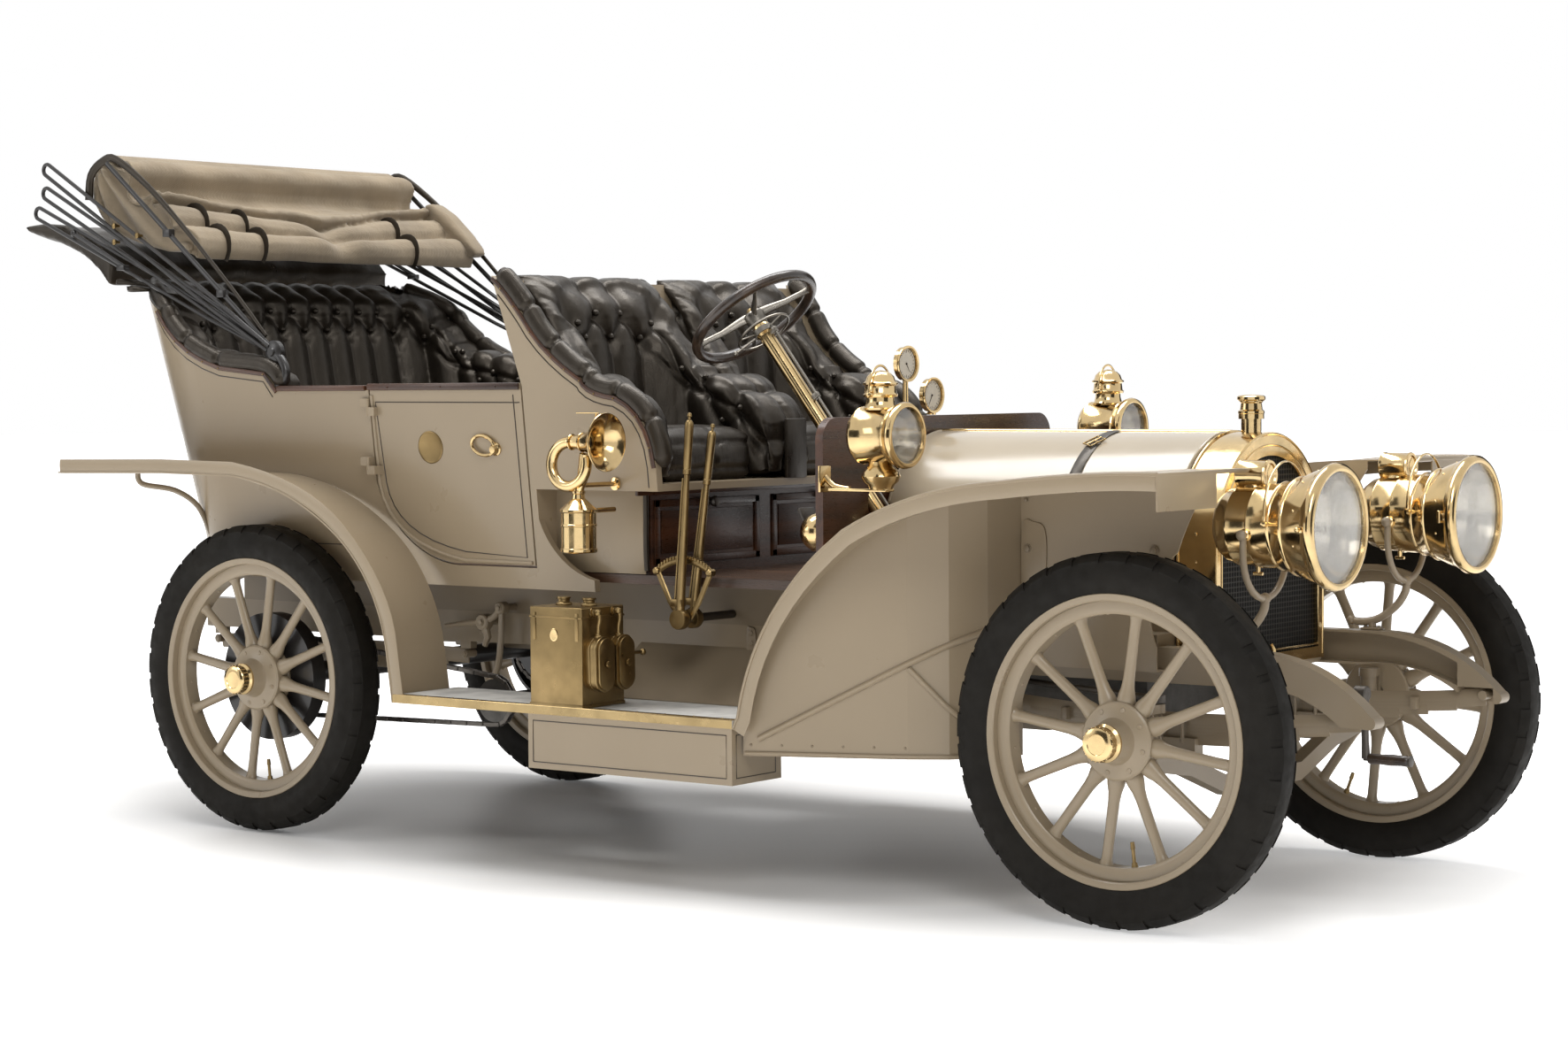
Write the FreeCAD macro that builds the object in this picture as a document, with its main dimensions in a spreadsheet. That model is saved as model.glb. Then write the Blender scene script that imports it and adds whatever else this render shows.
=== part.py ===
import FreeCAD, Part
import os
import re
import Sketcher

# A four-seat brass era touring car with chain drive and a folded hood.
# X points forward, Y to the car's left and Z up.  Every shape is drawn from the point on the
# ground under the front axle; each finished node is then moved forward by front_axle_x.

Vector = FreeCAD.Vector
Rotation = FreeCAD.Rotation
doc = FreeCAD.newDocument("BrassEraCar")
sheet = doc.addObject("Spreadsheet::Sheet", "Dims")

SIZES = (
    # alias, millimetres, meaning
    ("front_axle_x", 1810, "front axle ahead of the middle of the car"),
    ("fit_gap", 0.3, "clearance of a piece laid beside another"),
    ("run_gap", 6, "clearance beside a moving piece"),
    # wheels and axles
    ("wheelbase", 2980, "front axle to rear axle"),
    ("half_track", 695, "middle plane of the car to a tyre's middle"),
    ("wheel_radius", 460, "outside radius of a tyre"),
    ("tyre_width", 122, "tyre across its walls"),
    ("tyre_wall", 14, "rubber thickness"),
    ("rim_radius", 342, "bead seat of the rim"),
    ("rim_width", 100, "rim across its flanges"),
    ("rim_flange", 16, "height of a rim flange over the seat"),
    ("rim_wall", 6, "rim and flange thickness"),
    ("felloe_depth", 30, "wooden ring inside the rim"),
    ("felloe_width", 56, "wooden ring across"),
    ("spoke_count", 12, "spokes in a wheel"),
    ("spoke_radius", 16, "half thickness of a spoke"),
    ("hub_radius", 52, "hub barrel"),
    ("hub_inner", 38, "hub inboard of the tyre's middle"),
    ("hub_outer", 78, "hub barrel outboard of the tyre's middle"),
    ("hub_flange_radius", 97, "bolted hub flange"),
    ("hub_flange_wall", 10, "bolted hub flange thickness"),
    ("hubcap_radius", 42, "brass hub cap"),
    ("hubcap_length", 40, "brass hub cap beyond the barrel"),
    ("spindle_radius", 22, "stub axle"),
    ("bearing_gap", 0.08, "stub axle to hub bore"),
    # frame
    ("rail_y", 335, "inner face of a side rail"),
    ("rail_width", 50, "side rail across its flanges"),
    ("rail_bottom", 570, "underside of the side rails"),
    ("rail_top", 660, "top of the side rails"),
    ("rail_wall", 6, "pressed steel of the side rails"),
    ("frame_tail", 570, "side rails behind the rear axle"),
    ("horn_reach", 510, "tip of the front horns ahead of the axle"),
    ("horn_drop", 150, "horn tip below the rail top"),
    ("cross_width", 50, "cross member along the car"),
    # front axle
    ("kingpin_y", 620, "steering pivot from the middle plane"),
    ("kingpin_radius", 11, "steering pivot pin"),
    ("kingpin_boss", 22, "axle boss around the pivot pin"),
    ("boss_half", 50, "half height of the axle boss"),
    ("fork_wall", 22, "steering fork arms"),
    ("beam_width", 42, "axle beam along the car"),
    ("beam_depth", 48, "axle beam height"),
    ("beam_drop", 165, "beam middle below the wheel centres"),
    ("steer_arm", 105, "length of the drop arm and of the arm it steers by"),
    ("track_arm", 125, "length of the arms joined by the tie rod"),
    ("link_radius", 9, "steering rods"),
    ("link_height", 545, "drag link above the ground"),
    ("drum_radius", 190, "rear brake drums"),
    ("sprocket_radius", 110, "rear chain wheels"),
    ("pinion_radius", 62, "front chain wheels"),
    ("cross_shaft_reach", 830, "cross shaft ahead of the rear axle"),
    ("cross_shaft_height", 425, "cross shaft above the ground"),
    ("drop_arm_x", 700, "steering box behind the front axle"),
    # springs
    ("spring_width", 42, "leaf springs across"),
    ("spring_pack", 44, "leaf pack thickness in the middle"),
    ("spring_eye", 16, "spring eye radius"),
    ("eye_height", 506, "front spring eyes above the ground"),
    ("rear_eye_height", 530, "rear spring eyes above the ground"),
    ("front_seat_height", 434, "underside of the front leaf packs"),
    # radiator, bonnet and dash
    ("bonnet_half", 292, "half width of radiator and bonnet"),
    ("arch_height", 900, "middle of the round bonnet top"),
    ("radiator_bottom", 590, "underside of the radiator"),
    ("radiator_front", 32, "radiator face ahead of the axle"),
    ("radiator_depth", 112, "radiator along the car"),
    ("radiator_rim", 30, "brass shell around the core"),
    ("bonnet_back", 990, "dash face behind the axle"),
    ("bonnet_wall", 3, "bonnet plate"),
    ("bonnet_bottom", 690, "lower edge of the bonnet"),
    ("lid_edge", 1000, "lower edge of the lifting bonnet lids"),
    ("hinge_radius", 7, "bonnet hinge"),
    ("dash_wall", 24, "wooden dash"),
    ("dash_half", 560, "half width of the dash"),
    ("dash_top", 1235, "top of the dash"),
    # floor, boards and boxes
    ("floor_top", 800, "top of the floor boards"),
    ("floor_wall", 25, "floor boards"),
    ("body_bottom", 752, "underside of the body sills"),
    ("board_top", 460, "top of the running boards"),
    ("board_wall", 22, "running board thickness"),
    ("board_outer", 870, "outer edge of boards and mudguards"),
    ("board_front", 1058, "front end of the boards behind the axle"),
    ("board_back", 2268, "rear end of the boards behind the axle"),
    ("board_inner", 600, "inner edge of the boards"),
    ("guard_wall", 4, "mudguard plate"),
    ("guard_inner", 420, "inner plane of the front mudguards"),
    ("apron_turn", 650, "where the front mudguards' aprons start to turn inwards, behind the axle"),
    ("apron_end", 462, "where the aprons meet the inner walls, behind the axle"),
    # bodywork
    ("body_half", 660, "half width of the body at the top of the doors"),
    ("tumblehome", 62, "how far the sills lie inside the top of the doors"),
    ("sill_half", "=body_half - tumblehome", "half width of the body at its sills"),
    ("body_wall", 24, "thickness of the body walls and doors"),
    ("body_back", 700, "seat back behind the rear axle at the top"),
    ("body_lean", 200, "how far the back leans out over its height"),
    ("body_top", 1720, "top of the rear seat back"),
    ("body_flare", 45, "seat back wider at the top"),
    ("corner_radius", 330, "rounded rear corners"),
    ("waist", 1315, "top of the doors"),
    ("hinge_reach", 7, "door hinge line outside the top of the doors"),
    ("hinge_y", "=body_half + hinge_reach", "door hinge line from the middle of the car"),
    ("door_bottom", 818, "lower edge of the doors"),
    ("door_front", 1962, "front edge of the doors behind the axle"),
    ("door_back", 2548, "hinged edge of the doors behind the axle"),
    ("door_gap", 6, "gap around a door"),
    ("seat_bottom", 1055, "underside of the front seats"),
    ("seat_split", 25, "front seats from the middle plane"),
    ("seat_arm", 85, "padding of a front seat's arms"),
    # round lamps
    ("lamp_radius", 156, "headlamp rim"),
    ("lamp_y", 389, "headlamp from the middle plane"),
    ("lamp_z", 971, "headlamp above the ground"),
    ("lamp_face", 431, "headlamp rim ahead of the axle"),
    ("lamp_length", 328, "headlamp, rim to back"),
    ("lamp_wall", 4, "lamp brass"),
    ("side_lamp_y", 566, "side lamp from the middle plane"),
    ("side_lamp_z", 1190, "side lamp above the ground"),
    ("side_lamp_radius", 87, "side lamp rim"),
    # steering wheel
    ("helm_radius", 196, "steering wheel"),
    ("helm_x", 1386, "steering wheel behind the axle"),
    ("helm_y", 335, "steering wheel from the middle plane"),
    ("helm_z", 1509, "steering wheel above the ground"),
    ("column_rake", 51.8, "steering column above level, degrees"),
    # hood
    ("iron_inset", 20, "hood irons inside the top of the doors"),
    ("hood_half", "=body_half - iron_inset", "half width between the hood irons"),
    ("iron_width", 34, "hood irons across"),
    ("pivot_ahead", 25, "hood pivot ahead of the rear axle"),
    ("pivot_z", 1430, "hood pivot above the ground"),
)

for row, (alias, value, meaning) in enumerate(SIZES, start=1):
    sheet.set(f"A{row}", meaning)
    sheet.set(f"B{row}", str(value))
    sheet.setAlias(f"B{row}", alias)
doc.recompute()

ALIASES = {alias for alias, value, meaning in SIZES}
TURNS = {
    "X": Rotation(Vector(0, 1, 0), 90),
    "Y": Rotation(Vector(1, 0, 0), -90),
    "Z": Rotation(),
}
PLANES = {
    "XY": Rotation(),
    "XZ": Rotation(Vector(1, 0, 0), 90),
    "YZ": Rotation(Vector(1, 1, 1), 120),
}
NORMALS = {"XY": Vector(0, 0, 1), "XZ": Vector(0, -1, 0), "YZ": Vector(1, 0, 0)}
NODES = {}
GLASSES = []
SILLS = []
HINGE_HEIGHTS = ("1095", "1265")


def bound(text):
    """Expression text with the sheet's name before each alias."""
    return re.sub(r"[a-z_]\w*", lambda m: "Dims." + m[0] if m[0] in ALIASES else m[0], str(text))


def size(text):
    """Value of an expression of the sheet's aliases, in millimetres."""
    return float(sheet.evalExpression(bound(text)))


def place(item, at, turn=None):
    """Binds an object's position to three expressions."""
    if turn is not None:
        item.Placement = FreeCAD.Placement(Vector(), turn)
    for axis, text in zip("xyz", at):
        item.setExpression(f"Placement.Base.{axis}", bound(text))
    return item


def box(name, at, length, width, height):
    """Block from its lowest corner."""
    item = doc.addObject("Part::Box", name)
    for key, text in (("Length", length), ("Width", width), ("Height", height)):
        item.setExpression(key, bound(text))
    return place(item, at)


def cylinder(name, at, radius, length, axis="Z"):
    """Round bar that starts at a point and runs along an axis."""
    item = doc.addObject("Part::Cylinder", name)
    item.setExpression("Radius", bound(radius))
    item.setExpression("Height", bound(length))
    return place(item, at, TURNS[axis])


def ball(name, at, radius):
    """Sphere about a point."""
    item = doc.addObject("Part::Sphere", name)
    item.setExpression("Radius", bound(radius))
    return place(item, at)


def cone(name, at, first, second, length, axis="Z"):
    """Tapered bar that starts at a point and runs along an axis."""
    item = doc.addObject("Part::Cone", name)
    item.setExpression("Radius1", bound(first))
    item.setExpression("Radius2", bound(second))
    item.setExpression("Height", bound(length))
    return place(item, at, TURNS[axis])


def ring(name, at, radius, section, axis="Z"):
    """Torus about an axis."""
    item = doc.addObject("Part::Torus", name)
    item.setExpression("Radius1", bound(radius))
    item.setExpression("Radius2", bound(section))
    return place(item, at, TURNS[axis])


def tilt(item, axis, degrees):
    """Turns an object about its own base point by a bound angle."""
    item.Placement = FreeCAD.Placement(item.Placement.Base, Rotation(axis, 1))
    item.setExpression("Placement.Rotation.Angle", bound(degrees))
    return item


def outline(name, plane, rows, at=("0", "0", "0"), closed=True):
    """Sketch through corners; a row is (u, v) after a line or (u, v, via_u, via_v) after an arc."""
    item = doc.addObject("Sketcher::SketchObject", name)
    points = [Vector(size(row[0]), size(row[1]), 0) for row in rows]
    for index in range(0 if closed else 1, len(rows)):
        row, start, end = rows[index], points[index - 1], points[index]
        if len(row) == 2:
            edge = item.addGeometry(Part.LineSegment(start, end), False)
            heads = (1, 2)
        else:
            middle = Vector(size(row[2]), size(row[3]), 0)
            circle = Part.Circle(start, middle, end)
            flat = Part.Circle(circle.Center, Vector(0, 0, 1), circle.Radius)
            forward = (middle - start).cross(end - middle).z > 0
            heads = (1, 2) if forward else (2, 1)
            first, last = (start, end) if forward else (end, start)
            arc = Part.ArcOfCircle(flat, flat.parameter(first), flat.parameter(last))
            edge = item.addGeometry(arc, False)
            mark = item.addGeometry(Part.Point(middle), True)
            pin_point(item, mark, 1, row[2], row[3])
            item.addConstraint(Sketcher.Constraint("PointOnObject", mark, 1, edge))
        for head, source in zip(heads, (rows[index - 1], row)):
            pin_point(item, edge, head, source[0], source[1])
    return place(item, at, PLANES[plane])


def pin_point(sketch, edge, head, u_text, v_text):
    """Binds one point of a sketch to two expressions."""
    for kind, text in (("DistanceX", u_text), ("DistanceY", v_text)):
        rule = sketch.addConstraint(Sketcher.Constraint(kind, -1, 1, edge, head, size(text)))
        sketch.setExpression(f"Constraints[{rule}]", bound(text))


def extrude(name, sketch, plane, length):
    """Solid from a flat face, pushed along its plane's normal."""
    item = doc.addObject("Part::Extrusion", name)
    item.Base = sketch
    item.DirMode = "Custom"
    item.Dir = NORMALS[plane]
    item.Solid = True
    item.setExpression("LengthFwd", bound(length))
    return item


def plate(name, plane, rows, at, length, thickness=None):
    """Extruded outline; with a thickness, an open outline becomes a bent plate."""
    base = outline(name + "_outline", plane, rows, at, closed=thickness is None)
    if thickness is not None:
        strip = doc.addObject("Part::Offset2D", name + "_strip")
        strip.Source = base
        strip.Mode = "Skin"
        strip.Join = "Arc"
        strip.Fill = True
        strip.setExpression("Value", bound(thickness))
        base = strip
    return extrude(name, base, plane, length)


def spin(name, rows, at, axis):
    """Body of revolution; rows are (along the axis, radius)."""
    sketch = outline(name + "_outline", "XY", rows)
    item = doc.addObject("Part::Revolution", name)
    item.Source = sketch
    item.Axis = Vector(1, 0, 0)
    item.Angle = 360
    item.Solid = True
    turn = {"X": Rotation(), "Y": Rotation(Vector(0, 0, 1), 90), "-Y": Rotation(Vector(0, 0, 1), -90),
            "Z": Rotation(Vector(0, 1, 0), -90)}[axis]
    return place(item, at, turn)


def fuse(name, *items):
    """Union of objects."""
    item = doc.addObject("Part::MultiFuse", name)
    item.Shapes = list(items)
    item.Refine = True
    return item


def cut(name, base, *tools):
    """Base less its tools."""
    item = doc.addObject("Part::Cut", name)
    item.Base = base
    item.Tool = tools[0] if len(tools) == 1 else fuse(name + "_tools", *tools)
    return item


def common(name, *items):
    """Shared volume of objects."""
    item = doc.addObject("Part::MultiCommon", name)
    item.Shapes = list(items)
    return item


def mirror(name, source):
    """The same piece on the car's other side."""
    item = doc.addObject("Part::Mirroring", name)
    item.Source = source
    item.Normal = Vector(0, 1, 0)
    return item


def rod(name, start, end, radius):
    """Round rod between two points given as expressions."""
    first = Vector(*(size(text) for text in start))
    last = Vector(*(size(text) for text in end))
    item = doc.addObject("Part::Feature", name)
    item.Shape = Part.makeCylinder(size(radius), (last - first).Length, first, last - first)
    return item


def node(label, *items, station="0"):
    """Names a finished sub-part and sets it on the car."""
    item = doc.addObject("Part::Compound", label)
    item.Label = label
    item.Links = list(items)
    place(item, ("front_axle_x + (" + station + ")", "0", "0"))
    NODES[label] = item
    return item


def both(label, item, station="0"):
    """One node that holds a piece and its mirror image."""
    return node(label, item, mirror(item.Name + "_left", item), station=station)


# ---------------------------------------------------------------- chassis frame
def chassis_frame():
    """Two pressed rails with drooping horns, their cross members and brackets."""
    tail = "-(wheelbase + frame_tail)"
    tip_z = "rail_top - horn_drop"
    side = (
        (tail, "rail_bottom"),
        ("120", "rail_bottom"),
        ("425", f"{tip_z} - 22", "325", "rail_bottom - 21"),
        ("horn_reach - 12", f"{tip_z} - 24"),
        ("horn_reach - 2", f"{tip_z} + 6", "horn_reach + 8", f"{tip_z} - 12"),
        ("150", "rail_top", "375", "rail_top - 46"),
        (tail, "rail_top"),
    )
    hollow = (
        (f"{tail} - 10", "rail_bottom + rail_wall"),
        ("125", "rail_bottom + rail_wall"),
        ("395", "rail_bottom - 42", "300", "rail_bottom - 8"),
        ("395", "rail_top - 72"),
        ("145", "rail_top - rail_wall", "290", "rail_top - 30"),
        (f"{tail} - 10", "rail_top - rail_wall"),
    )
    rail = plate("rail_blank", "XZ", side, ("0", "-rail_y", "0"), "rail_width")
    channel = plate("rail_hollow", "XZ", hollow, ("0", "-rail_y + 1", "0"), "rail_width - rail_wall + 1")
    slot = box("eye_slot", ("395", "-(rail_y + rail_width - rail_wall)", f"{tip_z} - 40"),
               "100", "rail_width - rail_wall + 1", f"40 + eye_height + spring_eye + 4 - ({tip_z})")
    eye_pin = cylinder("front_eye_pin", ("465", "-(rail_y + rail_width - 2)", "eye_height"),
                       "8", "rail_width - 2", "Y")
    right = fuse("rail_right", cut("rail_channel", rail, channel, slot), eye_pin)
    hangers = []
    for index, x in enumerate(("-555", "-wheelbase + 530", "-wheelbase - 530")):
        low = "eye_height" if index == 0 else "rear_eye_height"
        hangers.append(box(f"spring_hanger_{index}",
                           (f"{x} - 20", "-(rail_y + 36)", f"{low} + spring_eye + fit_gap"),
                           "40", "26", f"rail_bottom - {low} - spring_eye - fit_gap + 3"))
    side_right = fuse("side_right", right, *hangers)
    members = [side_right, mirror("side_left", side_right)]
    for index, x in enumerate(("-225", "-920", "-1350", "-1700", "-wheelbase + cross_shaft_reach + 150",
                            "-wheelbase + cross_shaft_reach - 150", "-wheelbase - 500")):
        members.append(box(f"cross_member_{index}", (f"{x}", "-(rail_y + rail_width - rail_wall)",
                                                     "rail_bottom + rail_wall"),
                           "cross_width", "2 * (rail_y + rail_width - rail_wall)",
                           "rail_top - rail_bottom - 2 * rail_wall"))
    members.append(box("radiator_bar", ("-70", "-(rail_y + 5)", "rail_bottom + 2"),
                       "70", "2 * (rail_y + 5)", "radiator_bottom - rail_bottom - 2"))
    crank_bracket = box("crank_bracket", ("-45", "-28", "500"), "30", "56", "rail_bottom - 495")
    bore = cylinder("crank_bore", ("-50", "0", "530"), "11 + bearing_gap", "40", "X")
    members.append(cut("crank_bearing", crank_bracket, bore))
    return node("chassis_frame", fuse("frame_steel", *members))


def front_axle():
    """Dropped axle beam with a vertical boss at each steering pivot."""
    low = "wheel_radius - beam_drop - beam_depth / 2"
    shoulder = "wheel_radius - 117"
    lower = (
        # across, height
        ("kingpin_y - 8", "wheel_radius - 44"),
        ("kingpin_y - 34", "wheel_radius - 44"),
        ("kingpin_y - 84", f"{shoulder} + 22"),
        ("rail_y + 60", shoulder),
        ("190", low),
    )
    upper = tuple((y, f"{z} + beam_depth") for y, z in lower)
    right = [("-(" + y + ")", z) for y, z in lower]
    right_top = [("-(" + y + ")", z) for y, z in upper]
    rows = right + list(reversed(lower)) + list(upper) + list(reversed(right_top))
    pieces = [plate("axle_beam", "YZ", rows, ("-beam_width / 2", "0", "0"), "beam_width")]
    bores = []
    for side, sign in (("right", "-1"), ("left", "1")):
        y = f"{sign} * kingpin_y"
        pieces.append(cylinder(f"axle_boss_{side}", ("0", y, "wheel_radius - boss_half"),
                               "kingpin_boss", "2 * boss_half"))
        bores.append(cylinder(f"axle_bore_{side}", ("0", y, "wheel_radius - boss_half - 1"),
                              "kingpin_radius + bearing_gap", "2 * boss_half + 2"))
        seat = f"{sign} * (rail_y + spring_width / 2) - spring_width / 2"
        pieces.append(box(f"spring_perch_{side}", ("-85", seat, f"{shoulder} + 20"), "106",
                          "spring_width", f"front_seat_height - fit_gap - 20 - ({shoulder})"))
    return node("front_axle", cut("axle_forging", fuse("axle_blank", *pieces), *bores))


def leaf_spring(name, middle, half, seat, eye):
    """Leaf pack with an eye at each end, above the point under the car's right rail."""
    rows = (
        (f"{middle} + {half}", f"{eye} - 12", middle, seat),
        (f"{middle} + {half}", f"{eye} - 2"),
        (f"{middle} - {half}", f"{eye} - 2", middle, f"{seat} + spring_pack"),
        (f"{middle} - {half}", f"{eye} - 12"),
    )
    pieces = [plate(name + "_pack", "XZ", rows, ("0", "-(rail_y + 1)", "0"), "spring_width")]
    bores = []
    for end, sign in (("front", "+"), ("rear", "-")):
        at = (f"{middle} {sign} {half}", "-(rail_y + 1 + spring_width)", eye)
        pieces.append(cylinder(f"{name}_{end}_eye", at, "spring_eye", "spring_width", "Y"))
        bores.append(cylinder(f"{name}_{end}_bore", at, "8 + fit_gap", "spring_width", "Y"))
    return cut(name + "_leaf", fuse(name + "_leaves", *pieces), *bores)


def springs():
    """Half-elliptic leaf springs under the rails."""
    front = leaf_spring("front_spring", "-45", "510", "front_seat_height", "eye_height")
    rear = leaf_spring("rear_spring", "-wheelbase", "530", "wheel_radius + 30 + fit_gap", "rear_eye_height")
    node("leaf_springs", front, rear, mirror("front_spring_left", front), mirror("rear_spring_left", rear))


def rear_axle():
    """Fixed rear axle tube with a stub at each end."""
    tube = cylinder("rear_axle_tube", ("0", "-(half_track - 150)", "wheel_radius"),
                    "30", "2 * (half_track - 150)", "Y")
    stub = cylinder("rear_axle_stub", ("0", "-(half_track + 90)", "wheel_radius"),
                    "spindle_radius", "2 * (half_track + 90)", "Y")
    return node("rear_axle", fuse("rear_axle_bar", tube, stub), station="-wheelbase")


# ---------------------------------------------------------------- wheels
def wheel(name):
    """Wooden wheel with steel rim and brass cap, middle at the origin, outside towards -Y."""
    flange = "rim_radius + rim_flange"
    under = "rim_radius - rim_wall"
    edge = "rim_width / 2"
    felloe = "felloe_width / 2"
    wood = f"{under} - felloe_depth"
    rim_rows = (
        # outboard, radius
        (f"-{edge}", under), (f"-{edge}", flange), (f"-{edge} + rim_wall", flange),
        (f"-{edge} + rim_wall", "rim_radius"), (f"{edge} - rim_wall", "rim_radius"),
        (f"{edge} - rim_wall", flange), (edge, flange), (edge, under),
        (felloe, under), (felloe, wood), (f"-{felloe}", wood), (f"-{felloe}", under),
    )
    bore = "spindle_radius + bearing_gap"
    face = "spoke_radius + 2"
    disc = f"{face} + hub_flange_wall"
    cap = "hub_outer + hubcap_length"
    hub_rows = (
        # outboard, radius
        ("-hub_inner", bore), ("-hub_inner", "hub_radius"), (f"-({disc})", "hub_radius"),
        (f"-({disc})", "hub_flange_radius"), (disc, "hub_flange_radius"), (disc, "hub_radius"),
        ("hub_outer", "hub_radius"), ("hub_outer", "hubcap_radius"), (cap, "hubcap_radius - 6"),
        (cap, "0"), (f"{cap} - 12", "0"), (f"{cap} - 12", bore),
    )
    pieces = [spin(name + "_rim", rim_rows, ("0", "0", "0"), "-Y"),
              spin(name + "_hub", hub_rows, ("0", "0", "0"), "-Y")]
    count = int(size("spoke_count"))
    start, end = size("hub_flange_radius") - 12, size(wood) + 6
    for index in range(count):
        turn = Rotation(Vector(0, 1, 0), 360 / count * (index + 0.5))
        spoke = doc.addObject("Part::Cone", f"{name}_spoke_{index}")
        spoke.setExpression("Radius1", bound("spoke_radius + 1"))
        spoke.setExpression("Radius2", bound("spoke_radius - 2"))
        spoke.setExpression("Height", bound(f"{wood} + 6 - hub_flange_radius + 12"))
        spoke.Placement = FreeCAD.Placement(turn.multVec(Vector(0, 0, start)), turn)
        pieces.append(spoke)
    return fuse(name, *pieces)


def tyre(name):
    """Rubber tyre with open beads, middle at the origin."""
    half = "tyre_width / 2"
    bead = "rim_width / 2 - rim_wall - fit_gap"
    seat = "rim_radius + fit_gap"
    middle = "wheel_radius - tyre_width / 2 + 2"
    inner = f"{half} - tyre_wall"
    rows = (
        # across, radius
        (f"-({bead})", seat), (f"-({bead})", "rim_radius + rim_flange + 2"),
        (f"-({half})", middle, f"-({half}) + 6", f"{middle} - 28"),
        ("-36", "wheel_radius - 1", f"-({half}) + 6", f"{middle} + 38"),
        ("36", "wheel_radius - 1", "0", "wheel_radius"),
        (half, middle, f"{half} - 6", f"{middle} + 38"),
        (bead, "rim_radius + rim_flange + 2", f"{half} - 6", f"{middle} - 28"),
        (bead, seat), (f"{bead} - 12", seat), (f"{bead} - 12", "rim_radius + 14"),
        (f"-({bead} - 12)", "rim_radius + 14", "0", "wheel_radius - 22"),
        (f"-({bead} - 12)", seat),
    )
    return spin(name, rows, ("0", "0", "0"), "-Y")


def wheels():
    """Four wheels and tyres, each in nodes of their own."""
    spokes, rubber = wheel("wheel"), tyre("tyre")
    for kind, item in (("wheel", spokes), ("tyre", rubber)):
        for axle, station in (("front", "0"), ("rear", "-wheelbase")):
            for side in ("right", "left"):
                # a mirror plane at half the track sets the left wheel's outside outwards
                copy = doc.addObject("Part::Compound", f"{kind}_{axle}_{side}_set")
                copy.Links = [item]
                place(copy, ("0", "-half_track", "wheel_radius"))
                shape = copy if side == "right" else mirror(copy.Name + "_mirror", copy)
                node(f"{kind}_{axle}_{side}", shape, station=station)


def drive_drum(name):
    """Brake drum and chain wheel bolted inside a rear wheel, outside towards -Y."""
    disc = "spoke_radius + 2 + hub_flange_wall"
    rows = (
        # outboard of the wheel's middle, radius
        (f"-({disc}) - fit_gap", "hub_radius + fit_gap"), (f"-({disc}) - fit_gap", "drum_radius"),
        ("-80", "drum_radius"), ("-80", "drum_radius - 10"), (f"-({disc}) - 12", "drum_radius - 10"),
        (f"-({disc}) - 12", "hub_radius + 14"), ("-116", "hub_radius + 14"), ("-116", "sprocket_radius"),
        ("-128", "sprocket_radius"), ("-128", "spindle_radius + 12"),
        ("-(hub_inner + 4)", "spindle_radius + 12"),
        ("-(hub_inner + 4)", "hub_radius + fit_gap"),
    )
    return spin(name, rows, ("0", "-half_track", "wheel_radius"), "-Y")


def chain_drive():
    """Chain wheels on the rear wheels, chains and the cross shaft that drives them."""
    drum = drive_drum("drive_drum")
    node("drive_drum_right", drum, station="-wheelbase")
    node("drive_drum_left", mirror("drive_drum_mirror", drum), station="-wheelbase")
    inner = "-(half_track - 116 + 5 - 22)"
    loops = []
    for name, plate_depth in (("chain_outer", "14"), ("chain_inner", "0")):
        big = f"(sprocket_radius + run_gap + {plate_depth})"
        small = f"(pinion_radius + fit_gap + {plate_depth})"
        rows = (
            ("0", f"wheel_radius + {big}", f"-{big}", "wheel_radius"),
            ("cross_shaft_reach", f"cross_shaft_height + {small}"),
            ("cross_shaft_reach", f"cross_shaft_height - {small}", f"cross_shaft_reach + {small}",
             "cross_shaft_height"),
            ("0", f"wheel_radius - {big}"),
        )
        loops.append(plate(name, "XZ", rows, ("0", "-(half_track - 133)", "0"), "22"))
    both("drive_chains", cut("chain_loop", *loops)).setExpression(
        "Placement.Base.x", bound("front_axle_x - wheelbase"))
    shaft = cylinder("cross_shaft_bar", ("cross_shaft_reach", "-(half_track - 116)", "cross_shaft_height"),
                     "20", "2 * (half_track - 116)", "Y")
    pinions = [cylinder(f"pinion_{side}", ("cross_shaft_reach", y, "cross_shaft_height"), "pinion_radius",
                        "12", "Y")
               for side, y in (("right", "-(half_track - 116)"), ("left", "half_track - 128"))]
    case = box("gear_case", ("cross_shaft_reach - 190", "-170", "cross_shaft_height - 110"), "430", "340",
               "rail_bottom + rail_wall - cross_shaft_height + 110")
    node("gearbox", fuse("gearbox_case", shaft, case, *pinions), station="-wheelbase")


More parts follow.
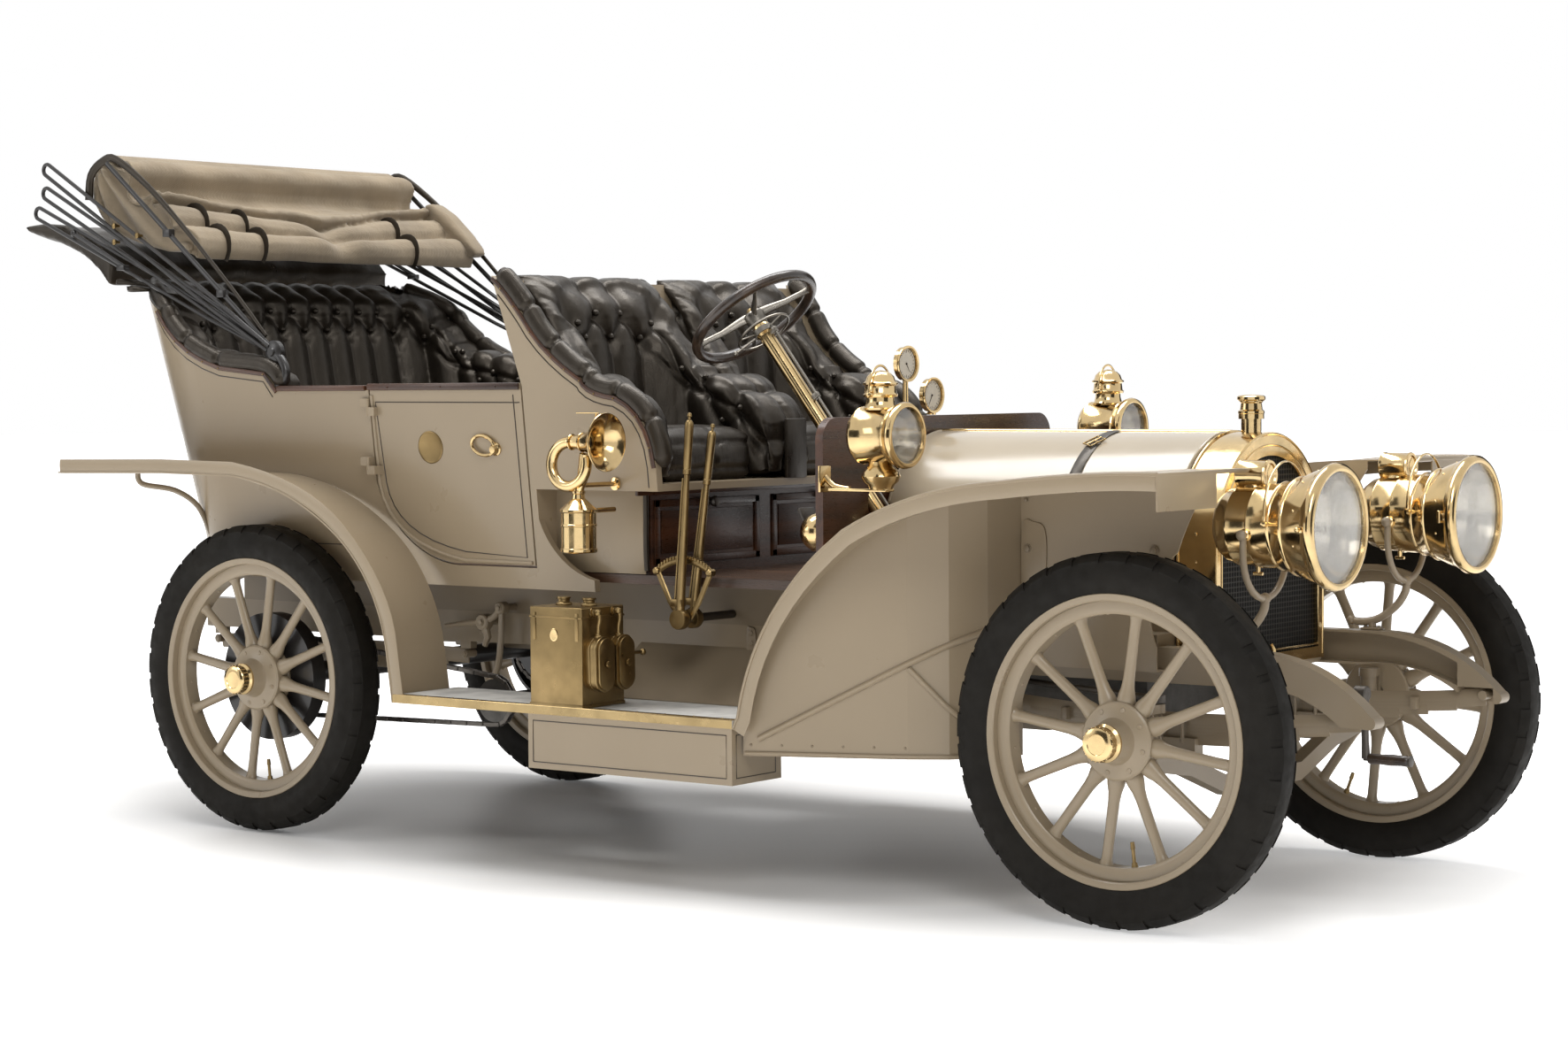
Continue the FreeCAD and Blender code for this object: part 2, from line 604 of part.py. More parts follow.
# ---------------------------------------------------------------- steering
def knuckle(name, drag_arm):
    """Steering fork with stub axle and rear arm; pivot at the origin, outside towards -Y."""
    offset = "half_track - kingpin_y"
    low = "-(boss_half + fork_wall + fit_gap)"
    cheek = "kingpin_boss + 4"
    pieces = [
        cylinder(name + "_pin", ("0", "0", low), "kingpin_radius", "2 * (boss_half + fork_wall + fit_gap)"),
        cylinder(name + "_fork_low", ("0", "0", low), cheek, "fork_wall"),
        cylinder(name + "_fork_high", ("0", "0", "boss_half + fit_gap"), cheek, "fork_wall"),
        cylinder(name + "_stub", ("0", f"-({offset} + 84)", "0"), "spindle_radius",
                 f"{offset} + 84 - kingpin_boss - 6", "Y"),
        box(name + "_arm", ("-track_arm", "-10", low), "track_arm", "20", "fork_wall"),
        cylinder(name + "_arm_eye", ("-track_arm", "0", low), "15", "fork_wall"),
    ]
    strap = box(name + "_cheek", ("-20", "-(kingpin_boss + 10)", low), "40", "7",
                "2 * (boss_half + fork_wall + fit_gap)")
    pieces.append(strap)
    for side, z in (("low", low), ("high", "boss_half + fit_gap")):
        pieces.append(box(f"{name}_web_{side}", ("-20", "-(kingpin_boss + 10)", z), "40", cheek,
                          "fork_wall"))
    if drag_arm:
        pieces += [box(name + "_drag_arm", ("-10", "0", "boss_half + fit_gap"), "20", "steer_arm",
                       "fork_wall"),
                   cylinder(name + "_drag_eye", ("0", "steer_arm", "boss_half + fit_gap"), "15",
                            "fork_wall")]
    bore = cylinder(name + "_rod_bore", ("-track_arm", "0", f"{low} - 1"), "6 + bearing_gap",
                    "fork_wall + 2")
    return cut(name, fuse(name + "_forging", *pieces), bore)


def column_point(drop):
    """Point on the steering column's middle line, a drop below the wheel."""
    return (f"-helm_x + ({drop}) / tan(column_rake)", "-helm_y", f"helm_z - ({drop})")


def steering():
    """Forks, tie rod, drag link, drop arm, column and wheel."""
    right = knuckle("fork_right", True)
    place(right, ("0", "-kingpin_y", "wheel_radius"))
    left = knuckle("fork_left", False)
    place(left, ("0", "-kingpin_y", "wheel_radius"))
    node("steering_knuckle_right", right)
    node("steering_knuckle_left", mirror("fork_left_mirror", left))

    arm_top = "wheel_radius - boss_half - fit_gap"
    rod_z = f"{arm_top} + 2 + link_radius"
    pieces = [cylinder("tie_rod_bar", ("-track_arm", "-kingpin_y", rod_z), "link_radius", "2 * kingpin_y",
                       "Y")]
    for side, y in (("right", "-kingpin_y"), ("left", "kingpin_y")):
        pieces.append(cylinder(f"tie_rod_end_{side}", ("-track_arm", y, f"{arm_top} + fit_gap"), "14",
                               "2 * link_radius + 2"))
        pieces.append(cylinder(f"tie_rod_pin_{side}", ("-track_arm", y, f"{arm_top} - fork_wall"), "6",
                               "fork_wall + 4"))
    node("tie_rod", fuse("tie_rod_parts", *pieces))

    # drop arm inside the right rail, as long as the steering arm
    inner = "-(rail_y - 58)"
    low = "link_height"
    pivot = f"{low} + steer_arm"
    arm = [
        box("drop_arm_bar", ("-drop_arm_x - 13", f"{inner} + 5", low), "26", "14", "steer_arm"),
        cylinder("drop_arm_top", ("-drop_arm_x", f"{inner} + 5", pivot), "20", "14", "Y"),
        cylinder("drop_arm_low", ("-drop_arm_x", f"{inner} + 5", low), "17", "14", "Y"),
        cylinder("drop_arm_ball", ("-drop_arm_x", f"{inner} + 19", low), "7", "26", "Y"),
    ]
    bore = cylinder("drop_arm_bore", ("-drop_arm_x", f"{inner}", pivot), "12 + bearing_gap", "24", "Y")
    node("drop_arm", cut("drop_arm_forging", fuse("drop_arm_blank", *arm), bore))

    link_y = f"{inner} + 24"
    eye = cut("drag_link_eye",
              cylinder("drag_link_eye_blank", ("-drop_arm_x", link_y, low), "16", "16", "Y"),
              cylinder("drag_link_eye_bore", ("-drop_arm_x", link_y, low), "7 + bearing_gap", "16", "Y"))
    bar = rod("drag_link_bar", ("-drop_arm_x + 14", f"{link_y} + 8", low),
              ("-12", "-(kingpin_y - steer_arm) + 3",
               "wheel_radius + boss_half + fork_wall + 5 + link_radius"), "link_radius - 1")
    tip = cylinder("drag_link_tip", ("0", "-(kingpin_y - steer_arm)",
                                     "wheel_radius + boss_half + fork_wall + 5"), "16",
                   "2 * link_radius")
    node("drag_link", fuse("drag_link_parts", bar, eye, tip))

    # column, its box on the rail and the shaft of the drop arm
    gear = [
        box("steering_box_low", ("-drop_arm_x - 50", "-rail_y", "rail_bottom + 20"), "100", "55",
            "rail_top - rail_bottom - 20 - fit_gap"),
        box("steering_box_neck", ("-drop_arm_x - 50", "-rail_y", "rail_bottom + 20"), "85", "33",
            "rail_top - rail_bottom - 20 + 65"),
        box("steering_box_cap", ("-drop_arm_x - 100", "-rail_y - 37", "rail_top + fit_gap"), "135", "70",
            "65 - fit_gap"),
    ]
    shaft = cylinder("drop_arm_shaft", ("-drop_arm_x", f"{inner} - 8", pivot), "12", "24", "Y")
    tube = rod("column_tube", column_point("helm_z - rail_top - 40"),
               column_point("26.5 * sin(column_rake)"), "21")
    node("steering_column", fuse("column_parts", shaft, tube, *gear))

    # wheel: wooden rim, four spokes and a short shaft, drawn level about the origin
    pieces = [ring("helm_rim", ("0", "0", "0"), "helm_radius - 15", "15"),
              cylinder("helm_hub", ("0", "0", "-26"), "28", "38")]
    for index in range(4):
        spoke = cylinder(f"helm_spoke_{index}", ("0", "0", "-2"), "8", "helm_radius - 15", "X")
        spoke.Placement = FreeCAD.Placement(Vector(0, 0, -2), Rotation(Vector(0, 0, 1), 45 + 90 * index)
                                            * TURNS["X"])
        pieces.append(spoke)
    helm = tilt(fuse("helm_parts", *pieces), Vector(0, -1, 0), "90 - column_rake")
    place(helm, ("-helm_x", "-helm_y", "helm_z"))
    node("steering_wheel", helm)


# ---------------------------------------------------------------- radiator, bonnet, dash
def arch_rows(half, top, bottom):
    """Closed outline of a round-topped panel, arc last."""
    return (
        (half, bottom), (half, "arch_height"), (f"-({half})", "arch_height", "0", top),
        (f"-({half})", bottom),
    )


def radiator():
    """Brass shell around a black core, with a filler on top."""
    back = "radiator_front - radiator_depth"
    top = "arch_height + bonnet_half"
    shell = plate("radiator_blank", "YZ", arch_rows("bonnet_half", top, "radiator_bottom"), (back, "0", "0"),
                  "radiator_depth")
    inner = arch_rows("bonnet_half - radiator_rim", f"{top} - 2 * radiator_rim",
                      "radiator_bottom + radiator_rim")
    hole = plate("radiator_opening", "YZ", inner, (f"{back} - 1", "0", "0"), "radiator_depth + 2")
    neck = cylinder("filler_neck", ("-25", "0", f"{top} - 8"), "26", "44")
    cap = cylinder("filler_cap", ("-25", "0", f"{top} + 34"), "33", "14")
    node("radiator_shell", fuse("radiator_brass", cut("radiator_frame", shell, hole), neck, cap))
    core = plate("radiator_core_block", "YZ", inner, (f"{back} + 10", "0", "0"), "radiator_depth - 22")
    node("radiator_core", core)


def bonnet():
    """Two folding bonnet halves hinged along the top."""
    top = "arch_height + bonnet_half"
    front = "radiator_front - radiator_depth - run_gap"
    back = "-(bonnet_back - run_gap)"
    length = f"{front} - ({back})"
    skin = plate("bonnet_skin", "YZ", arch_rows("bonnet_half", top, "bonnet_bottom"), (back, "0", "0"),
                 length)
    hollow = plate("bonnet_hollow", "YZ", arch_rows("bonnet_half - bonnet_wall", f"{top} - bonnet_wall",
                                                    "bonnet_bottom - 1"), (f"{back} - 1", "0", "0"),
                                                    f"{length} + 2")
    shell = cut("bonnet_shell", skin, hollow)
    half = box("bonnet_right_half", (f"{back} - 1", "-bonnet_half - 10", "lid_edge"), f"{length} + 2",
               "bonnet_half + 10 - hinge_radius - fit_gap", f"{top} - lid_edge + 40")
    side = box("bonnet_side_zone", (f"{back} - 1", "-bonnet_half - 10", "bonnet_bottom - 10"),
               f"{length} + 2",
               "bonnet_half + 10", "lid_edge - run_gap - bonnet_bottom + 10")
    both("bonnet_sides", common("bonnet_side_plate", shell, side))
    right = common("bonnet_right_plate", shell, half)
    node("bonnet_right", right)
    node("bonnet_left", mirror("bonnet_left_plate", right))
    hinge = cylinder("bonnet_hinge_bar", (f"{back} - run_gap + fit_gap", "0", f"{top} - bonnet_wall / 2"),
                     "hinge_radius", f"{length} + 2 * run_gap - 2 * fit_gap", "X")
    node("bonnet_hinge", hinge)
    # wooden ledges between bonnet and rails carry the closed bonnet
    ledge = box("bonnet_ledge", ("-bonnet_back", "-(rail_y + rail_width)", "rail_top"),
                f"bonnet_back + {front} + run_gap - 2", "rail_width + rail_y - bonnet_half + 14",
                "bonnet_bottom - rail_top - fit_gap")
    notch = box("bonnet_ledge_notch", ("-drop_arm_x - 135", "-(rail_y + rail_width + 1)", "rail_top - 1"),
                "185",
                "rail_y + rail_width + 2 - (bonnet_half - 17)", "bonnet_bottom - rail_top + 2")
    SILLS.extend((cut("bonnet_ledge_right", ledge, notch), mirror("bonnet_ledge_left", ledge)))


def dash():
    """Wooden dash with a raised middle, and the brass gauges above it."""
    rows = (
        # across, height
        ("-dash_half", "rail_top"), ("dash_half", "rail_top"), ("dash_half", "dash_top - 60"),
        ("dash_half - 60", "dash_top", "dash_half - 18", "dash_top - 18"),
        ("-(dash_half - 60)", "dash_top"), ("-dash_half", "dash_top - 60", "-(dash_half - 18)",
                                            "dash_top - 18"),
    )
    board = plate("dash_board", "YZ", rows, ("-(bonnet_back + dash_wall)", "0", "0"), "dash_wall")
    hole = rod("dash_column_hole", column_point("600"), column_point("400"), "21 + fit_gap")
    node("dash", cut("dash_panel", board, hole))


def engine():
    """Engine as one plain block between two cross members."""
    node("engine_block", box("engine_casting", ("-870", "-190", "450"), "645", "380", "560"))


def crank():
    """Starting crank: shaft through its bearing, arm and wooden grip."""
    pieces = [
        cylinder("crank_shaft", ("-52", "0", "530"), "11", "362", "X"),
        box("crank_arm", ("290", "-13", "366 - 13"), "20", "26", "530 - 366 + 26"),
        cylinder("crank_grip", ("305", "0", "366"), "15", "125", "X"),
    ]
    node("starting_crank", fuse("crank_parts", *pieces))


# ---------------------------------------------------------------- bodywork
def plan_section(name, height, half, back, inset, front):
    """Horizontal section of the body: straight sides and back with round corners."""
    side = f"({half} - ({inset}))"
    rear = f"(-(wheelbase + {back}) + {inset})"
    bend = f"(corner_radius - ({inset}))"
    slant = f"{bend} * 0.29289"
    rows = (
        (front, side), (f"{rear} + {bend}", side),
        (rear, f"{side} - {bend}", f"{rear} + {slant}", f"{side} - {slant}"),
        (rear, f"-({side} - {bend})"),
        (f"{rear} + {bend}", f"-({side})", f"{rear} + {slant}", f"-({side} - {slant})"),
        (front, f"-({side})"),
    )
    return outline(name, "XY", rows, ("0", "0", height))


def body_loft(name, inset, front, spare):
    """Solid with the body's outer form, drawn in by an inset."""
    waist_lean = "(body_back - body_lean * (body_top - waist) / (body_top - body_bottom))"
    sections = (
        # height, half width, back behind the rear axle
        (f"body_bottom - {spare}", "sill_half", "(body_back - body_lean)"),
        ("waist", "body_half", waist_lean),
        (f"body_top + {spare}", "(body_half + body_flare)", "body_back"),
    )
    item = doc.addObject("Part::Loft", name)
    item.Sections = [plan_section(f"{name}_section_{index}", height, half, back, inset, front)
                     for index, (height, half, back) in enumerate(sections)]
    item.Solid = True
    item.Ruled = True
    return item


def body_shell():
    """Thin-walled body form, open at the front, top and bottom."""
    front = "-(door_front - 470)"
    outer = body_loft("body_outer", "0", front, "0")
    inner = body_loft("body_inner", "body_wall", f"{front} + 40", "20")
    return outer, cut("body_shell", outer, inner)


def door_rows(grow):
    """Side outline of a door, grown all round; the lower rear corner is a wide curve."""
    back, front = f"-(door_back + {grow})", f"-(door_front - {grow})"
    low = f"door_bottom - {grow}"
    return (
        (front, low), (front, f"waist + {grow}"), (back, f"waist + {grow}"), (back, "waist - 270"),
        (f"{back} + 315 + {grow}", low, f"{back} + 100 + {grow}", f"{low} + 72"),
    )


def side_prism(name, rows, half="900"):
    """Side outline pushed through the whole width of the car."""
    return plate(name, "XZ", rows, ("0", half, "0"), f"2 * {half}")


def side_half(name, item):
    """The right-hand half of a symmetrical object."""
    cover = box(name + "_cover", ("-6000", "-1000", "0"), "8000", "1000 - 50", "3000")
    return common(name, item, cover)


def rear_body(shell):
    """Tonneau walls with sills under the doors."""
    rows = (
        # along the car, height
        ("-(door_front - door_gap)", "body_bottom - 10"), ("-(door_front - door_gap)", "waist"),
        ("-(wheelbase - 50)", "waist"), ("-(wheelbase - 2)", "waist + 55"),
        ("-(wheelbase + 190)", "waist + 75"),
        ("-(wheelbase + 470)", "waist + 250", "-(wheelbase + 345)", "waist + 140"),
        ("-(wheelbase + body_back + 60)", "body_top - 30"),
        ("-(wheelbase + body_back + 60)", "body_bottom - 10"),
    )
    walls = common("tonneau_walls", shell, side_prism("tonneau_side", rows))
    hole = side_prism("door_hole", door_rows("door_gap"))
    lip = side_prism("door_mouth", (("-(door_front - door_gap)", "waist - 40"),
                                    ("-(door_front - door_gap)", "waist + 20"),
                                    ("-(door_back + door_gap)", "waist + 20"),
                                    ("-(door_back + door_gap)", "waist - 40")))
    tub = cut("tonneau", walls, hole, lip)
    leaves = []
    for index, height in enumerate(HINGE_HEIGHTS):
        leaf = hinge_leaf(f"body_hinge_{index}", height, False)
        leaves += [leaf, mirror(f"body_hinge_left_{index}", leaf)]
    node("rear_body", fuse("tonneau_parts", tub, *leaves))


def hinge_leaf(name, height, door):
    """Half of a door hinge on the upright line beside the door's rear edge: knuckle and block."""
    skin = f"(sill_half + (body_half - sill_half) * ({height} - 25 - body_bottom) / (waist - body_bottom))"
    start = "-25" if door else "fit_gap"
    knuckle = cylinder(name + "_knuckle", ("0", "-hinge_y", f"{height} + {start}"), "5", "25")
    leaf = box(name + "_leaf", ("0" if door else "-28", "-hinge_y - 3", f"{height} + {start}"), "28",
               f"hinge_y + 3 - {skin} + 1", "25")
    return place(fuse(name, knuckle, leaf), ("-(door_back + door_gap / 2)", "0", "0"))


def doors(shell):
    """Rear-hinged doors, each with its share of the body's curve and two hinge barrels."""
    panel = side_half("door_panel", common("door_pair", shell, side_prism("door_side", door_rows("0"))))
    rail = box("door_rail", ("-door_back", "-(body_half + 4)", "waist"), "door_back - door_front",
               "body_wall + 8", "18")
    leaves = [hinge_leaf(f"door_hinge_{index}", height, True) for index, height in enumerate(HINGE_HEIGHTS)]
    right = fuse("door_right_parts", panel, rail, *leaves)
    node("door_right", right)
    node("door_left", mirror("door_left_parts", right))


def front_body(outer, shell):
    """Seat sides, posts, seat board and the panel behind the front seats."""
    post = "-(door_front - door_gap)"
    side = (
        # along the car, height
        (post, "body_bottom"), ("-1748", "body_bottom"), ("-1748", "floor_top - 16"),
        (f"{post} + 10", "seat_bottom - 20", "-1890", "869"),
        ("-1495", "seat_bottom - 20"), ("-1495", "1100"),
        ("-1620", "waist - 20", "-1530", "1225"), ("-1735", "waist + 28", "-1700", "waist - 2"),
        ("-1925", "1515", "-1850", "1425"), ("-2035", "1632", "-1985", "1590"), (post, "waist + door_gap"),
    )
    sides = common("seat_sides", shell, side_prism("seat_side", side))
    back = (
        (f"{post} + 2", "floor_top + 2"), (f"{post} + 2", "waist + 8"), ("-2028", "1615"),
    )
    panel = common("seat_back_panel", outer,
                   plate("seat_back_plate", "XZ", back, ("0", "900", "0"), "1800", "-20"))
    board = common("seat_board", outer, box("seat_board_blank", (f"{post} + 4", "-700", "seat_bottom - 20"),
                                            "door_front - door_gap - 4 - 1500", "1400", "20"))
    node("front_body", fuse("front_body_parts", sides, panel, board))


def seat_boxes():
    """Wooden box under the front seats and the box under the rear seat."""
    half, wide = "(sill_half - 78)", "(sill_half - 58)"
    front = box("front_seat_blank", ("-(door_front - door_gap - 24)", f"-{half}", "floor_top"),
                "door_front - door_gap - 24 - 1612", f"2 * {half}", "seat_bottom - 20 - floor_top")
    room = box("front_seat_room", ("-(door_front - door_gap - 44)", f"-({half} - 20)", "floor_top - 1"),
               "door_front - door_gap - 44 - 1632", f"2 * ({half} - 20)", "seat_bottom - 40 - floor_top")
    rear = cut("rear_seat_walls",
               box("rear_seat_blank", ("-(wheelbase + 320)", f"-{wide}", "floor_top"), "400",
                   f"2 * {wide}", "seat_bottom - floor_top"),
               box("rear_seat_room", ("-(wheelbase + 300)", f"-({wide} - 20)", "floor_top - 1"), "360",
                   f"2 * ({wide} - 20)", "seat_bottom - 20 - floor_top"))
    node("seat_boxes", cut("front_seat_walls", front, room), rear)


def upholstery():
    """Plain solids for the leather backs and cushions."""
    base = "seat_bottom + fit_gap"
    side = (
        ("-1505", base), ("-1510", "1130"), ("-1640", "waist + 20", "-1545", "1245"),
        ("-1760", "waist + 60"), ("-1930", "1560", "-1855", "1465"), ("-2045", "1660", "-1985", "1648"),
        ("-2045", "1632.5"), ("-2004", "1632.5"), ("-(door_front - door_gap - 24)", "waist + 5"),
        ("-(door_front - door_gap - 24)", base),
    )
    width = "(sill_half + 5 - seat_split)"
    block = plate("front_back_block", "XZ", side, ("0", "-seat_split", "0"), width)
    room = (
        ("-1400", "seat_bottom - 5"), ("-1850", "seat_bottom - 5"), ("-1950", "1760"), ("-1400", "1760"),
    )
    hollow = plate("front_back_room", "XZ", room, ("0", "-seat_split - seat_arm", "0"),
                   f"{width} - 2 * seat_arm")
    both("front_seat_backs", cut("front_back_leather", block, hollow))
    both("front_seat_cushions", plate("front_cushion", "XZ", (
        ("-1560", base), ("-1560", "1200"), ("-1868", "1190"), ("-1849", base)),
        ("0", "-seat_split - seat_arm - fit_gap", "0"), f"{width} - 2 * seat_arm - 2 * fit_gap"))


def rear_upholstery():
    """Rear seat back that lines the tonneau, and its cushion."""
    base = "seat_bottom + fit_gap"
    lining = body_loft("rear_lining", "body_wall + fit_gap", "-(wheelbase - 60)", "20")
    rows = (
        ("-(wheelbase - 70)", base), ("-(wheelbase - 50)", "waist + 40"),
        ("-(wheelbase + 80)", "waist + 105"),
        ("-(wheelbase + 300)", "waist + 140"), ("-(wheelbase + 500)", "waist + 300", "-(wheelbase + 390)",
                                                "waist + 200"),
        ("-(wheelbase + body_back + 60)", "body_top - 12"), ("-(wheelbase + body_back + 60)", base),
    )
    form = common("rear_back_form", lining, side_prism("rear_back_side", rows))
    room = plate("rear_back_room", "XZ", (
        ("-(wheelbase - 300)", "seat_bottom - 5"), ("-(wheelbase + 390)", "seat_bottom - 5"),
        ("-(wheelbase + 560)", "body_top + 60"), ("-(wheelbase - 300)", "body_top + 60")),
        ("0", "sill_half - 85", "0"), "2 * (sill_half - 85)")
    node("rear_seat_back", cut("rear_back_leather", form, room))
    node("rear_seat_cushion", plate("rear_cushion", "XZ", (
        ("-(wheelbase - 90)", base), ("-(wheelbase - 90)", "seat_bottom + 165"),
        ("-(wheelbase + 410)", "seat_bottom + 150"), ("-(wheelbase + 382)", base)),
        ("0", "sill_half - 85 - fit_gap", "0"), "2 * (sill_half - 85 - fit_gap)"))


def floor():
    """Floor boards on two bearers along the rails."""
    low = "floor_top - floor_wall"
    half = "(sill_half - body_wall - 4)"
    rear = box("rear_floor", ("-(wheelbase + 160)", f"-{half}", low),
               "wheelbase + 160 - door_front + door_gap", f"2 * {half}", "floor_wall")
    front = box("front_floor", ("-(door_front - door_gap)", "-(sill_half - 53)", low),
                "door_front - door_gap - bonnet_back - dash_wall", "2 * (sill_half - 53)", "floor_wall")
    node("floor", fuse("floor_boards", rear, front))
    bearer = box("body_bearer", ("-(wheelbase + 400)", "-(rail_y + rail_width)", "rail_top"),
                 "wheelbase + 400 - bonnet_back - dash_wall", "rail_width", f"{low} - rail_top")
    node("wooden_sills", bearer, mirror("body_bearer_left", bearer), *SILLS)


# ---------------------------------------------------------------- mudguards and boards
def front_guards():
    """Front mudguards: top sheet, inner wall and the apron behind the wheel."""
    top = (
        # along the car, height
        ("-board_front", "board_top - board_wall"), ("-1042", "470"), ("-707", "957", "-933", "735"),
        ("-240", "1086", "-490", "1044"), ("203", "1112", "0", "1107"),
    )
    span = "board_outer - guard_inner"
    sheet_top = plate("front_guard_sheet", "XZ", top, ("0", "-guard_inner", "0"), span, "-guard_wall")
    lip = box("front_guard_lip", ("203 - guard_wall", "-board_outer", "1022"), "guard_wall",
              "board_outer - guard_inner - 170", "88")
    fill_rows = top + (("203", "1020"), ("150", "1020"), ("150", "366"), ("-board_front", "366"))
    fill = plate("front_guard_fill", "XZ", fill_rows, ("0", "-guard_inner", "0"), span)
    apron = plate("front_apron_wall", "XY", (
        ("-board_front + 8", "-(board_outer - 40)"), ("-apron_turn", "-(guard_inner + 243)"),
        ("-(apron_end + 99)", "-(guard_inner + 187)"), ("-(apron_end + 35)", "-(guard_inner + 106)"),
        ("-apron_end", "-guard_inner")), ("0", "0", "366"), "760", "guard_wall")
    wall_rows = (
        ("-470", "rail_bottom + 30"), ("-470", "1200"), ("95", "1200"), ("95", "1085"),
        ("0", "900", "38", "990"), ("-60", "rail_top", "-70", "800"), ("-60", "rail_bottom + 30"),
    )
    wall = plate("front_inner_wall", "XZ", wall_rows, ("0", "-guard_inner", "0"), "guard_wall")
    shelf = box("front_guard_shelf", ("-470", "-(guard_inner + guard_wall)", "rail_bottom + 30"), "410",
                "guard_inner + guard_wall - rail_y - rail_width - fit_gap", "guard_wall")
    inside = common("front_guard_inside", fill, fuse("front_guard_walls", apron, wall))
    both("front_mudguards", fuse("front_guard", sheet_top, lip, inside, shelf))


def rear_guards():
    """Rear mudguards: one bent sheet from the running board over the wheel."""
    top = (
        # ahead of the rear axle, height
        ("wheelbase - board_back", "board_top - board_wall"), ("690", "590"), ("499", "904", "636", "745"),
        ("66", "1069", "322", "1006"), ("-240", "1076"), ("-700", "1070"),
    )
    inner = "(sill_half + (body_half - sill_half) * (1076 - body_bottom) / (waist - body_bottom) + fit_gap)"
    bent = plate("rear_guard_sheet", "XZ", top, ("0", f"-{inner}", "0"), f"board_outer - {inner}",
                 "guard_wall")
    notch = box("chain_notch", ("0", "-(half_track - 111 + run_gap)", "board_top - board_wall - 1"), "900",
                "22 + 2 * run_gap", "150")
    guards = both("rear_mudguards", cut("rear_guard", bent, notch))
    guards.setExpression("Placement.Base.x", bound("front_axle_x - wheelbase"))


def boards():
    """Running boards, their sloping valances and the boxes hung beneath."""
    board = box("running_board", ("-board_back", "-board_outer", "board_top - board_wall"),
                "board_back - board_front", "board_outer - board_inner", "board_wall")
    slope = plate("board_slope", "YZ", (
        ("-board_inner", "board_top - 8"), ("-(rail_y + rail_width + fit_gap)", "rail_bottom + 20"),
        ("-(rail_y + rail_width + fit_gap)", "rail_bottom + 24"), ("-board_inner", "board_top")),
        ("-1761", "0", "0"), "1761 - board_front")
    both("running_boards", fuse("board_parts", board, slope))
    case = box("underbox_blank", ("-1761", "-board_outer + 2", "290"), "701", "210",
               "board_top - board_wall - 290")
    room = box("underbox_room", ("-1751", "-board_outer + 12", "300"), "681", "190",
               "board_top - board_wall - 310")
    both("underslung_boxes", cut("underbox", case, room))


# ---------------------------------------------------------------- lamps and brass
def headlamps():
    """Headlamps: open brass bowl, chimney and a glass, with forked brackets on the horns."""
    back = "lamp_face - lamp_length"
    rows = (
        # along the lamp from its back, radius
        ("0", "0"), ("0", "78"), ("26", "100"), ("150", "104"), ("160", "118"), ("226", "124"),
        ("300", "lamp_radius - 10"), ("lamp_length", "lamp_radius"),
        ("lamp_length", "lamp_radius - 16"), ("300", "lamp_radius - 24"),
        ("226", "124 - lamp_wall"), ("170", "110"), ("150", "60"), ("20", "60"), ("20", "0"),
    )
    bowl = spin("headlamp_bowl", rows, (back, "-lamp_y", "lamp_z"), "X")
    chimney = cylinder("headlamp_chimney", (f"{back} + 92", "-lamp_y", "lamp_z + 90"), "28", "50")
    cap = cone("headlamp_cap", (f"{back} + 92", "-lamp_y", "lamp_z + 140"), "30", "16", "22")
    both("headlamps", fuse("headlamp", bowl, chimney, cap))
    glass = cylinder("headlamp_pane", (f"{back} + 300", "-lamp_y", "lamp_z"),
                     "lamp_radius - 24 - fit_gap", "5", "X")
    GLASSES.append(glass)
    foot_x = "225"
    base = cylinder("bracket_foot", (foot_x, "-(rail_y + 25)", "rail_top - 0.6"), "15", "30")
    pad = box("bracket_pad", (f"{foot_x} - 30", "-(rail_y + 44)", "rail_top + 14"), "60", "38", "12")
    post = rod("bracket_post", (foot_x, "-(rail_y + 25)", "rail_top + 28"),
               (foot_x, "-lamp_y", "rail_top + 62"), "13")
    pieces = [base, pad, post]
    low = (foot_x, "-lamp_y", "rail_top + 62")
    for index, sign in enumerate(("-1", "1")):
        lower = (foot_x, f"-lamp_y + {sign} * 80", "lamp_z - 172")
        outer = (foot_x, f"-lamp_y + {sign} * 118", "lamp_z - 110")
        top = (foot_x, f"-lamp_y + {sign} * 118", "lamp_z - 10")
        pieces.append(rod(f"bracket_low_{index}", low, lower, "11"))
        pieces.append(rod(f"bracket_side_{index}", lower, outer, "11"))
        pieces.append(rod(f"bracket_arm_{index}", outer, top, "11"))
        pieces.append(ball(f"bracket_low_joint_{index}", lower, "11"))
        pieces.append(ball(f"bracket_side_joint_{index}", outer, "11"))
        pieces.append(rod(f"bracket_trunnion_{index}", (foot_x, f"-lamp_y + {sign} * 125", "lamp_z - 18"),
                          (foot_x, f"-lamp_y + {sign} * 103.4", "lamp_z - 18"), "13"))
    both("headlamp_brackets", fuse("headlamp_bracket", *pieces))


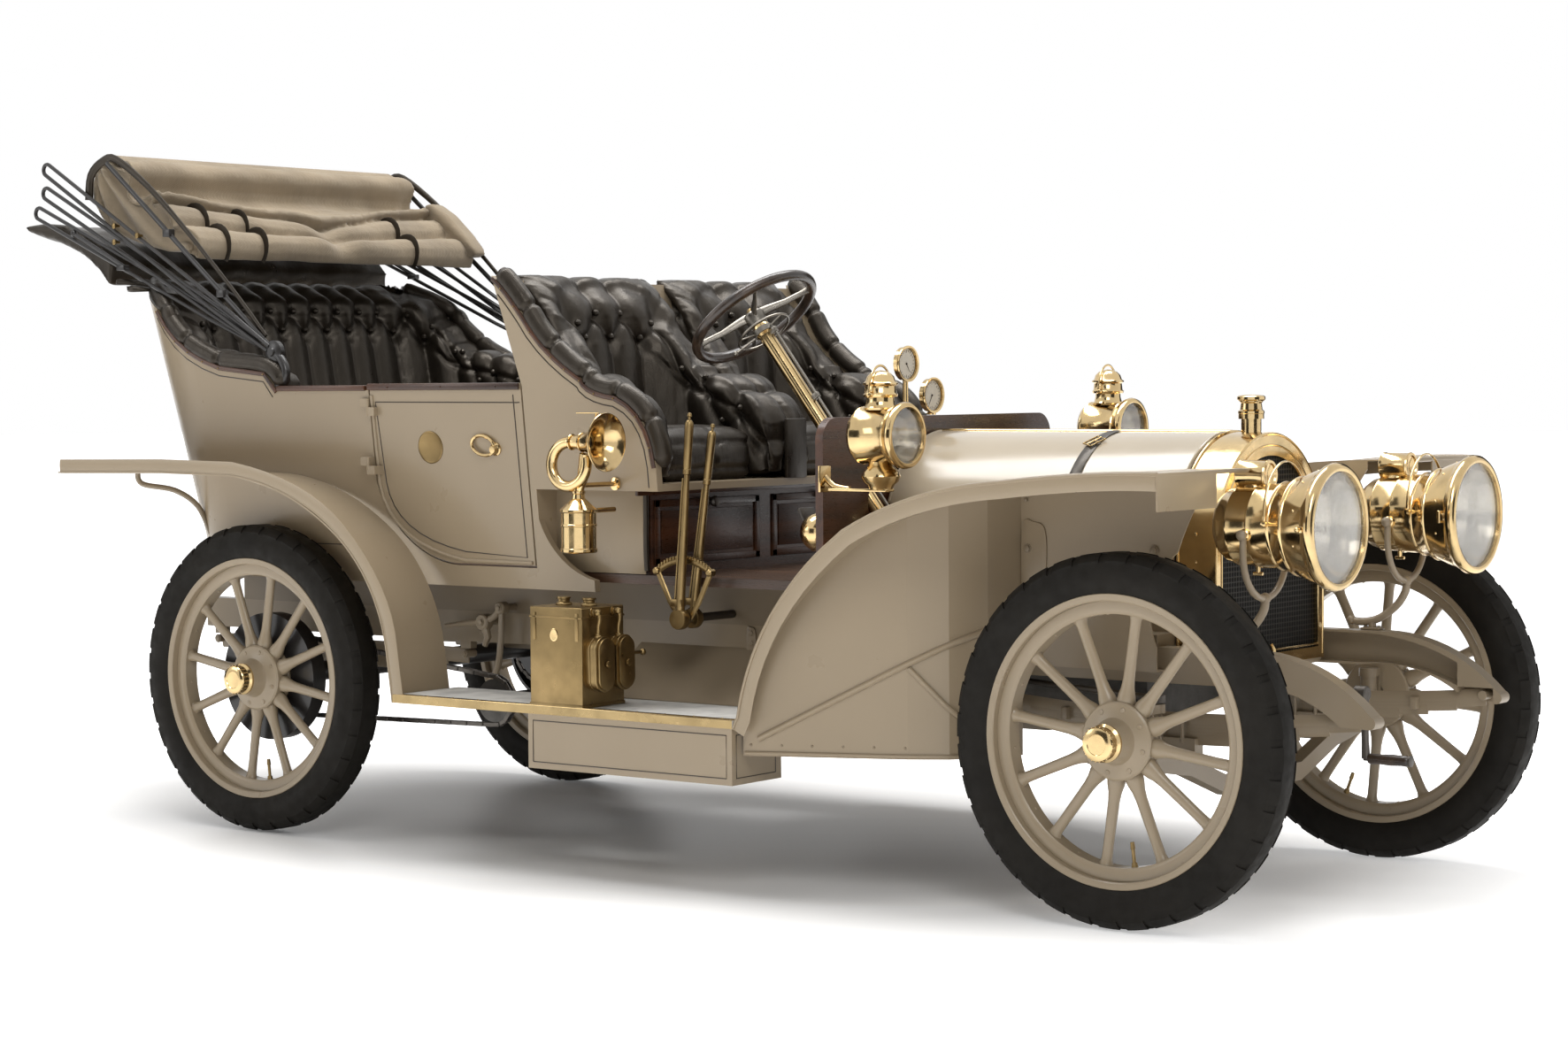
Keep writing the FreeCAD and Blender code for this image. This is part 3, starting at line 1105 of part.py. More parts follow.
def side_lamps():
    """Oil side lamps on brackets at the dash, lens facing forward."""
    back = "-bonnet_back + 60"
    rows = (
        ("0", "0"), ("0", "62"), ("14", "70"), ("130", "70"), ("150", "side_lamp_radius - 4"),
        ("220", "side_lamp_radius"), ("220", "side_lamp_radius - 12"), ("150", "side_lamp_radius - 14"),
        ("134", "58"), ("14", "58"), ("14", "0"),
    )
    bowl = spin("side_lamp_bowl", rows, (back, "-side_lamp_y", "side_lamp_z"), "X")
    stack = cylinder("side_lamp_stack", (f"{back} + 72", "-side_lamp_y", "side_lamp_z + 60"), "44", "80")
    roof = cone("side_lamp_roof", (f"{back} + 72", "-side_lamp_y", "side_lamp_z + 140"), "56", "20", "44")
    font = cylinder("side_lamp_font", (f"{back} + 72", "-side_lamp_y", "side_lamp_z - 150"), "46", "88")
    stem = box("side_lamp_stem", ("-bonnet_back", "-(side_lamp_y + 10)", "side_lamp_z - 60"), "66", "20",
               "50")
    both("side_lamps", fuse("side_lamp", bowl, stack, roof, font, stem))
    pane = cylinder("side_lamp_pane", (f"{back} + 206", "-side_lamp_y", "side_lamp_z"),
                    "side_lamp_radius - 12.5", "4", "X")
    GLASSES.append(pane)
    node("lamp_glasses", *GLASSES, *[mirror(item.Name + "_left", item) for item in GLASSES])


def gauges():
    """Two brass gauges that stand on the dash."""
    pieces = []
    for index, (y, z, stem) in enumerate((("-146", "1377", "dash_top"), ("-23", "1290", "dash_top"))):
        pieces.append(cylinder(f"gauge_{index}", ("-bonnet_back - 24", y, z), "50", "dash_wall", "X"))
        pieces.append(cylinder(f"gauge_stem_{index}", ("-bonnet_back - 12", y, stem), "9",
                               f"{z} - {stem} - 40"))
    node("dash_gauges",
         *[fuse(f"gauge_set_{index}", *pieces[2 * index:2 * index + 2]) for index in range(2)])


def horn():
    """Bulb horn: bell facing forward, looped tube and a round chamber."""
    y = "-790"
    bell = spin("horn_bell", (
        ("0", "0"), ("0", "20"), ("60", "28"), ("104", "46"), ("128", "80"), ("132", "80"),
        ("110", "42"), ("62", "22"), ("12", "10"), ("12", "0")), ("-1670", y, "1172"), "X")
    loop = ring("horn_loop", ("-1668", y, "1112"), "60", "17", "Y")
    neck = cylinder("horn_neck", ("-1640", y, "1020"), "14", "60")
    chamber = cylinder("horn_chamber", ("-1640", y, "872"), "52", "150")
    skin = "(sill_half + (body_half - sill_half) * (1060 - body_bottom) / (waist - body_bottom))"
    arm = box("horn_arm", ("-1652", "-790", "1050"), "24", f"790 - {skin} - fit_gap", "10")
    node("horn", fuse("horn_brass", bell, loop, neck, chamber, arm))


def generator():
    """Brass gas generator on the right running board."""
    case = box("generator_case", ("-1754", "-870", "board_top"), "189", "180", "272")
    pieces = [case]
    for index, y in enumerate(("-815", "-735")):
        pieces.append(cylinder(f"generator_drum_{index}", ("-1566", y, "board_top + 90"), "42", "62", "X"))
        pieces.append(cylinder(f"generator_tank_{index}", ("-1530", y, "board_top + 60"), "26", "160"))
    for index, x in enumerate(("-1705", "-1615")):
        pieces.append(cylinder(f"generator_cap_{index}", (x, "-780", "board_top + 271"), "20", "22"))
    node("gas_generator", fuse("generator_brass", *pieces))


def controls():
    """Hand levers on their quadrant, and two pedals."""
    pieces = [box("quadrant_plate", ("-1530", "-604", "800"), "210", "8", "52"),
              cylinder("lever_shaft", ("-1430", "-628", "690"), "12", "243", "Y"),
              box("quadrant_leg", ("-1442", "-604", "690"), "24", "8", "112")]
    for index, (y, top_x, top_z) in enumerate((("-620", "-1390", "1241"), ("-562", "-1358", "1211"))):
        pieces.append(rod(f"lever_{index}", ("-1430", y, "690"), (top_x, y, top_z), "9"))
    feet = [fuse("lever_set", *pieces)]
    for index, y in enumerate(("-400", "-270")):
        feet.append(fuse(f"pedal_{index}",
                         rod(f"pedal_arm_{index}", ("-1080", y, "floor_top + 4"),
                             ("-1150", y, "floor_top + 130"), "8"),
                         tilt(box(f"pedal_pad_{index}", ("-1150", f"{y} - 35", "floor_top + 120"), "10",
                                  "70", "90"),
                              Vector(0, 1, 0), "-28")))
    node("driver_controls", *feet)


def silencer():
    """Exhaust silencer hung under the frame."""
    drum = cylinder("silencer_drum", ("-1760", "250", "380"), "70", "430", "X")
    pipe = cylinder("silencer_pipe", ("-1331", "250", "380"), "22", "200", "X")
    straps = [box(f"silencer_strap_{index}", (x, "238", "445"), "30", "24", "rail_bottom + rail_wall - 445")
              for index, x in enumerate(("-1690", "-1345"))]
    node("silencer", fuse("silencer_parts", drum, pipe, *straps))


# ---------------------------------------------------------------- folded hood
def hairpin(angle, length, y):
    """Two round bars from the hood pivot, joined by a loop at the far end."""
    radius, half = 6.5, 18
    bars = [Part.makeCylinder(radius, length, Vector(0, y, side * half), Vector(1, 0, 0))
            for side in (-1, 1)]
    loop = Part.makeTorus(half, radius, Vector(length, y, 0), Vector(0, 1, 0), 0, 360)
    keep = Part.makeBox(60, 40, 100, Vector(length, y - 20, -50))
    shape = bars[0].fuse([bars[1], loop.common(keep)])
    shape.rotate(Vector(), Vector(0, 1, 0), 180 + angle)
    shape.translate(Vector(size("pivot_ahead"), 0, size("pivot_z")))
    return shape


def hood():
    """Folded hood: irons on both sides, the cloth bundle and the leather flap."""
    y = -size("hood_half") - 7
    pivot = Vector(size("pivot_ahead"), y, size("pivot_z"))
    shapes = [Part.makeCylinder(34, 16, pivot + Vector(0, 8, 0), Vector(0, -1, 0))]
    for angle, length in ((23, 1180), (26.7, 1165), (30.2, 1190)):
        shapes.append(hairpin(angle, length, y))
    corner = Vector(-710, y, 2025)
    shapes.append(Part.makeCylinder(7, (corner - pivot).Length, pivot, corner - pivot))
    foot = Part.makeBox(40, 9, 60, Vector(pivot.x - 65, y - 12, size("waist + 59.8")))
    prop = Part.makeCylinder(6, 260, Vector(-870, y, 1812), Vector(234, 0, -110))
    irons = doc.addObject("Part::Feature", "hood_iron_set")
    irons.Shape = shapes[0].fuse(shapes[1:] + [foot, prop])
    both("hood_irons", irons, "-wheelbase")
    cloth = (
        # ahead of the rear axle, height
        ("-270", "1752"), ("-320", "1860"), ("-645", "2046"), ("-780", "2030", "-725", "2062"),
        ("-820", "1900", "-820", "1970"), ("-720", "1800"), ("-470", "1738"),
    )
    width = "2 * (hood_half - fit_gap)"
    bundle = plate("hood_bundle", "XZ", cloth, ("0", "hood_half - fit_gap", "0"), width)
    node("hood_cloth", bundle, station="-wheelbase")
    flap = (
        ("-720.3", "1799.7"), ("-820.3", "1899.7"), ("-980", "1868"), ("-1158", "1845"), ("-1080", "1775"),
        ("-890", "1690"), ("-742", "1612"),
    )
    leather = plate("hood_leather", "XZ", flap, ("0", "hood_half - 20", "0"), "2 * (hood_half - 20)")
    node("hood_flap", leather, station="-wheelbase")


# ---------------------------------------------------------------- build
def build():
    """Makes every sub-part, checks it and writes its STEP file."""
    chassis_frame()
    front_axle()
    springs()
    rear_axle()
    wheels()
    chain_drive()
    steering()
    radiator()
    bonnet()
    dash()
    engine()
    crank()
    outer, shell = body_shell()
    rear_body(shell)
    doors(shell)
    front_body(outer, shell)
    seat_boxes()
    upholstery()
    rear_upholstery()
    floor()
    front_guards()
    rear_guards()
    boards()
    headlamps()
    side_lamps()
    gauges()
    horn()
    generator()
    controls()
    silencer()
    hood()
    doc.recompute()
    broken = [item.Name for item in doc.Objects if {"Invalid", "Error"} & set(item.State)]
    for label, item in NODES.items():
        if item.Shape.isNull() or not item.Shape.isValid() or not item.Shape.Solids:
            broken.append(label)
    if broken:
        raise RuntimeError("not valid: " + ", ".join(broken))
    os.makedirs("parts", exist_ok=True)
    for label, item in NODES.items():
        item.Shape.exportStep(f"parts/{label}.step")
    print(len(NODES), "sub-parts written")


build()
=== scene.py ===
"""Finished look of an open touring car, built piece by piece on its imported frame."""
import logging
import math
from dataclasses import dataclass
from enum import Enum
from typing import Callable, Iterable, Sequence

import bmesh
import bpy
from mathutils import Matrix, Vector
from mathutils.bvhtree import BVHTree


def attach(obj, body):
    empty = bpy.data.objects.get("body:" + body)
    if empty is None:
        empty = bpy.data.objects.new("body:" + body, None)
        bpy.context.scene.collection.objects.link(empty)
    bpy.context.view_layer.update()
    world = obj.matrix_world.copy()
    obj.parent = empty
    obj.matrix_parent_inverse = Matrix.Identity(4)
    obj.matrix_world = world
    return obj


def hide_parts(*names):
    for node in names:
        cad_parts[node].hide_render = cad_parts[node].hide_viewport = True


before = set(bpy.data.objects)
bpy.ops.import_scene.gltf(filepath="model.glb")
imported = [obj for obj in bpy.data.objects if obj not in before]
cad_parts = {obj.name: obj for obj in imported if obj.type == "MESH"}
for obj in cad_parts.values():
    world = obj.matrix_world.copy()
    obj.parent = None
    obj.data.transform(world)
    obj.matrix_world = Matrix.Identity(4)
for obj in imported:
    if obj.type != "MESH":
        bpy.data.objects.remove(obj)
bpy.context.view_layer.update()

LOG = logging.getLogger("touring_car")
Point = tuple[float, float, float]
Flat = tuple[float, float]
UP = Vector((0.0, 0.0, 1.0))


class Axis(Enum):
    """Direction along which turned work lies."""

    FORWARD = (1.0, 0.0, 0.0)
    BACK = (-1.0, 0.0, 0.0)
    RIGHT = (0.0, -1.0, 0.0)
    LEFT = (0.0, 1.0, 0.0)
    UPRIGHT = (0.0, 0.0, 1.0)


class Side(Enum):
    """Side of the car; the value is the sign of its row Y."""

    RIGHT = -1
    LEFT = 1


# ---------------------------------------------------------------- finishes
class Graph:
    """Node tree of one material, with its shader already wired to the output."""

    def __init__(self, name: str) -> None:
        """Starts an empty tree.

        Args:
            name: the material's name.
        """
        self.material = bpy.data.materials.new(name)
        self.material.use_nodes = True
        self.tree = self.material.node_tree
        self.tree.nodes.clear()
        out = self.tree.nodes.new("ShaderNodeOutputMaterial")
        self.shader = self.tree.nodes.new("ShaderNodeBsdfPrincipled")
        self.tree.links.new(self.shader.outputs[0], out.inputs[0])
        self.place = self.tree.nodes.new("ShaderNodeTexCoord").outputs["Object"]

    def set(self, **values: object) -> None:
        """Sets shader sockets; an underscore in a name stands for a space.

        Args:
            values: a number, a colour or a socket for each input.
        """
        for name, value in values.items():
            socket = self.shader.inputs[name.replace("_", " ")]
            if isinstance(value, bpy.types.NodeSocket):
                self.tree.links.new(value, socket)
            elif isinstance(value, tuple):
                socket.default_value = (*value, 1.0)
            else:
                socket.default_value = value

    def node(self, kind: str, **inputs: object) -> bpy.types.Node:
        """Adds a node.

        Args:
            kind: the node's type without its ShaderNode prefix.
            inputs: values or sockets by input name, with underscores for spaces.

        Returns:
            The new node.
        """
        made = self.tree.nodes.new("ShaderNode" + kind)
        for name, value in inputs.items():
            socket = made.inputs[name.replace("_", " ")]
            if isinstance(value, bpy.types.NodeSocket):
                self.tree.links.new(value, socket)
            else:
                socket.default_value = value
        return made

    def stretched(self, scale: Point, turn: Point = (0.0, 0.0, 0.0)) -> bpy.types.NodeSocket:
        """Object coordinates scaled and turned.

        Args:
            scale: factor along each axis.
            turn: angles in radians.

        Returns:
            The mapped vector.
        """
        return self.node("Mapping", Vector=self.place, Scale=scale, Rotation=turn).outputs[0]

    def noise(self, scale: float, detail: float = 3.0, vector: bpy.types.NodeSocket | None = None) -> bpy.types.NodeSocket:
        """Soft noise from 0 to 1.

        Args:
            scale: cells per metre.
            detail: octaves.
            vector: coordinates, or None for the object's own.

        Returns:
            The factor.
        """
        return self.node("TexNoise", Vector=vector or self.place, Scale=scale, Detail=detail).outputs[0]

    def ramp(self, factor: bpy.types.NodeSocket, *stops: tuple[float, Point]) -> bpy.types.NodeSocket:
        """Colours along a factor.

        Args:
            factor: the driving value.
            stops: pairs of place and colour.

        Returns:
            The colour.
        """
        made = self.node("ValToRGB", Fac=factor)
        while len(made.color_ramp.elements) < len(stops):
            made.color_ramp.elements.new(0.5)
        for element, (at, colour) in zip(made.color_ramp.elements, stops):
            element.position = at
            element.color = (*colour, 1.0)
        return made.outputs[0]

    def span(self, factor: bpy.types.NodeSocket, low: float, high: float, start: float = 0.3, end: float = 0.7) -> bpy.types.NodeSocket:
        """Maps a factor onto a range.

        Args:
            factor: the driving value.
            low: result at the start.
            high: result at the end.
            start: factor at which the range starts.
            end: factor at which the range ends.

        Returns:
            The mapped value.
        """
        made = self.node("MapRange", Value=factor)
        for index, value in enumerate((start, end, low, high), start=1):
            made.inputs[index].default_value = value
        return made.outputs[0]

    def math(self, operation: str, first: object, second: object = 0.0) -> bpy.types.NodeSocket:
        """Arithmetic on two values.

        Args:
            operation: Blender's name of the operation.
            first: value or socket.
            second: value or socket.

        Returns:
            The result.
        """
        made = self.tree.nodes.new("ShaderNodeMath")
        made.operation = operation
        for socket, value in zip(made.inputs, (first, second)):
            if isinstance(value, bpy.types.NodeSocket):
                self.tree.links.new(value, socket)
            else:
                socket.default_value = value
        return made.outputs[0]

    def bump(self, *layers: tuple[bpy.types.NodeSocket, float]) -> None:
        """Raises the surface by one or more heights.

        Args:
            layers: pairs of height factor and depth in metres.
        """
        normal = None
        for height, depth in layers:
            made = self.node("Bump", Height=height, Distance=depth, Strength=1.0)
            if normal:
                self.tree.links.new(normal, made.inputs["Normal"])
            normal = made.outputs[0]
        self.tree.links.new(normal, self.shader.inputs["Normal"])


MADE: dict[str, bpy.types.Material] = {}


@dataclass(frozen=True)
class Finish:
    """A surface finish and the record slot that it belongs to."""

    name: str
    slot: str
    colour: Point

    def dress(self, graph: Graph) -> None:
        """Plain matt finish; each kind of finish replaces this."""
        graph.set(Base_Color=self.colour, Roughness=0.6)

    def material(self) -> bpy.types.Material:
        """The finish as a Blender material, made once."""
        if self.name not in MADE:
            graph = Graph(self.name)
            self.dress(graph)
            MADE[self.name] = graph.material
        return MADE[self.name]

    def shade(self, factor: float) -> Point:
        """The finish's colour, lighter or darker."""
        return tuple(min(1.0, part * factor) for part in self.colour)


@dataclass(frozen=True)
class Enamel(Finish):
    """Brushed and varnished coach enamel with faint cloudiness and orange peel."""

    gloss: float = 0.30
    coat: float = 0.14

    def dress(self, graph: Graph) -> None:
        """Wires cloudy colour, uneven gloss and orange peel."""
        cloud = graph.noise(2.6, 5.0)
        graph.set(Base_Color=graph.ramp(cloud, (0.3, self.shade(0.975)), (0.7, self.shade(1.02))),
                  Roughness=graph.span(graph.noise(9.0, 6.0), self.gloss - 0.03, self.gloss + 0.05),
                  Coat_Weight=self.coat, Coat_Roughness=0.16, Specular_IOR_Level=0.35)
        graph.bump((graph.noise(240.0, 2.0), 0.00003), (graph.noise(6.0, 2.0), 0.0003))


@dataclass(frozen=True)
class Metal(Finish):
    """Bare metal with haze and fine scratches."""

    low: float = 0.1
    high: float = 0.26
    scratch: float = 0.00003

    def dress(self, graph: Graph) -> None:
        """Wires tarnish, uneven polish and scratches."""
        haze = graph.noise(11.0, 7.0)
        graph.set(Base_Color=graph.ramp(haze, (0.25, self.shade(0.72)), (0.55, self.colour), (0.8, self.shade(1.08))),
                  Metallic=1.0, Roughness=graph.span(graph.noise(26.0, 8.0), self.low, self.high))
        graph.bump((graph.noise(90.0, 6.0, graph.stretched((1.0, 5.0, 14.0))), self.scratch), (graph.noise(30.0, 2.0), self.scratch * 6))


@dataclass(frozen=True)
class Hide(Finish):
    """Black upholstery leather with grain, creases and worn lighter crowns."""

    def dress(self, graph: Graph) -> None:
        """Wires grain cells, fine creases and wear."""
        cells = graph.node("TexVoronoi", Vector=graph.place, Scale=420.0).outputs[0]
        creases = graph.noise(55.0, 8.0, graph.stretched((1.0, 1.0, 0.45)))
        wear = graph.noise(7.0, 6.0)
        graph.set(Base_Color=graph.ramp(wear, (0.32, self.shade(0.75)), (0.6, self.colour), (0.85, self.shade(2.0))),
                  Roughness=graph.span(graph.noise(24.0, 6.0), 0.27, 0.45), Specular_IOR_Level=0.40, Specular_Tint=(1.0, 0.88, 0.74))
        graph.bump((cells, 0.00022), (creases, 0.0011))


@dataclass(frozen=True)
class Timber(Finish):
    """Varnished timber with grain along the chosen axis."""

    along: int = 0
    coat: float = 0.5

    def dress(self, graph: Graph) -> None:
        """Wires stretched grain, pores and varnish."""
        scale = [26.0, 26.0, 26.0]
        scale[self.along] = 1.6
        grain = graph.noise(1.0, 6.0, graph.stretched(tuple(scale)))
        pores = graph.noise(9.0, 5.0, graph.stretched(tuple(part * 3.0 for part in scale)))
        graph.set(Base_Color=graph.ramp(grain, (0.3, self.shade(0.35)), (0.5, self.colour), (0.72, self.shade(1.7))),
                  Roughness=graph.span(pores, 0.24, 0.42), Coat_Weight=self.coat, Coat_Roughness=0.12)
        graph.bump((pores, 0.00025))


@dataclass(frozen=True)
class Weave(Finish):
    """Tan hood canvas: plain weave, folds rubbed pale and faint stains."""

    pitch: float = 520.0

    def dress(self, graph: Graph) -> None:
        """Wires two crossing threads, slubs and stains."""
        threads = []
        for turn in (0.0, math.pi / 2):
            wave = graph.node("TexWave", Vector=graph.stretched((1.0, 1.0, 1.0), (0.6, turn, 0.3)), Scale=self.pitch / 6.3, Distortion=0.6, Detail=1.0)
            threads.append(wave.outputs["Fac"])
        weave = graph.math("MULTIPLY", threads[0], threads[1])
        stain = graph.noise(5.0, 7.0)
        graph.set(Base_Color=graph.ramp(stain, (0.3, self.shade(0.74)), (0.52, self.colour), (0.78, self.shade(1.22))),
                  Roughness=0.9, Sheen_Weight=0.25, Sheen_Roughness=0.5)
        graph.bump((weave, 0.0005), (graph.noise(38.0, 5.0), 0.002))


@dataclass(frozen=True)
class Rubber(Finish):
    """Tyre rubber with a dusty bloom."""

    def dress(self, graph: Graph) -> None:
        """Wires bloom, moulding grain and shallow waves."""
        bloom = graph.noise(8.0, 7.0)
        graph.set(Base_Color=graph.ramp(bloom, (0.35, self.colour), (0.75, self.shade(1.6))),
                  Roughness=graph.span(graph.noise(35.0, 5.0), 0.55, 0.75), Specular_IOR_Level=0.14)
        graph.bump((graph.noise(420.0, 3.0), 0.00012), (graph.noise(26.0, 3.0), 0.0008))


@dataclass(frozen=True)
class LampGlass(Finish):
    """Clear lamp glass."""

    def dress(self, graph: Graph) -> None:
        """Wires clear glass with slight waves."""
        graph.set(Base_Color=self.colour, Roughness=0.02, IOR=1.45, Transmission_Weight=1.0, Alpha=0.5)
        graph.bump((graph.noise(22.0, 2.0), 0.0002))


@dataclass(frozen=True)
class Ribbed(Finish):
    """Pale running board covering with fine ribs along the car."""

    pitch: float = 260.0

    def dress(self, graph: Graph) -> None:
        """Wires ribs across the board, scuffs and dirt."""
        across = graph.node("SeparateXYZ", Vector=graph.place).outputs[1]
        rib = graph.math("PINGPONG", graph.math("MULTIPLY", across, self.pitch), 1.0)
        scuff = graph.noise(13.0, 7.0)
        graph.set(Base_Color=graph.ramp(scuff, (0.3, self.shade(0.72)), (0.55, self.colour), (0.8, self.shade(1.1))),
                  Roughness=0.55, Specular_IOR_Level=0.4)
        graph.bump((rib, 0.0007), (scuff, 0.0006))


@dataclass(frozen=True)
class Comb(Finish):
    """Radiator core: rows of small tubes with brass edges, the tubes' middles painted dark as painted shade."""

    pitch: float = 150.0

    def dress(self, graph: Graph) -> None:
        """Wires a fine grid of cells whose middles are painted dark as the shade inside the tubes."""
        parts = graph.node("SeparateXYZ", Vector=graph.place)
        cells = []
        for index in (1, 2):
            wave = graph.math("PINGPONG", graph.math("MULTIPLY", parts.outputs[index], self.pitch), 1.0)
            cells.append(graph.math("SMOOTH_MIN", wave, 0.6))
        hole = graph.math("MULTIPLY", cells[0], cells[1])
        # Painted shade: the middle of each cell is painted ten times darker than its edges, for the shade deep inside
        # the tubes.
        graph.set(Base_Color=graph.ramp(hole, (0.02, self.shade(1.0)), (0.16, self.shade(0.1))), Metallic=0.6,
                  Roughness=graph.span(hole, 0.35, 0.8, 0.0, 0.2))
        graph.bump((hole, 0.002))


PAINT = Enamel("coach_enamel", "body_paint", (0.315, 0.248, 0.165))
# Painted highlight: a lighter, glossier copy of the coach enamel on the bonnet's top halves, for the top light that
# falls on them; the bonnet sides keep the plain enamel.
LIT_BONNET_PAINT = Enamel("bonnet_enamel", "body_paint", (0.450, 0.375, 0.270), 0.20, 0.6)
FRAME_PAINT = Enamel("chassis_enamel", "frame_paint", (0.250, 0.197, 0.132), 0.34, 0.1)
WHEEL_PAINT = Enamel("wheel_enamel", "body_paint", (0.300, 0.238, 0.160), 0.30, 0.15)
LINE = Enamel("coachline_enamel", "body_paint", (0.030, 0.021, 0.014), 0.30, 0.3)
IRON = Enamel("black_iron_enamel", "black_iron", (0.020, 0.018, 0.017), 0.32, 0.25)
BRASS = Metal("polished_brass", "brass", (0.66, 0.485, 0.245), 0.08, 0.20)
OLD_BRASS = Metal("aged_brass", "brass", (0.245, 0.172, 0.078), 0.26, 0.46, 0.00006)
STEEL = Metal("bright_steel", "steel", (0.24, 0.22, 0.19), 0.24, 0.42, 0.00006)
DARK_STEEL = Metal("oily_steel", "steel", (0.11, 0.10, 0.09), 0.34, 0.55, 0.00008)
# Silvered reflector with a warm, darkened tone: partly its own tone, partly painted shade so that the inside of the
# lamps reads dim.
MIRROR = Metal("silvered_reflector", "brass", (0.40, 0.365, 0.305), 0.06, 0.16)
CASTING = Metal("cast_iron_skin", "engine", (0.10, 0.095, 0.088), 0.45, 0.65, 0.0003)
HIDE = Hide("black_hide", "leather", (0.0165, 0.0130, 0.0095))
MAHOGANY = Timber("mahogany_fore_and_aft", "mahogany", (0.055, 0.0195, 0.0075), 0, 0.08)
MAHOGANY_ACROSS = Timber("mahogany_across", "mahogany", (0.055, 0.0195, 0.0075), 1, 0.08)
RIM_WOOD = Timber("wheel_rim_wood", "mahogany", (0.034, 0.020, 0.012), 1, 0.3)
BOARDS = Timber("floor_boards", "floor_wood", (0.060, 0.030, 0.016), 0, 0.05)
SILL_PAINT = Enamel("sill_enamel", "floor_wood", (0.200, 0.156, 0.104), 0.40, 0.1)
CANVAS = Weave("hood_canvas", "canvas", (0.270, 0.212, 0.140))
TYRE = Rubber("tyre_rubber", "tyre", (0.0090, 0.0078, 0.0062))
GLASS = LampGlass("lamp_glass", "glass", (0.97, 0.98, 0.98))
BOARD_EDGE = Metal("board_edge_brass", "board", (0.36, 0.265, 0.130), 0.20, 0.42, 0.00006)
TREADING = Ribbed("board_covering", "board", (0.56, 0.55, 0.52))
CORE = Comb("radiator_tubes", "core", (0.012, 0.0095, 0.006))
DIAL = Enamel("dial_enamel", "brass", (0.74, 0.70, 0.61), 0.35, 0.2)


# ---------------------------------------------------------------- shaping
def facing(direction: Sequence[float], at: Sequence[float]) -> Matrix:
    """Matrix that lays local X along a direction.

    Args:
        direction: where local X goes.
        at: where the origin goes.

    Returns:
        The placement.
    """
    turn = Vector((1.0, 0.0, 0.0)).rotation_difference(Vector(direction).normalized())
    return Matrix.Translation(Vector(at)) @ turn.to_matrix().to_4x4()


def smooth_path(points: Sequence[Sequence[float]], steps: int = 6, closed: bool = False) -> list[Vector]:
    """Rounded path through points.

    Args:
        points: the places that it passes.
        steps: pieces between two points.
        closed: whether the end joins the start.

    Returns:
        The finer path.
    """
    fixed = [Vector(point) for point in points]
    count = len(fixed)
    path: list[Vector] = []
    for index in range(count if closed else count - 1):
        if closed:
            before, here, there, after = (fixed[(index + shift) % count] for shift in (-1, 0, 1, 2))
        else:
            before, here = fixed[max(index - 1, 0)], fixed[index]
            there, after = fixed[index + 1], fixed[min(index + 2, count - 1)]
        for step in range(steps):
            t = step / steps
            path.append(0.5 * (2 * here + (there - before) * t + (2 * before - 5 * here + 4 * there - after) * t * t
                               + (3 * here - before - 3 * there + after) * t ** 3))
    if not closed:
        path.append(fixed[-1])
    return path


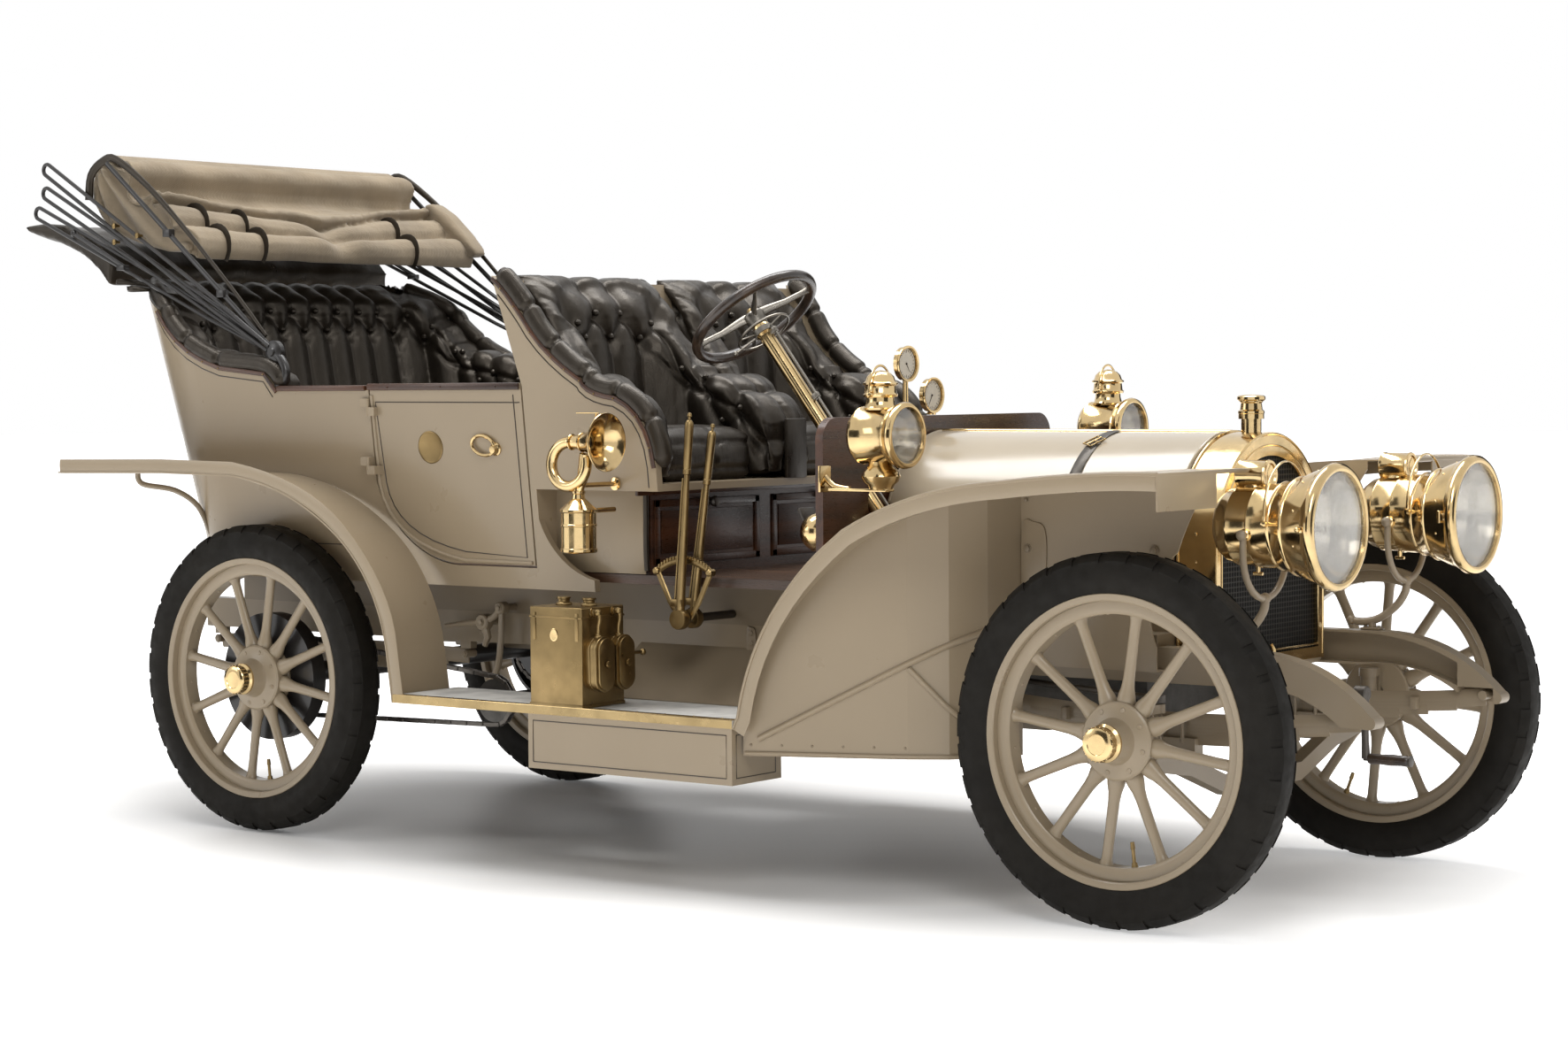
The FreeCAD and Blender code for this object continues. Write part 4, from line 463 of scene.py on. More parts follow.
class Stock:
    """Material being shaped into one piece."""

    def __init__(self) -> None:
        """Starts with nothing on the bench."""
        self.bm = bmesh.new()

    def _mark(self) -> set:
        """The vertices that are there before a shaping step."""
        return set(self.bm.verts)

    def _fresh(self, before: set) -> list:
        """The vertices that a shaping step added."""
        return [vert for vert in self.bm.verts if vert not in before]

    def turned(self, profile: Iterable[Flat], at: Sequence[float], axis: Sequence[float] = Axis.FORWARD.value,
               segments: int = 48) -> list:
        """Turns a profile about an axis.

        Args:
            profile: pairs of distance along the axis and radius.
            at: a point on the axis from which distances count.
            axis: direction of the axis.
            segments: facets round.

        Returns:
            The new vertices.
        """
        before = self._mark()
        line = [self.bm.verts.new((along, radius, 0.0)) for along, radius in profile]
        edges = [self.bm.edges.new(pair) for pair in zip(line, line[1:])]
        bmesh.ops.spin(self.bm, geom=line + edges, cent=(0.0, 0.0, 0.0), axis=(1.0, 0.0, 0.0), angle=math.tau,
                       steps=segments, use_merge=True, use_normal_flip=False, use_duplicate=False)
        bmesh.ops.remove_doubles(self.bm, verts=self._fresh(before), dist=1e-5)
        fresh = self._fresh(before)
        self._outward(fresh)
        bmesh.ops.transform(self.bm, matrix=facing(axis, at), verts=fresh)
        return fresh

    def _outward(self, verts: list) -> None:
        """Points the faces of new vertices outwards."""
        faces = list({face for vert in verts for face in vert.link_faces})
        bmesh.ops.recalc_face_normals(self.bm, faces=faces)

    def pipe(self, path: Sequence[Sequence[float]], radius: float | Sequence[float], sides: int = 10, closed: bool = False,
             flat: float = 1.0, lean: Sequence[float] = (0.0, 0.0, 1.0)) -> list:
        """Sweeps a round or oval section along a path.

        Args:
            path: middle line.
            radius: half width, one value or one for each point.
            sides: facets round.
            closed: whether the end joins the start.
            flat: thickness over width; the thin way lies along lean.
            lean: direction of the section's thin way at the start.

        Returns:
            The new vertices.
        """
        before = self._mark()
        line = [Vector(point) for point in path]
        count = len(line)
        radii = [radius] * count if isinstance(radius, (int, float)) else list(radius)
        frames: list[Matrix] = []
        thin = Vector(lean).normalized()
        for index, here in enumerate(line):
            if closed:
                run = line[(index + 1) % count] - line[index - 1]
            else:
                run = line[min(index + 1, count - 1)] - line[max(index - 1, 0)]
            run.normalize()
            thin = thin - run * thin.dot(run)
            if thin.length < 1e-4:
                thin = run.orthogonal()
            thin.normalize()
            wide = thin.cross(run)
            size = radii[index]
            basis = Matrix((wide * size, thin * size * flat, run)).transposed().to_4x4()
            frames.append(Matrix.Translation(here) @ basis)
        ring = bmesh.ops.create_circle(self.bm, cap_ends=False, radius=1.0, segments=sides, matrix=frames[0])["verts"]
        first = list(ring)
        edges = [edge for edge in self.bm.edges if edge.verts[0] in set(ring) and edge.verts[1] in set(ring)]
        start_edges = list(edges)
        for index in range(1, count):
            grown = bmesh.ops.extrude_edge_only(self.bm, edges=edges)["geom"]
            verts = [item for item in grown if isinstance(item, bmesh.types.BMVert)]
            edges = [item for item in grown if isinstance(item, bmesh.types.BMEdge)
                     and item.verts[0] in set(verts) and item.verts[1] in set(verts)]
            bmesh.ops.transform(self.bm, matrix=frames[index] @ frames[index - 1].inverted(), verts=verts)
        if closed:
            bmesh.ops.bridge_loops(self.bm, edges=start_edges + edges)
        else:
            bmesh.ops.contextual_create(self.bm, geom=start_edges)
            bmesh.ops.contextual_create(self.bm, geom=edges)
        fresh = self._fresh(before)
        self._outward(fresh)
        return fresh

    def bar(self, start: Sequence[float], end: Sequence[float], radius: float, end_radius: float | None = None, sides: int = 16) -> list:
        """Round bar between two points with eased ends.

        Args:
            start: middle of one end.
            end: middle of the other.
            radius: radius at the start.
            end_radius: radius at the end, or None for the same.
            sides: facets round.

        Returns:
            The new vertices.
        """
        run = Vector(end) - Vector(start)
        last = radius if end_radius is None else end_radius
        ease = min(0.0012, radius * 0.2, last * 0.2, run.length * 0.2)
        profile = ((0.0, 0.0), (0.0, radius - ease), (ease, radius), (run.length - ease, last), (run.length, last - ease), (run.length, 0.0))
        return self.turned(profile, start, run, sides)

    def ball(self, at: Sequence[float], radius: float, squash: Point = (1.0, 1.0, 1.0), sides: int = 20) -> list:
        """Ball or bulb about a point.

        Args:
            at: its middle.
            radius: its size.
            squash: factor along each axis.
            sides: facets round.

        Returns:
            The new vertices.
        """
        matrix = Matrix.Translation(Vector(at)) @ Matrix.Diagonal((*squash, 1.0))
        return bmesh.ops.create_uvsphere(self.bm, u_segments=sides, v_segments=sides // 2, radius=radius, matrix=matrix)["verts"]

    def block(self, low: Sequence[float], high: Sequence[float], ease: float = 0.002, turn: Matrix | None = None, segments: int = 2) -> list:
        """Block between two corners with eased edges.

        Args:
            low: lowest corner.
            high: highest corner.
            ease: radius of its edges.
            turn: placement applied afterwards, or None.
            segments: facets across an edge.

        Returns:
            The new vertices.
        """
        before = self._mark()
        middle = (Vector(low) + Vector(high)) / 2
        size = Vector(high) - Vector(low)
        matrix = Matrix.Translation(middle) @ Matrix.Diagonal((*size, 1.0))
        made = bmesh.ops.create_cube(self.bm, size=1.0, matrix=matrix)["verts"]
        if ease > 0.0:
            edges = list({edge for vert in made for edge in vert.link_edges})
            bmesh.ops.bevel(self.bm, geom=edges, offset=min(ease, min(size) * 0.45), offset_type="OFFSET", segments=segments,
                            profile=0.5, affect="EDGES", material=-1, clamp_overlap=True)
        fresh = self._fresh(before)
        if turn is not None:
            bmesh.ops.transform(self.bm, matrix=turn, verts=fresh)
        return fresh

    def ring(self, at: Sequence[float], axis: Sequence[float], radius: float, section: float, segments: int = 48, sides: int = 10) -> list:
        """Ring of round bar about an axis.

        Args:
            at: its middle.
            axis: direction of its axis.
            radius: radius of the middle line.
            section: radius of the bar.
            segments: facets round the ring.
            sides: facets round the bar.

        Returns:
            The new vertices.
        """
        profile = [(section * math.sin(step * math.tau / sides), radius + section * math.cos(step * math.tau / sides)) for step in range(sides)]
        return self.turned(profile + profile[:1], at, axis, segments)

    def slab(self, outline: Sequence[Sequence[float]], run: Sequence[float], ease: float = 0.001) -> list:
        """Flat plate cut to an outline.

        Args:
            outline: corners in order.
            run: thickness as a vector.
            ease: radius of its edges.

        Returns:
            The new vertices.
        """
        before = self._mark()
        corners = [self.bm.verts.new(corner) for corner in outline]
        face = self.bm.faces.new(corners)
        grown = bmesh.ops.extrude_face_region(self.bm, geom=[face])["geom"]
        bmesh.ops.translate(self.bm, vec=Vector(run), verts=[item for item in grown if isinstance(item, bmesh.types.BMVert)])
        fresh = self._fresh(before)
        self._outward(fresh)
        if ease > 0.0:
            edges = [edge for edge in {edge for vert in fresh for edge in vert.link_edges}
                     if len(edge.link_faces) == 2 and edge.calc_face_angle(0.0) > 0.6]
            bmesh.ops.bevel(self.bm, geom=edges, offset=ease, offset_type="OFFSET", segments=2, profile=0.5, affect="EDGES",
                            material=-1, clamp_overlap=True)
        return self._fresh(before)

    def bolt(self, at: Sequence[float], axis: Sequence[float], radius: float = 0.007, height: float = 0.006) -> list:
        """Hexagon head on a washer.

        Args:
            at: middle of its seat.
            axis: direction in which it stands out.
            radius: across its corners, halved.
            height: head height.

        Returns:
            The new vertices.
        """
        washer = self.turned(((0.0, 0.0), (0.0, radius * 1.35), (height * 0.25, radius * 1.3), (height * 0.25, 0.0)), at, axis, 16)
        profile = ((0.0, 0.0), (0.0, radius), (height * 0.85, radius), (height, radius * 0.8), (height, 0.0))
        return washer + self.turned(profile, at, axis, 6)

    def rivet(self, at: Sequence[float], axis: Sequence[float], radius: float = 0.005) -> list:
        """Round rivet head.

        Args:
            at: middle of its seat.
            axis: direction in which it stands out.
            radius: head radius.

        Returns:
            The new vertices.
        """
        profile = ((-0.001, 0.0), (-0.001, radius), (radius * 0.3, radius * 0.85), (radius * 0.55, radius * 0.45), (radius * 0.6, 0.0))
        return self.turned(profile, at, axis, 10)

    def moved(self, matrix: Matrix, verts: list | None = None) -> None:
        """Moves everything, or some vertices, by a matrix."""
        bmesh.ops.transform(self.bm, matrix=matrix, verts=verts or list(self.bm.verts))

    def without(self, tool: "Stock", how: str = "DIFFERENCE") -> "Stock":
        """Cuts another stock out of this one, or keeps what they share.

        Args:
            tool: the other stock.
            how: DIFFERENCE or INTERSECT.

        Returns:
            What is left.
        """
        pair = []
        for name, stock in (("kept", self), ("tool", tool)):
            bmesh.ops.recalc_face_normals(stock.bm, faces=stock.bm.faces)
            mesh = bpy.data.meshes.new(name)
            stock.bm.to_mesh(mesh)
            pair.append(bpy.data.objects.new(name, mesh))
            bpy.context.scene.collection.objects.link(pair[-1])
        modifier = pair[0].modifiers.new("cut", "BOOLEAN")
        modifier.operation, modifier.solver, modifier.object = how, "EXACT", pair[1]
        mesh = bpy.data.meshes.new_from_object(pair[0].evaluated_get(bpy.context.evaluated_depsgraph_get()))
        left = Stock()
        left.bm.from_mesh(mesh)
        for item in pair:
            bpy.data.objects.remove(item)
        return left

    def wrapped(self, node: str) -> "Stock":
        """Adds the convex wrap of a frame node.

        Args:
            node: the node's name.

        Returns:
            This stock.
        """
        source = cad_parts[node]
        self.bm.from_mesh(source.data)
        bmesh.ops.transform(self.bm, matrix=source.matrix_world, verts=self.bm.verts)
        bmesh.ops.remove_doubles(self.bm, verts=self.bm.verts, dist=0.00001)
        bmesh.ops.delete(self.bm, geom=list(self.bm.edges) + list(self.bm.faces), context="EDGES_FACES")
        wrap = bmesh.ops.convex_hull(self.bm, input=self.bm.verts)
        spare = [item for item in wrap["geom_interior"] + wrap["geom_unused"] if isinstance(item, bmesh.types.BMVert)]
        bmesh.ops.delete(self.bm, geom=list(set(spare)), context="VERTS")
        return self

    def mirrored(self) -> None:
        """Adds a mirror image on the car's other side."""
        before = self._mark()
        bmesh.ops.duplicate(self.bm, geom=list(self.bm.verts) + list(self.bm.edges) + list(self.bm.faces))
        fresh = self._fresh(before)
        bmesh.ops.scale(self.bm, vec=(1.0, -1.0, 1.0), verts=fresh)
        bmesh.ops.reverse_faces(self.bm, faces=list({face for vert in fresh for face in vert.link_faces}))

    def piece(self, name: str, finish: Finish, body: str = "car", stands_for: Sequence[str] = (), sharp: float = 0.6,
              placed: Matrix | None = None) -> bpy.types.Object:
        """Finishes the stock as one object.

        Args:
            name: the piece's name.
            finish: its surface.
            body: the body that it rides on.
            stands_for: frame nodes that it replaces.
            sharp: edges that bend more than this stay crisp, in radians.
            placed: placement for a copy of the stock, or None.

        Returns:
            The new object.
        """
        work = self.bm.copy()
        if placed is not None:
            bmesh.ops.transform(work, matrix=placed, verts=list(work.verts))
            if placed.determinant() < 0:
                bmesh.ops.reverse_faces(work, faces=list(work.faces))
        for face in work.faces:
            face.smooth = True
        for edge in work.edges:
            edge.smooth = len(edge.link_faces) == 2 and edge.calc_face_angle(0.0) < sharp
        mesh = bpy.data.meshes.new(name)
        work.to_mesh(mesh)
        work.free()
        return finished(mesh, name, finish, body, stands_for)


def finished(mesh: bpy.types.Mesh, name: str, finish: Finish, body: str, stands_for: Sequence[str] = ()) -> bpy.types.Object:
    """Turns a mesh into a dressed object that rides on a body.

    Args:
        mesh: the shape, in the row's place.
        name: the piece's name.
        finish: its surface.
        body: the body that it rides on.
        stands_for: frame nodes that it replaces.

    Returns:
        The new object.
    """
    made = bpy.data.objects.new(name, mesh)
    bpy.context.scene.collection.objects.link(made)
    mesh.materials.append(finish.material())
    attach(made, body)
    if stands_for:
        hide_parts(*stands_for)
    LOG.info("%s: %d faces on %s", name, len(mesh.polygons), body)
    return made


class Skin:
    """Surface of frame nodes, for laying lines and fittings on."""

    def __init__(self, *nodes: str) -> None:
        """Reads the nodes' faces.

        Args:
            nodes: names of frame nodes.
        """
        gathered = bmesh.new()
        for node in nodes:
            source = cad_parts[node]
            part = bmesh.new()
            part.from_mesh(source.data)
            part.transform(source.matrix_world)
            spare = bpy.data.meshes.new("spare")
            part.to_mesh(spare)
            part.free()
            gathered.from_mesh(spare)
            bpy.data.meshes.remove(spare)
        self.tree = BVHTree.FromBMesh(gathered)
        gathered.free()

    def touch(self, start: Sequence[float], aim: Sequence[float]) -> tuple[Vector, Vector] | None:
        """First point that a straight look meets.

        Args:
            start: where it starts.
            aim: its direction.

        Returns:
            The point and its outward normal, or None.
        """
        aim = Vector(aim)
        at, normal, _, _ = self.tree.ray_cast(Vector(start), aim)
        if at is None:
            return None
        return at, (-normal if normal.dot(aim) > 0 else normal)

    def drape(self, path: Sequence[Flat], side: Side, proud: float) -> list[Vector]:
        """Lays a side-view path on the surface.

        Args:
            path: pairs of X and Z.
            side: the side it lies on.
            proud: height above the surface.

        Returns:
            The points that met the surface.
        """
        laid = []
        for x, z in path:
            met = self.touch((x, side.value * 1.6, z), (0.0, -side.value, 0.0))
            if met:
                laid.append(met[0] + met[1] * proud)
        return laid


# ---------------------------------------------------------------- studio
@dataclass
class Studio:
    """Camera, lights, floor and the light that comes from all round."""

    eye: Point = (5.69551, -7.17621, 1.33788)
    yaw: float = 0.64759
    pitch: float = 0.0459
    roll: float = -0.00754
    lens: float = 71.723
    sky: float = 0.17
    clear: Flat = (0.8, 2.0)

    def camera(self) -> None:
        """Sets the camera at the portrait's viewing angle."""
        ahead = Vector((-math.sin(self.yaw) * math.cos(self.pitch), math.cos(self.yaw) * math.cos(self.pitch), -math.sin(self.pitch)))
        right = Vector((math.cos(self.yaw), math.sin(self.yaw), 0.0))
        over = right.cross(ahead)
        side = right * math.cos(self.roll) + over * math.sin(self.roll)
        over = over * math.cos(self.roll) - right * math.sin(self.roll)
        data = bpy.data.cameras.new("camera")
        data.lens, data.sensor_width, data.clip_end = self.lens, 36.0, 200.0
        made = bpy.data.objects.new("camera", data)
        made.matrix_world = Matrix.Translation(Vector(self.eye)) @ Matrix((side, over, -ahead)).transposed().to_4x4()
        bpy.context.scene.collection.objects.link(made)
        bpy.context.scene.camera = made

    def lamp(self, name: str, at: Point, aim: Point, size: Flat, power: float) -> None:
        """Hangs a soft rectangular light.

        Args:
            name: its name.
            at: where it hangs.
            aim: what it points at.
            size: width and height.
            power: watts.
        """
        data = bpy.data.lights.new(name, "AREA")
        data.shape, data.energy = "RECTANGLE", power
        data.size, data.size_y = size
        made = bpy.data.objects.new(name, data)
        made.matrix_world = Matrix.Translation(Vector(at)) @ (Vector(at) - Vector(aim)).to_track_quat("Z", "Y").to_matrix().to_4x4()
        bpy.context.scene.collection.objects.link(made)

    def sheet(self, name: str, colour: Point, size: float) -> bpy.types.Object:
        """Lays a flat square under or beside the car.

        Args:
            name: its name.
            colour: its colour.
            size: half its width.

        Returns:
            The new object.
        """
        stock = bmesh.new()
        bmesh.ops.create_grid(stock, x_segments=2, y_segments=2, size=size)
        mesh = bpy.data.meshes.new(name)
        stock.to_mesh(mesh)
        stock.free()
        made = bpy.data.objects.new(name, mesh)
        graph = Graph(name)
        graph.set(Base_Color=colour, Roughness=0.42, Specular_IOR_Level=0.25)
        mesh.materials.append(graph.material)
        bpy.context.scene.collection.objects.link(made)
        return made

    def room(self) -> None:
        """Lays the floor and hangs dark flags that only shiny things see."""
        floor = self.sheet("studio_floor", (0.90, 0.89, 0.875), 60.0)
        self.glow_far_floor(floor)
        flags = (("flag_front", (9.5, -2.0, 1.6), (0.0, math.radians(90), 0.0), 3.0), ("flag_side", (-1.5, -10.5, 1.7), (math.radians(90), 0.0, 0.0), 3.2),
                 ("flag_far", (1.0, 9.5, 2.2), (math.radians(90), 0.0, 0.0), 3.4), ("flag_rear", (-9.0, -1.0, 1.8), (0.0, math.radians(90), 0.0), 3.0),
                 ("flag_high", (2.5, -7.5, 6.5), (math.radians(52), 0.0, math.radians(-20)), 2.0))
        for name, at, turn, size in flags:
            flag = self.sheet(name, (0.03, 0.028, 0.025), size)
            flag.location = at
            flag.rotation_euler = turn
            flag.visible_camera = flag.visible_diffuse = flag.visible_shadow = flag.visible_transmission = False

    def glow_far_floor(self, floor: bpy.types.Object) -> None:
        """Painted light: lets the floor glow plain white by its own emission away from the car.

        Args:
            floor: the floor sheet.
        """
        tree = floor.data.materials[0].node_tree
        shader = next(node for node in tree.nodes if node.type == "BSDF_PRINCIPLED")
        place = tree.nodes.new("ShaderNodeTexCoord")
        squash = tree.nodes.new("ShaderNodeMapping")
        squash.inputs["Scale"].default_value = (0.62, 1.0, 1.0)
        away = tree.nodes.new("ShaderNodeVectorMath")
        away.operation = "LENGTH"
        # Painted light: the floor's emission grows from nothing near the car to full white further out.
        glow = tree.nodes.new("ShaderNodeMapRange")
        glow.interpolation_type = "SMOOTHSTEP"
        glow.inputs["From Min"].default_value, glow.inputs["From Max"].default_value = self.clear
        glow.inputs["To Min"].default_value, glow.inputs["To Max"].default_value = 0.0, 1.0
        tree.links.new(place.outputs["Object"], squash.inputs[0])
        tree.links.new(squash.outputs[0], away.inputs[0])
        tree.links.new(away.outputs["Value"], glow.inputs[0])
        tree.links.new(glow.outputs[0], shader.inputs["Emission Strength"])
        shader.inputs["Emission Color"].default_value = (1.0, 1.0, 1.0, 1.0)

    def light(self) -> None:
        """Lights the car from above and in front, with white all round."""
        self.lamp("key", (4.6, -5.2, 5.6), (0.3, 0.0, 0.7), (3.2, 3.2), 175.0)
        self.lamp("over", (-0.6, 0.3, 6.2), (-0.2, 0.0, 0.6), (6.5, 2.4), 430.0)
        self.lamp("fill", (-6.0, -6.5, 3.6), (-0.5, 0.0, 0.7), (3.0, 2.6), 60.0)
        world = bpy.data.worlds.new("studio_air")
        world.use_nodes = True
        bpy.context.scene.world = world
        tree = world.node_tree
        tree.nodes.clear()
        out = tree.nodes.new("ShaderNodeOutputWorld")
        mix = tree.nodes.new("ShaderNodeMixShader")
        seen = tree.nodes.new("ShaderNodeBackground")
        lit = tree.nodes.new("ShaderNodeBackground")
        seen.inputs["Color"].default_value = lit.inputs["Color"].default_value = (1.0, 1.0, 1.0, 1.0)
        lit.inputs["Strength"].default_value = self.sky
        rays = tree.nodes.new("ShaderNodeLightPath")
        factor = rays.outputs["Is Camera Ray"]
        for other in ("Is Glossy Ray", "Is Transmission Ray"):
            either = tree.nodes.new("ShaderNodeMath")
            either.operation = "MAXIMUM"
            tree.links.new(factor, either.inputs[0])
            tree.links.new(rays.outputs[other], either.inputs[1])
            factor = either.outputs[0]
        tree.links.new(factor, mix.inputs[0])
        tree.links.new(lit.outputs[0], mix.inputs[1])
        tree.links.new(seen.outputs[0], mix.inputs[2])
        tree.links.new(mix.outputs[0], out.inputs[0])

    def build(self) -> None:
        """Sets up the whole studio."""
        bpy.context.scene.view_settings.view_transform = "Standard"
        self.camera()
        self.room()
        self.light()


NODE_FINISH: dict[str, Finish] = {
    "bonnet_hinge": BRASS, "bonnet_left": LIT_BONNET_PAINT, "bonnet_right": LIT_BONNET_PAINT, "bonnet_sides": PAINT,
    "chassis_frame": FRAME_PAINT, "dash": MAHOGANY_ACROSS, "dash_gauges": BRASS, "door_left": PAINT, "door_right": PAINT,
    "drag_link": DARK_STEEL, "drive_chains": DARK_STEEL, "drive_drum_left": IRON, "drive_drum_right": IRON,
    "driver_controls": OLD_BRASS, "drop_arm": DARK_STEEL, "engine_block": CASTING, "floor": BOARDS,
    "front_axle": FRAME_PAINT, "front_body": PAINT, "front_mudguards": PAINT, "front_seat_backs": HIDE,
    "front_seat_cushions": HIDE, "gas_generator": OLD_BRASS, "gearbox": CASTING, "headlamp_brackets": FRAME_PAINT,
    "headlamps": BRASS, "hood_cloth": CANVAS, "hood_flap": HIDE, "hood_irons": IRON, "horn": BRASS, "lamp_glasses": GLASS,
    "leaf_springs": FRAME_PAINT, "radiator_core": CORE, "radiator_shell": BRASS, "rear_axle": IRON, "rear_body": PAINT,
    "rear_mudguards": PAINT, "rear_seat_back": HIDE, "rear_seat_cushion": HIDE, "running_boards": TREADING,
    "seat_boxes": MAHOGANY_ACROSS, "side_lamps": BRASS, "silencer": IRON, "starting_crank": STEEL, "steering_column": BRASS,
    "steering_knuckle_left": FRAME_PAINT, "steering_knuckle_right": FRAME_PAINT, "steering_wheel": RIM_WOOD,
    "tie_rod": DARK_STEEL, "tyre_front_left": TYRE, "tyre_front_right": TYRE, "tyre_rear_left": TYRE,
    "tyre_rear_right": TYRE, "underslung_boxes": PAINT, "wheel_front_left": WHEEL_PAINT, "wheel_front_right": WHEEL_PAINT,
    "wheel_rear_left": WHEEL_PAINT, "wheel_rear_right": WHEEL_PAINT, "wooden_sills": SILL_PAINT,
}


def dress_frame() -> None:
    """Gives every frame node its finish."""
    for name, finish in NODE_FINISH.items():
        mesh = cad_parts[name].data
        mesh.materials.clear()
        mesh.materials.append(finish.material())
    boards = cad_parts["running_boards"].data
    boards.materials.append(BOARD_EDGE.material())
    for face in boards.polygons:
        if abs(face.normal.y) > 0.9 and abs(face.center.y) > 0.8:
            face.material_index = 1


# ---------------------------------------------------------------- wheels
@dataclass
class RoadWheel:
    """Wooden artillery wheel with a block-tread tyre; local X points outwards."""

    tyre_radius: float = 0.460
    spokes: int = 12
    segments: int = 144
    tread_group: int = 4
    hub_end: float = 0.078

    def tyre(self) -> Stock:
        """Shapes the tyre and raises its shoulder blocks."""
        stock = Stock()
        top = self.tyre_radius - 0.0035
        half = [(0.0, top), (0.018, top - 0.0006), (0.030, top - 0.003), (0.0315, top - 0.0065), (0.044, top - 0.014),
                (0.052, top - 0.026), (0.0585, top - 0.043), (0.0608, top - 0.060), (0.0585, top - 0.078),
                (0.053, top - 0.090), (0.048, top - 0.0975), (0.040, top - 0.112), (0.0, top - 0.1135)]
        profile = half + [(-along, radius) for along, radius in half[-2::-1]]
        stock.turned(profile, (0.0, 0.0, 0.0), segments=self.segments)
        raised = []
        for face in stock.bm.faces:
            middle = face.calc_center_median()
            radius = math.hypot(middle.y, middle.z)
            if 0.0316 < abs(middle.x) < 0.052 and radius > top - 0.027:
                turn = math.atan2(middle.z, middle.y) / math.tau * self.segments
                step = int(turn + self.segments * 2 + (self.tread_group // 2 if middle.x > 0 else 0))
                if step % self.tread_group:
                    raised.append(face)
        grown = bmesh.ops.extrude_face_region(stock.bm, geom=raised)["geom"]
        verts = [item for item in grown if isinstance(item, bmesh.types.BMVert)]
        bmesh.ops.scale(stock.bm, vec=(1.0, 1.0 + 0.0062 / top, 1.0 + 0.0062 / top), verts=verts)
        bmesh.ops.delete(stock.bm, geom=raised, context="FACES_ONLY")
        return stock

    def wood(self) -> Stock:
        """Shapes the felloe and the flared spokes."""
        stock = Stock()
        stock.turned(((-0.026, 0.311), (-0.022, 0.307), (0.022, 0.307), (0.026, 0.311), (0.028, 0.318), (0.028, 0.339),
                      (-0.028, 0.339), (-0.028, 0.318), (-0.026, 0.311)), (0.0, 0.0, 0.0), segments=96)
        stations = ((0.050, 0.013), (0.078, 0.0195), (0.096, 0.0245), (0.110, 0.0225), (0.128, 0.0175), (0.150, 0.0150), (0.200, 0.0142),
                    (0.262, 0.0136), (0.292, 0.0142), (0.302, 0.0165), (0.3085, 0.0205))
        for index in range(self.spokes):
            angle = (index + 0.5) * math.tau / self.spokes
            ray = Vector((0.0, math.cos(angle), math.sin(angle)))
            stock.pipe([ray * radius for radius, _ in stations], [width for _, width in stations], 14, flat=0.86, lean=(1.0, 0.0, 0.0))
        return stock

    def iron(self) -> Stock:
        """Shapes the rim channel, hub barrel, flanges and bolts."""
        stock = Stock()
        stock.turned(((-0.046, 0.3395), (0.046, 0.3395), (0.0485, 0.342), (0.0495, 0.350), (0.0500, 0.3565), (0.0480, 0.358), (0.0455, 0.3565),
                      (0.0448, 0.348), (0.0435, 0.3445), (-0.0435, 0.3445), (-0.0448, 0.348), (-0.0455, 0.3565),
                      (-0.0480, 0.358), (-0.0500, 0.3565), (-0.0495, 0.350), (-0.0485, 0.342), (-0.046, 0.3395)), (0.0, 0.0, 0.0), segments=120)
        end = self.hub_end
        stock.turned(((-0.036, 0.026), (-0.036, 0.060), (-0.030, 0.093), (-0.026, 0.0965), (-0.020, 0.0965), (-0.017, 0.094), (0.015, 0.094),
                      (0.018, 0.0965), (0.024, 0.0965), (0.028, 0.092), (0.031, 0.072), (0.036, 0.058), (0.046, 0.052), (end - 0.006, 0.047),
                      (end, 0.044), (end, 0.026), (-0.036, 0.026)), (0.0, 0.0, 0.0), segments=72)
        for index in range(8):
            angle = (index + 0.5) * math.tau / 8
            stock.bolt((0.0262, 0.079 * math.cos(angle), 0.079 * math.sin(angle)), Axis.FORWARD.value, 0.0068, 0.006)
        for index in range(self.spokes):
            angle = index * math.tau / self.spokes
            stock.rivet((0.0, 0.3075 * math.cos(angle), 0.3075 * math.sin(angle)), (0.0, -math.cos(angle), -math.sin(angle)), 0.0045)
        return stock

    def cap(self) -> Stock:
        """Shapes the brass hub cap with its knurled ring."""
        stock = Stock()
        end = self.hub_end
        stock.turned(((end - 0.004, 0.020), (end - 0.004, 0.0462), (end + 0.003, 0.0466), (end + 0.006, 0.0435), (end + 0.009, 0.0405),
                      (end + 0.024, 0.0398), (end + 0.027, 0.042), (end + 0.033, 0.042), (end + 0.036, 0.040), (end + 0.0385, 0.034),
                      (end + 0.0395, 0.026), (end + 0.0375, 0.0245), (end + 0.0375, 0.0), ), (0.0, 0.0, 0.0), segments=56)
        for index in range(24):
            angle = index * math.tau / 24
            stock.block((end + 0.0265, 0.0405, -0.0016), (end + 0.0335, 0.0432, 0.0016), 0.0005, Matrix.Rotation(angle, 4, "X"), 1)
        return stock

    def valve(self) -> Stock:
        """Shapes the valve stem inside the felloe."""
        stock = Stock()
        stock.bar((0.0, 0.0, -0.3085), (0.0, 0.0, -0.296), 0.0085, 0.0070)
        stock.bar((0.0, 0.0, -0.297), (0.0, 0.0, -0.262), 0.0045, 0.0045)
        stock.bar((0.0, 0.0, -0.264), (0.0, 0.0, -0.246), 0.0062, 0.0050)
        return stock

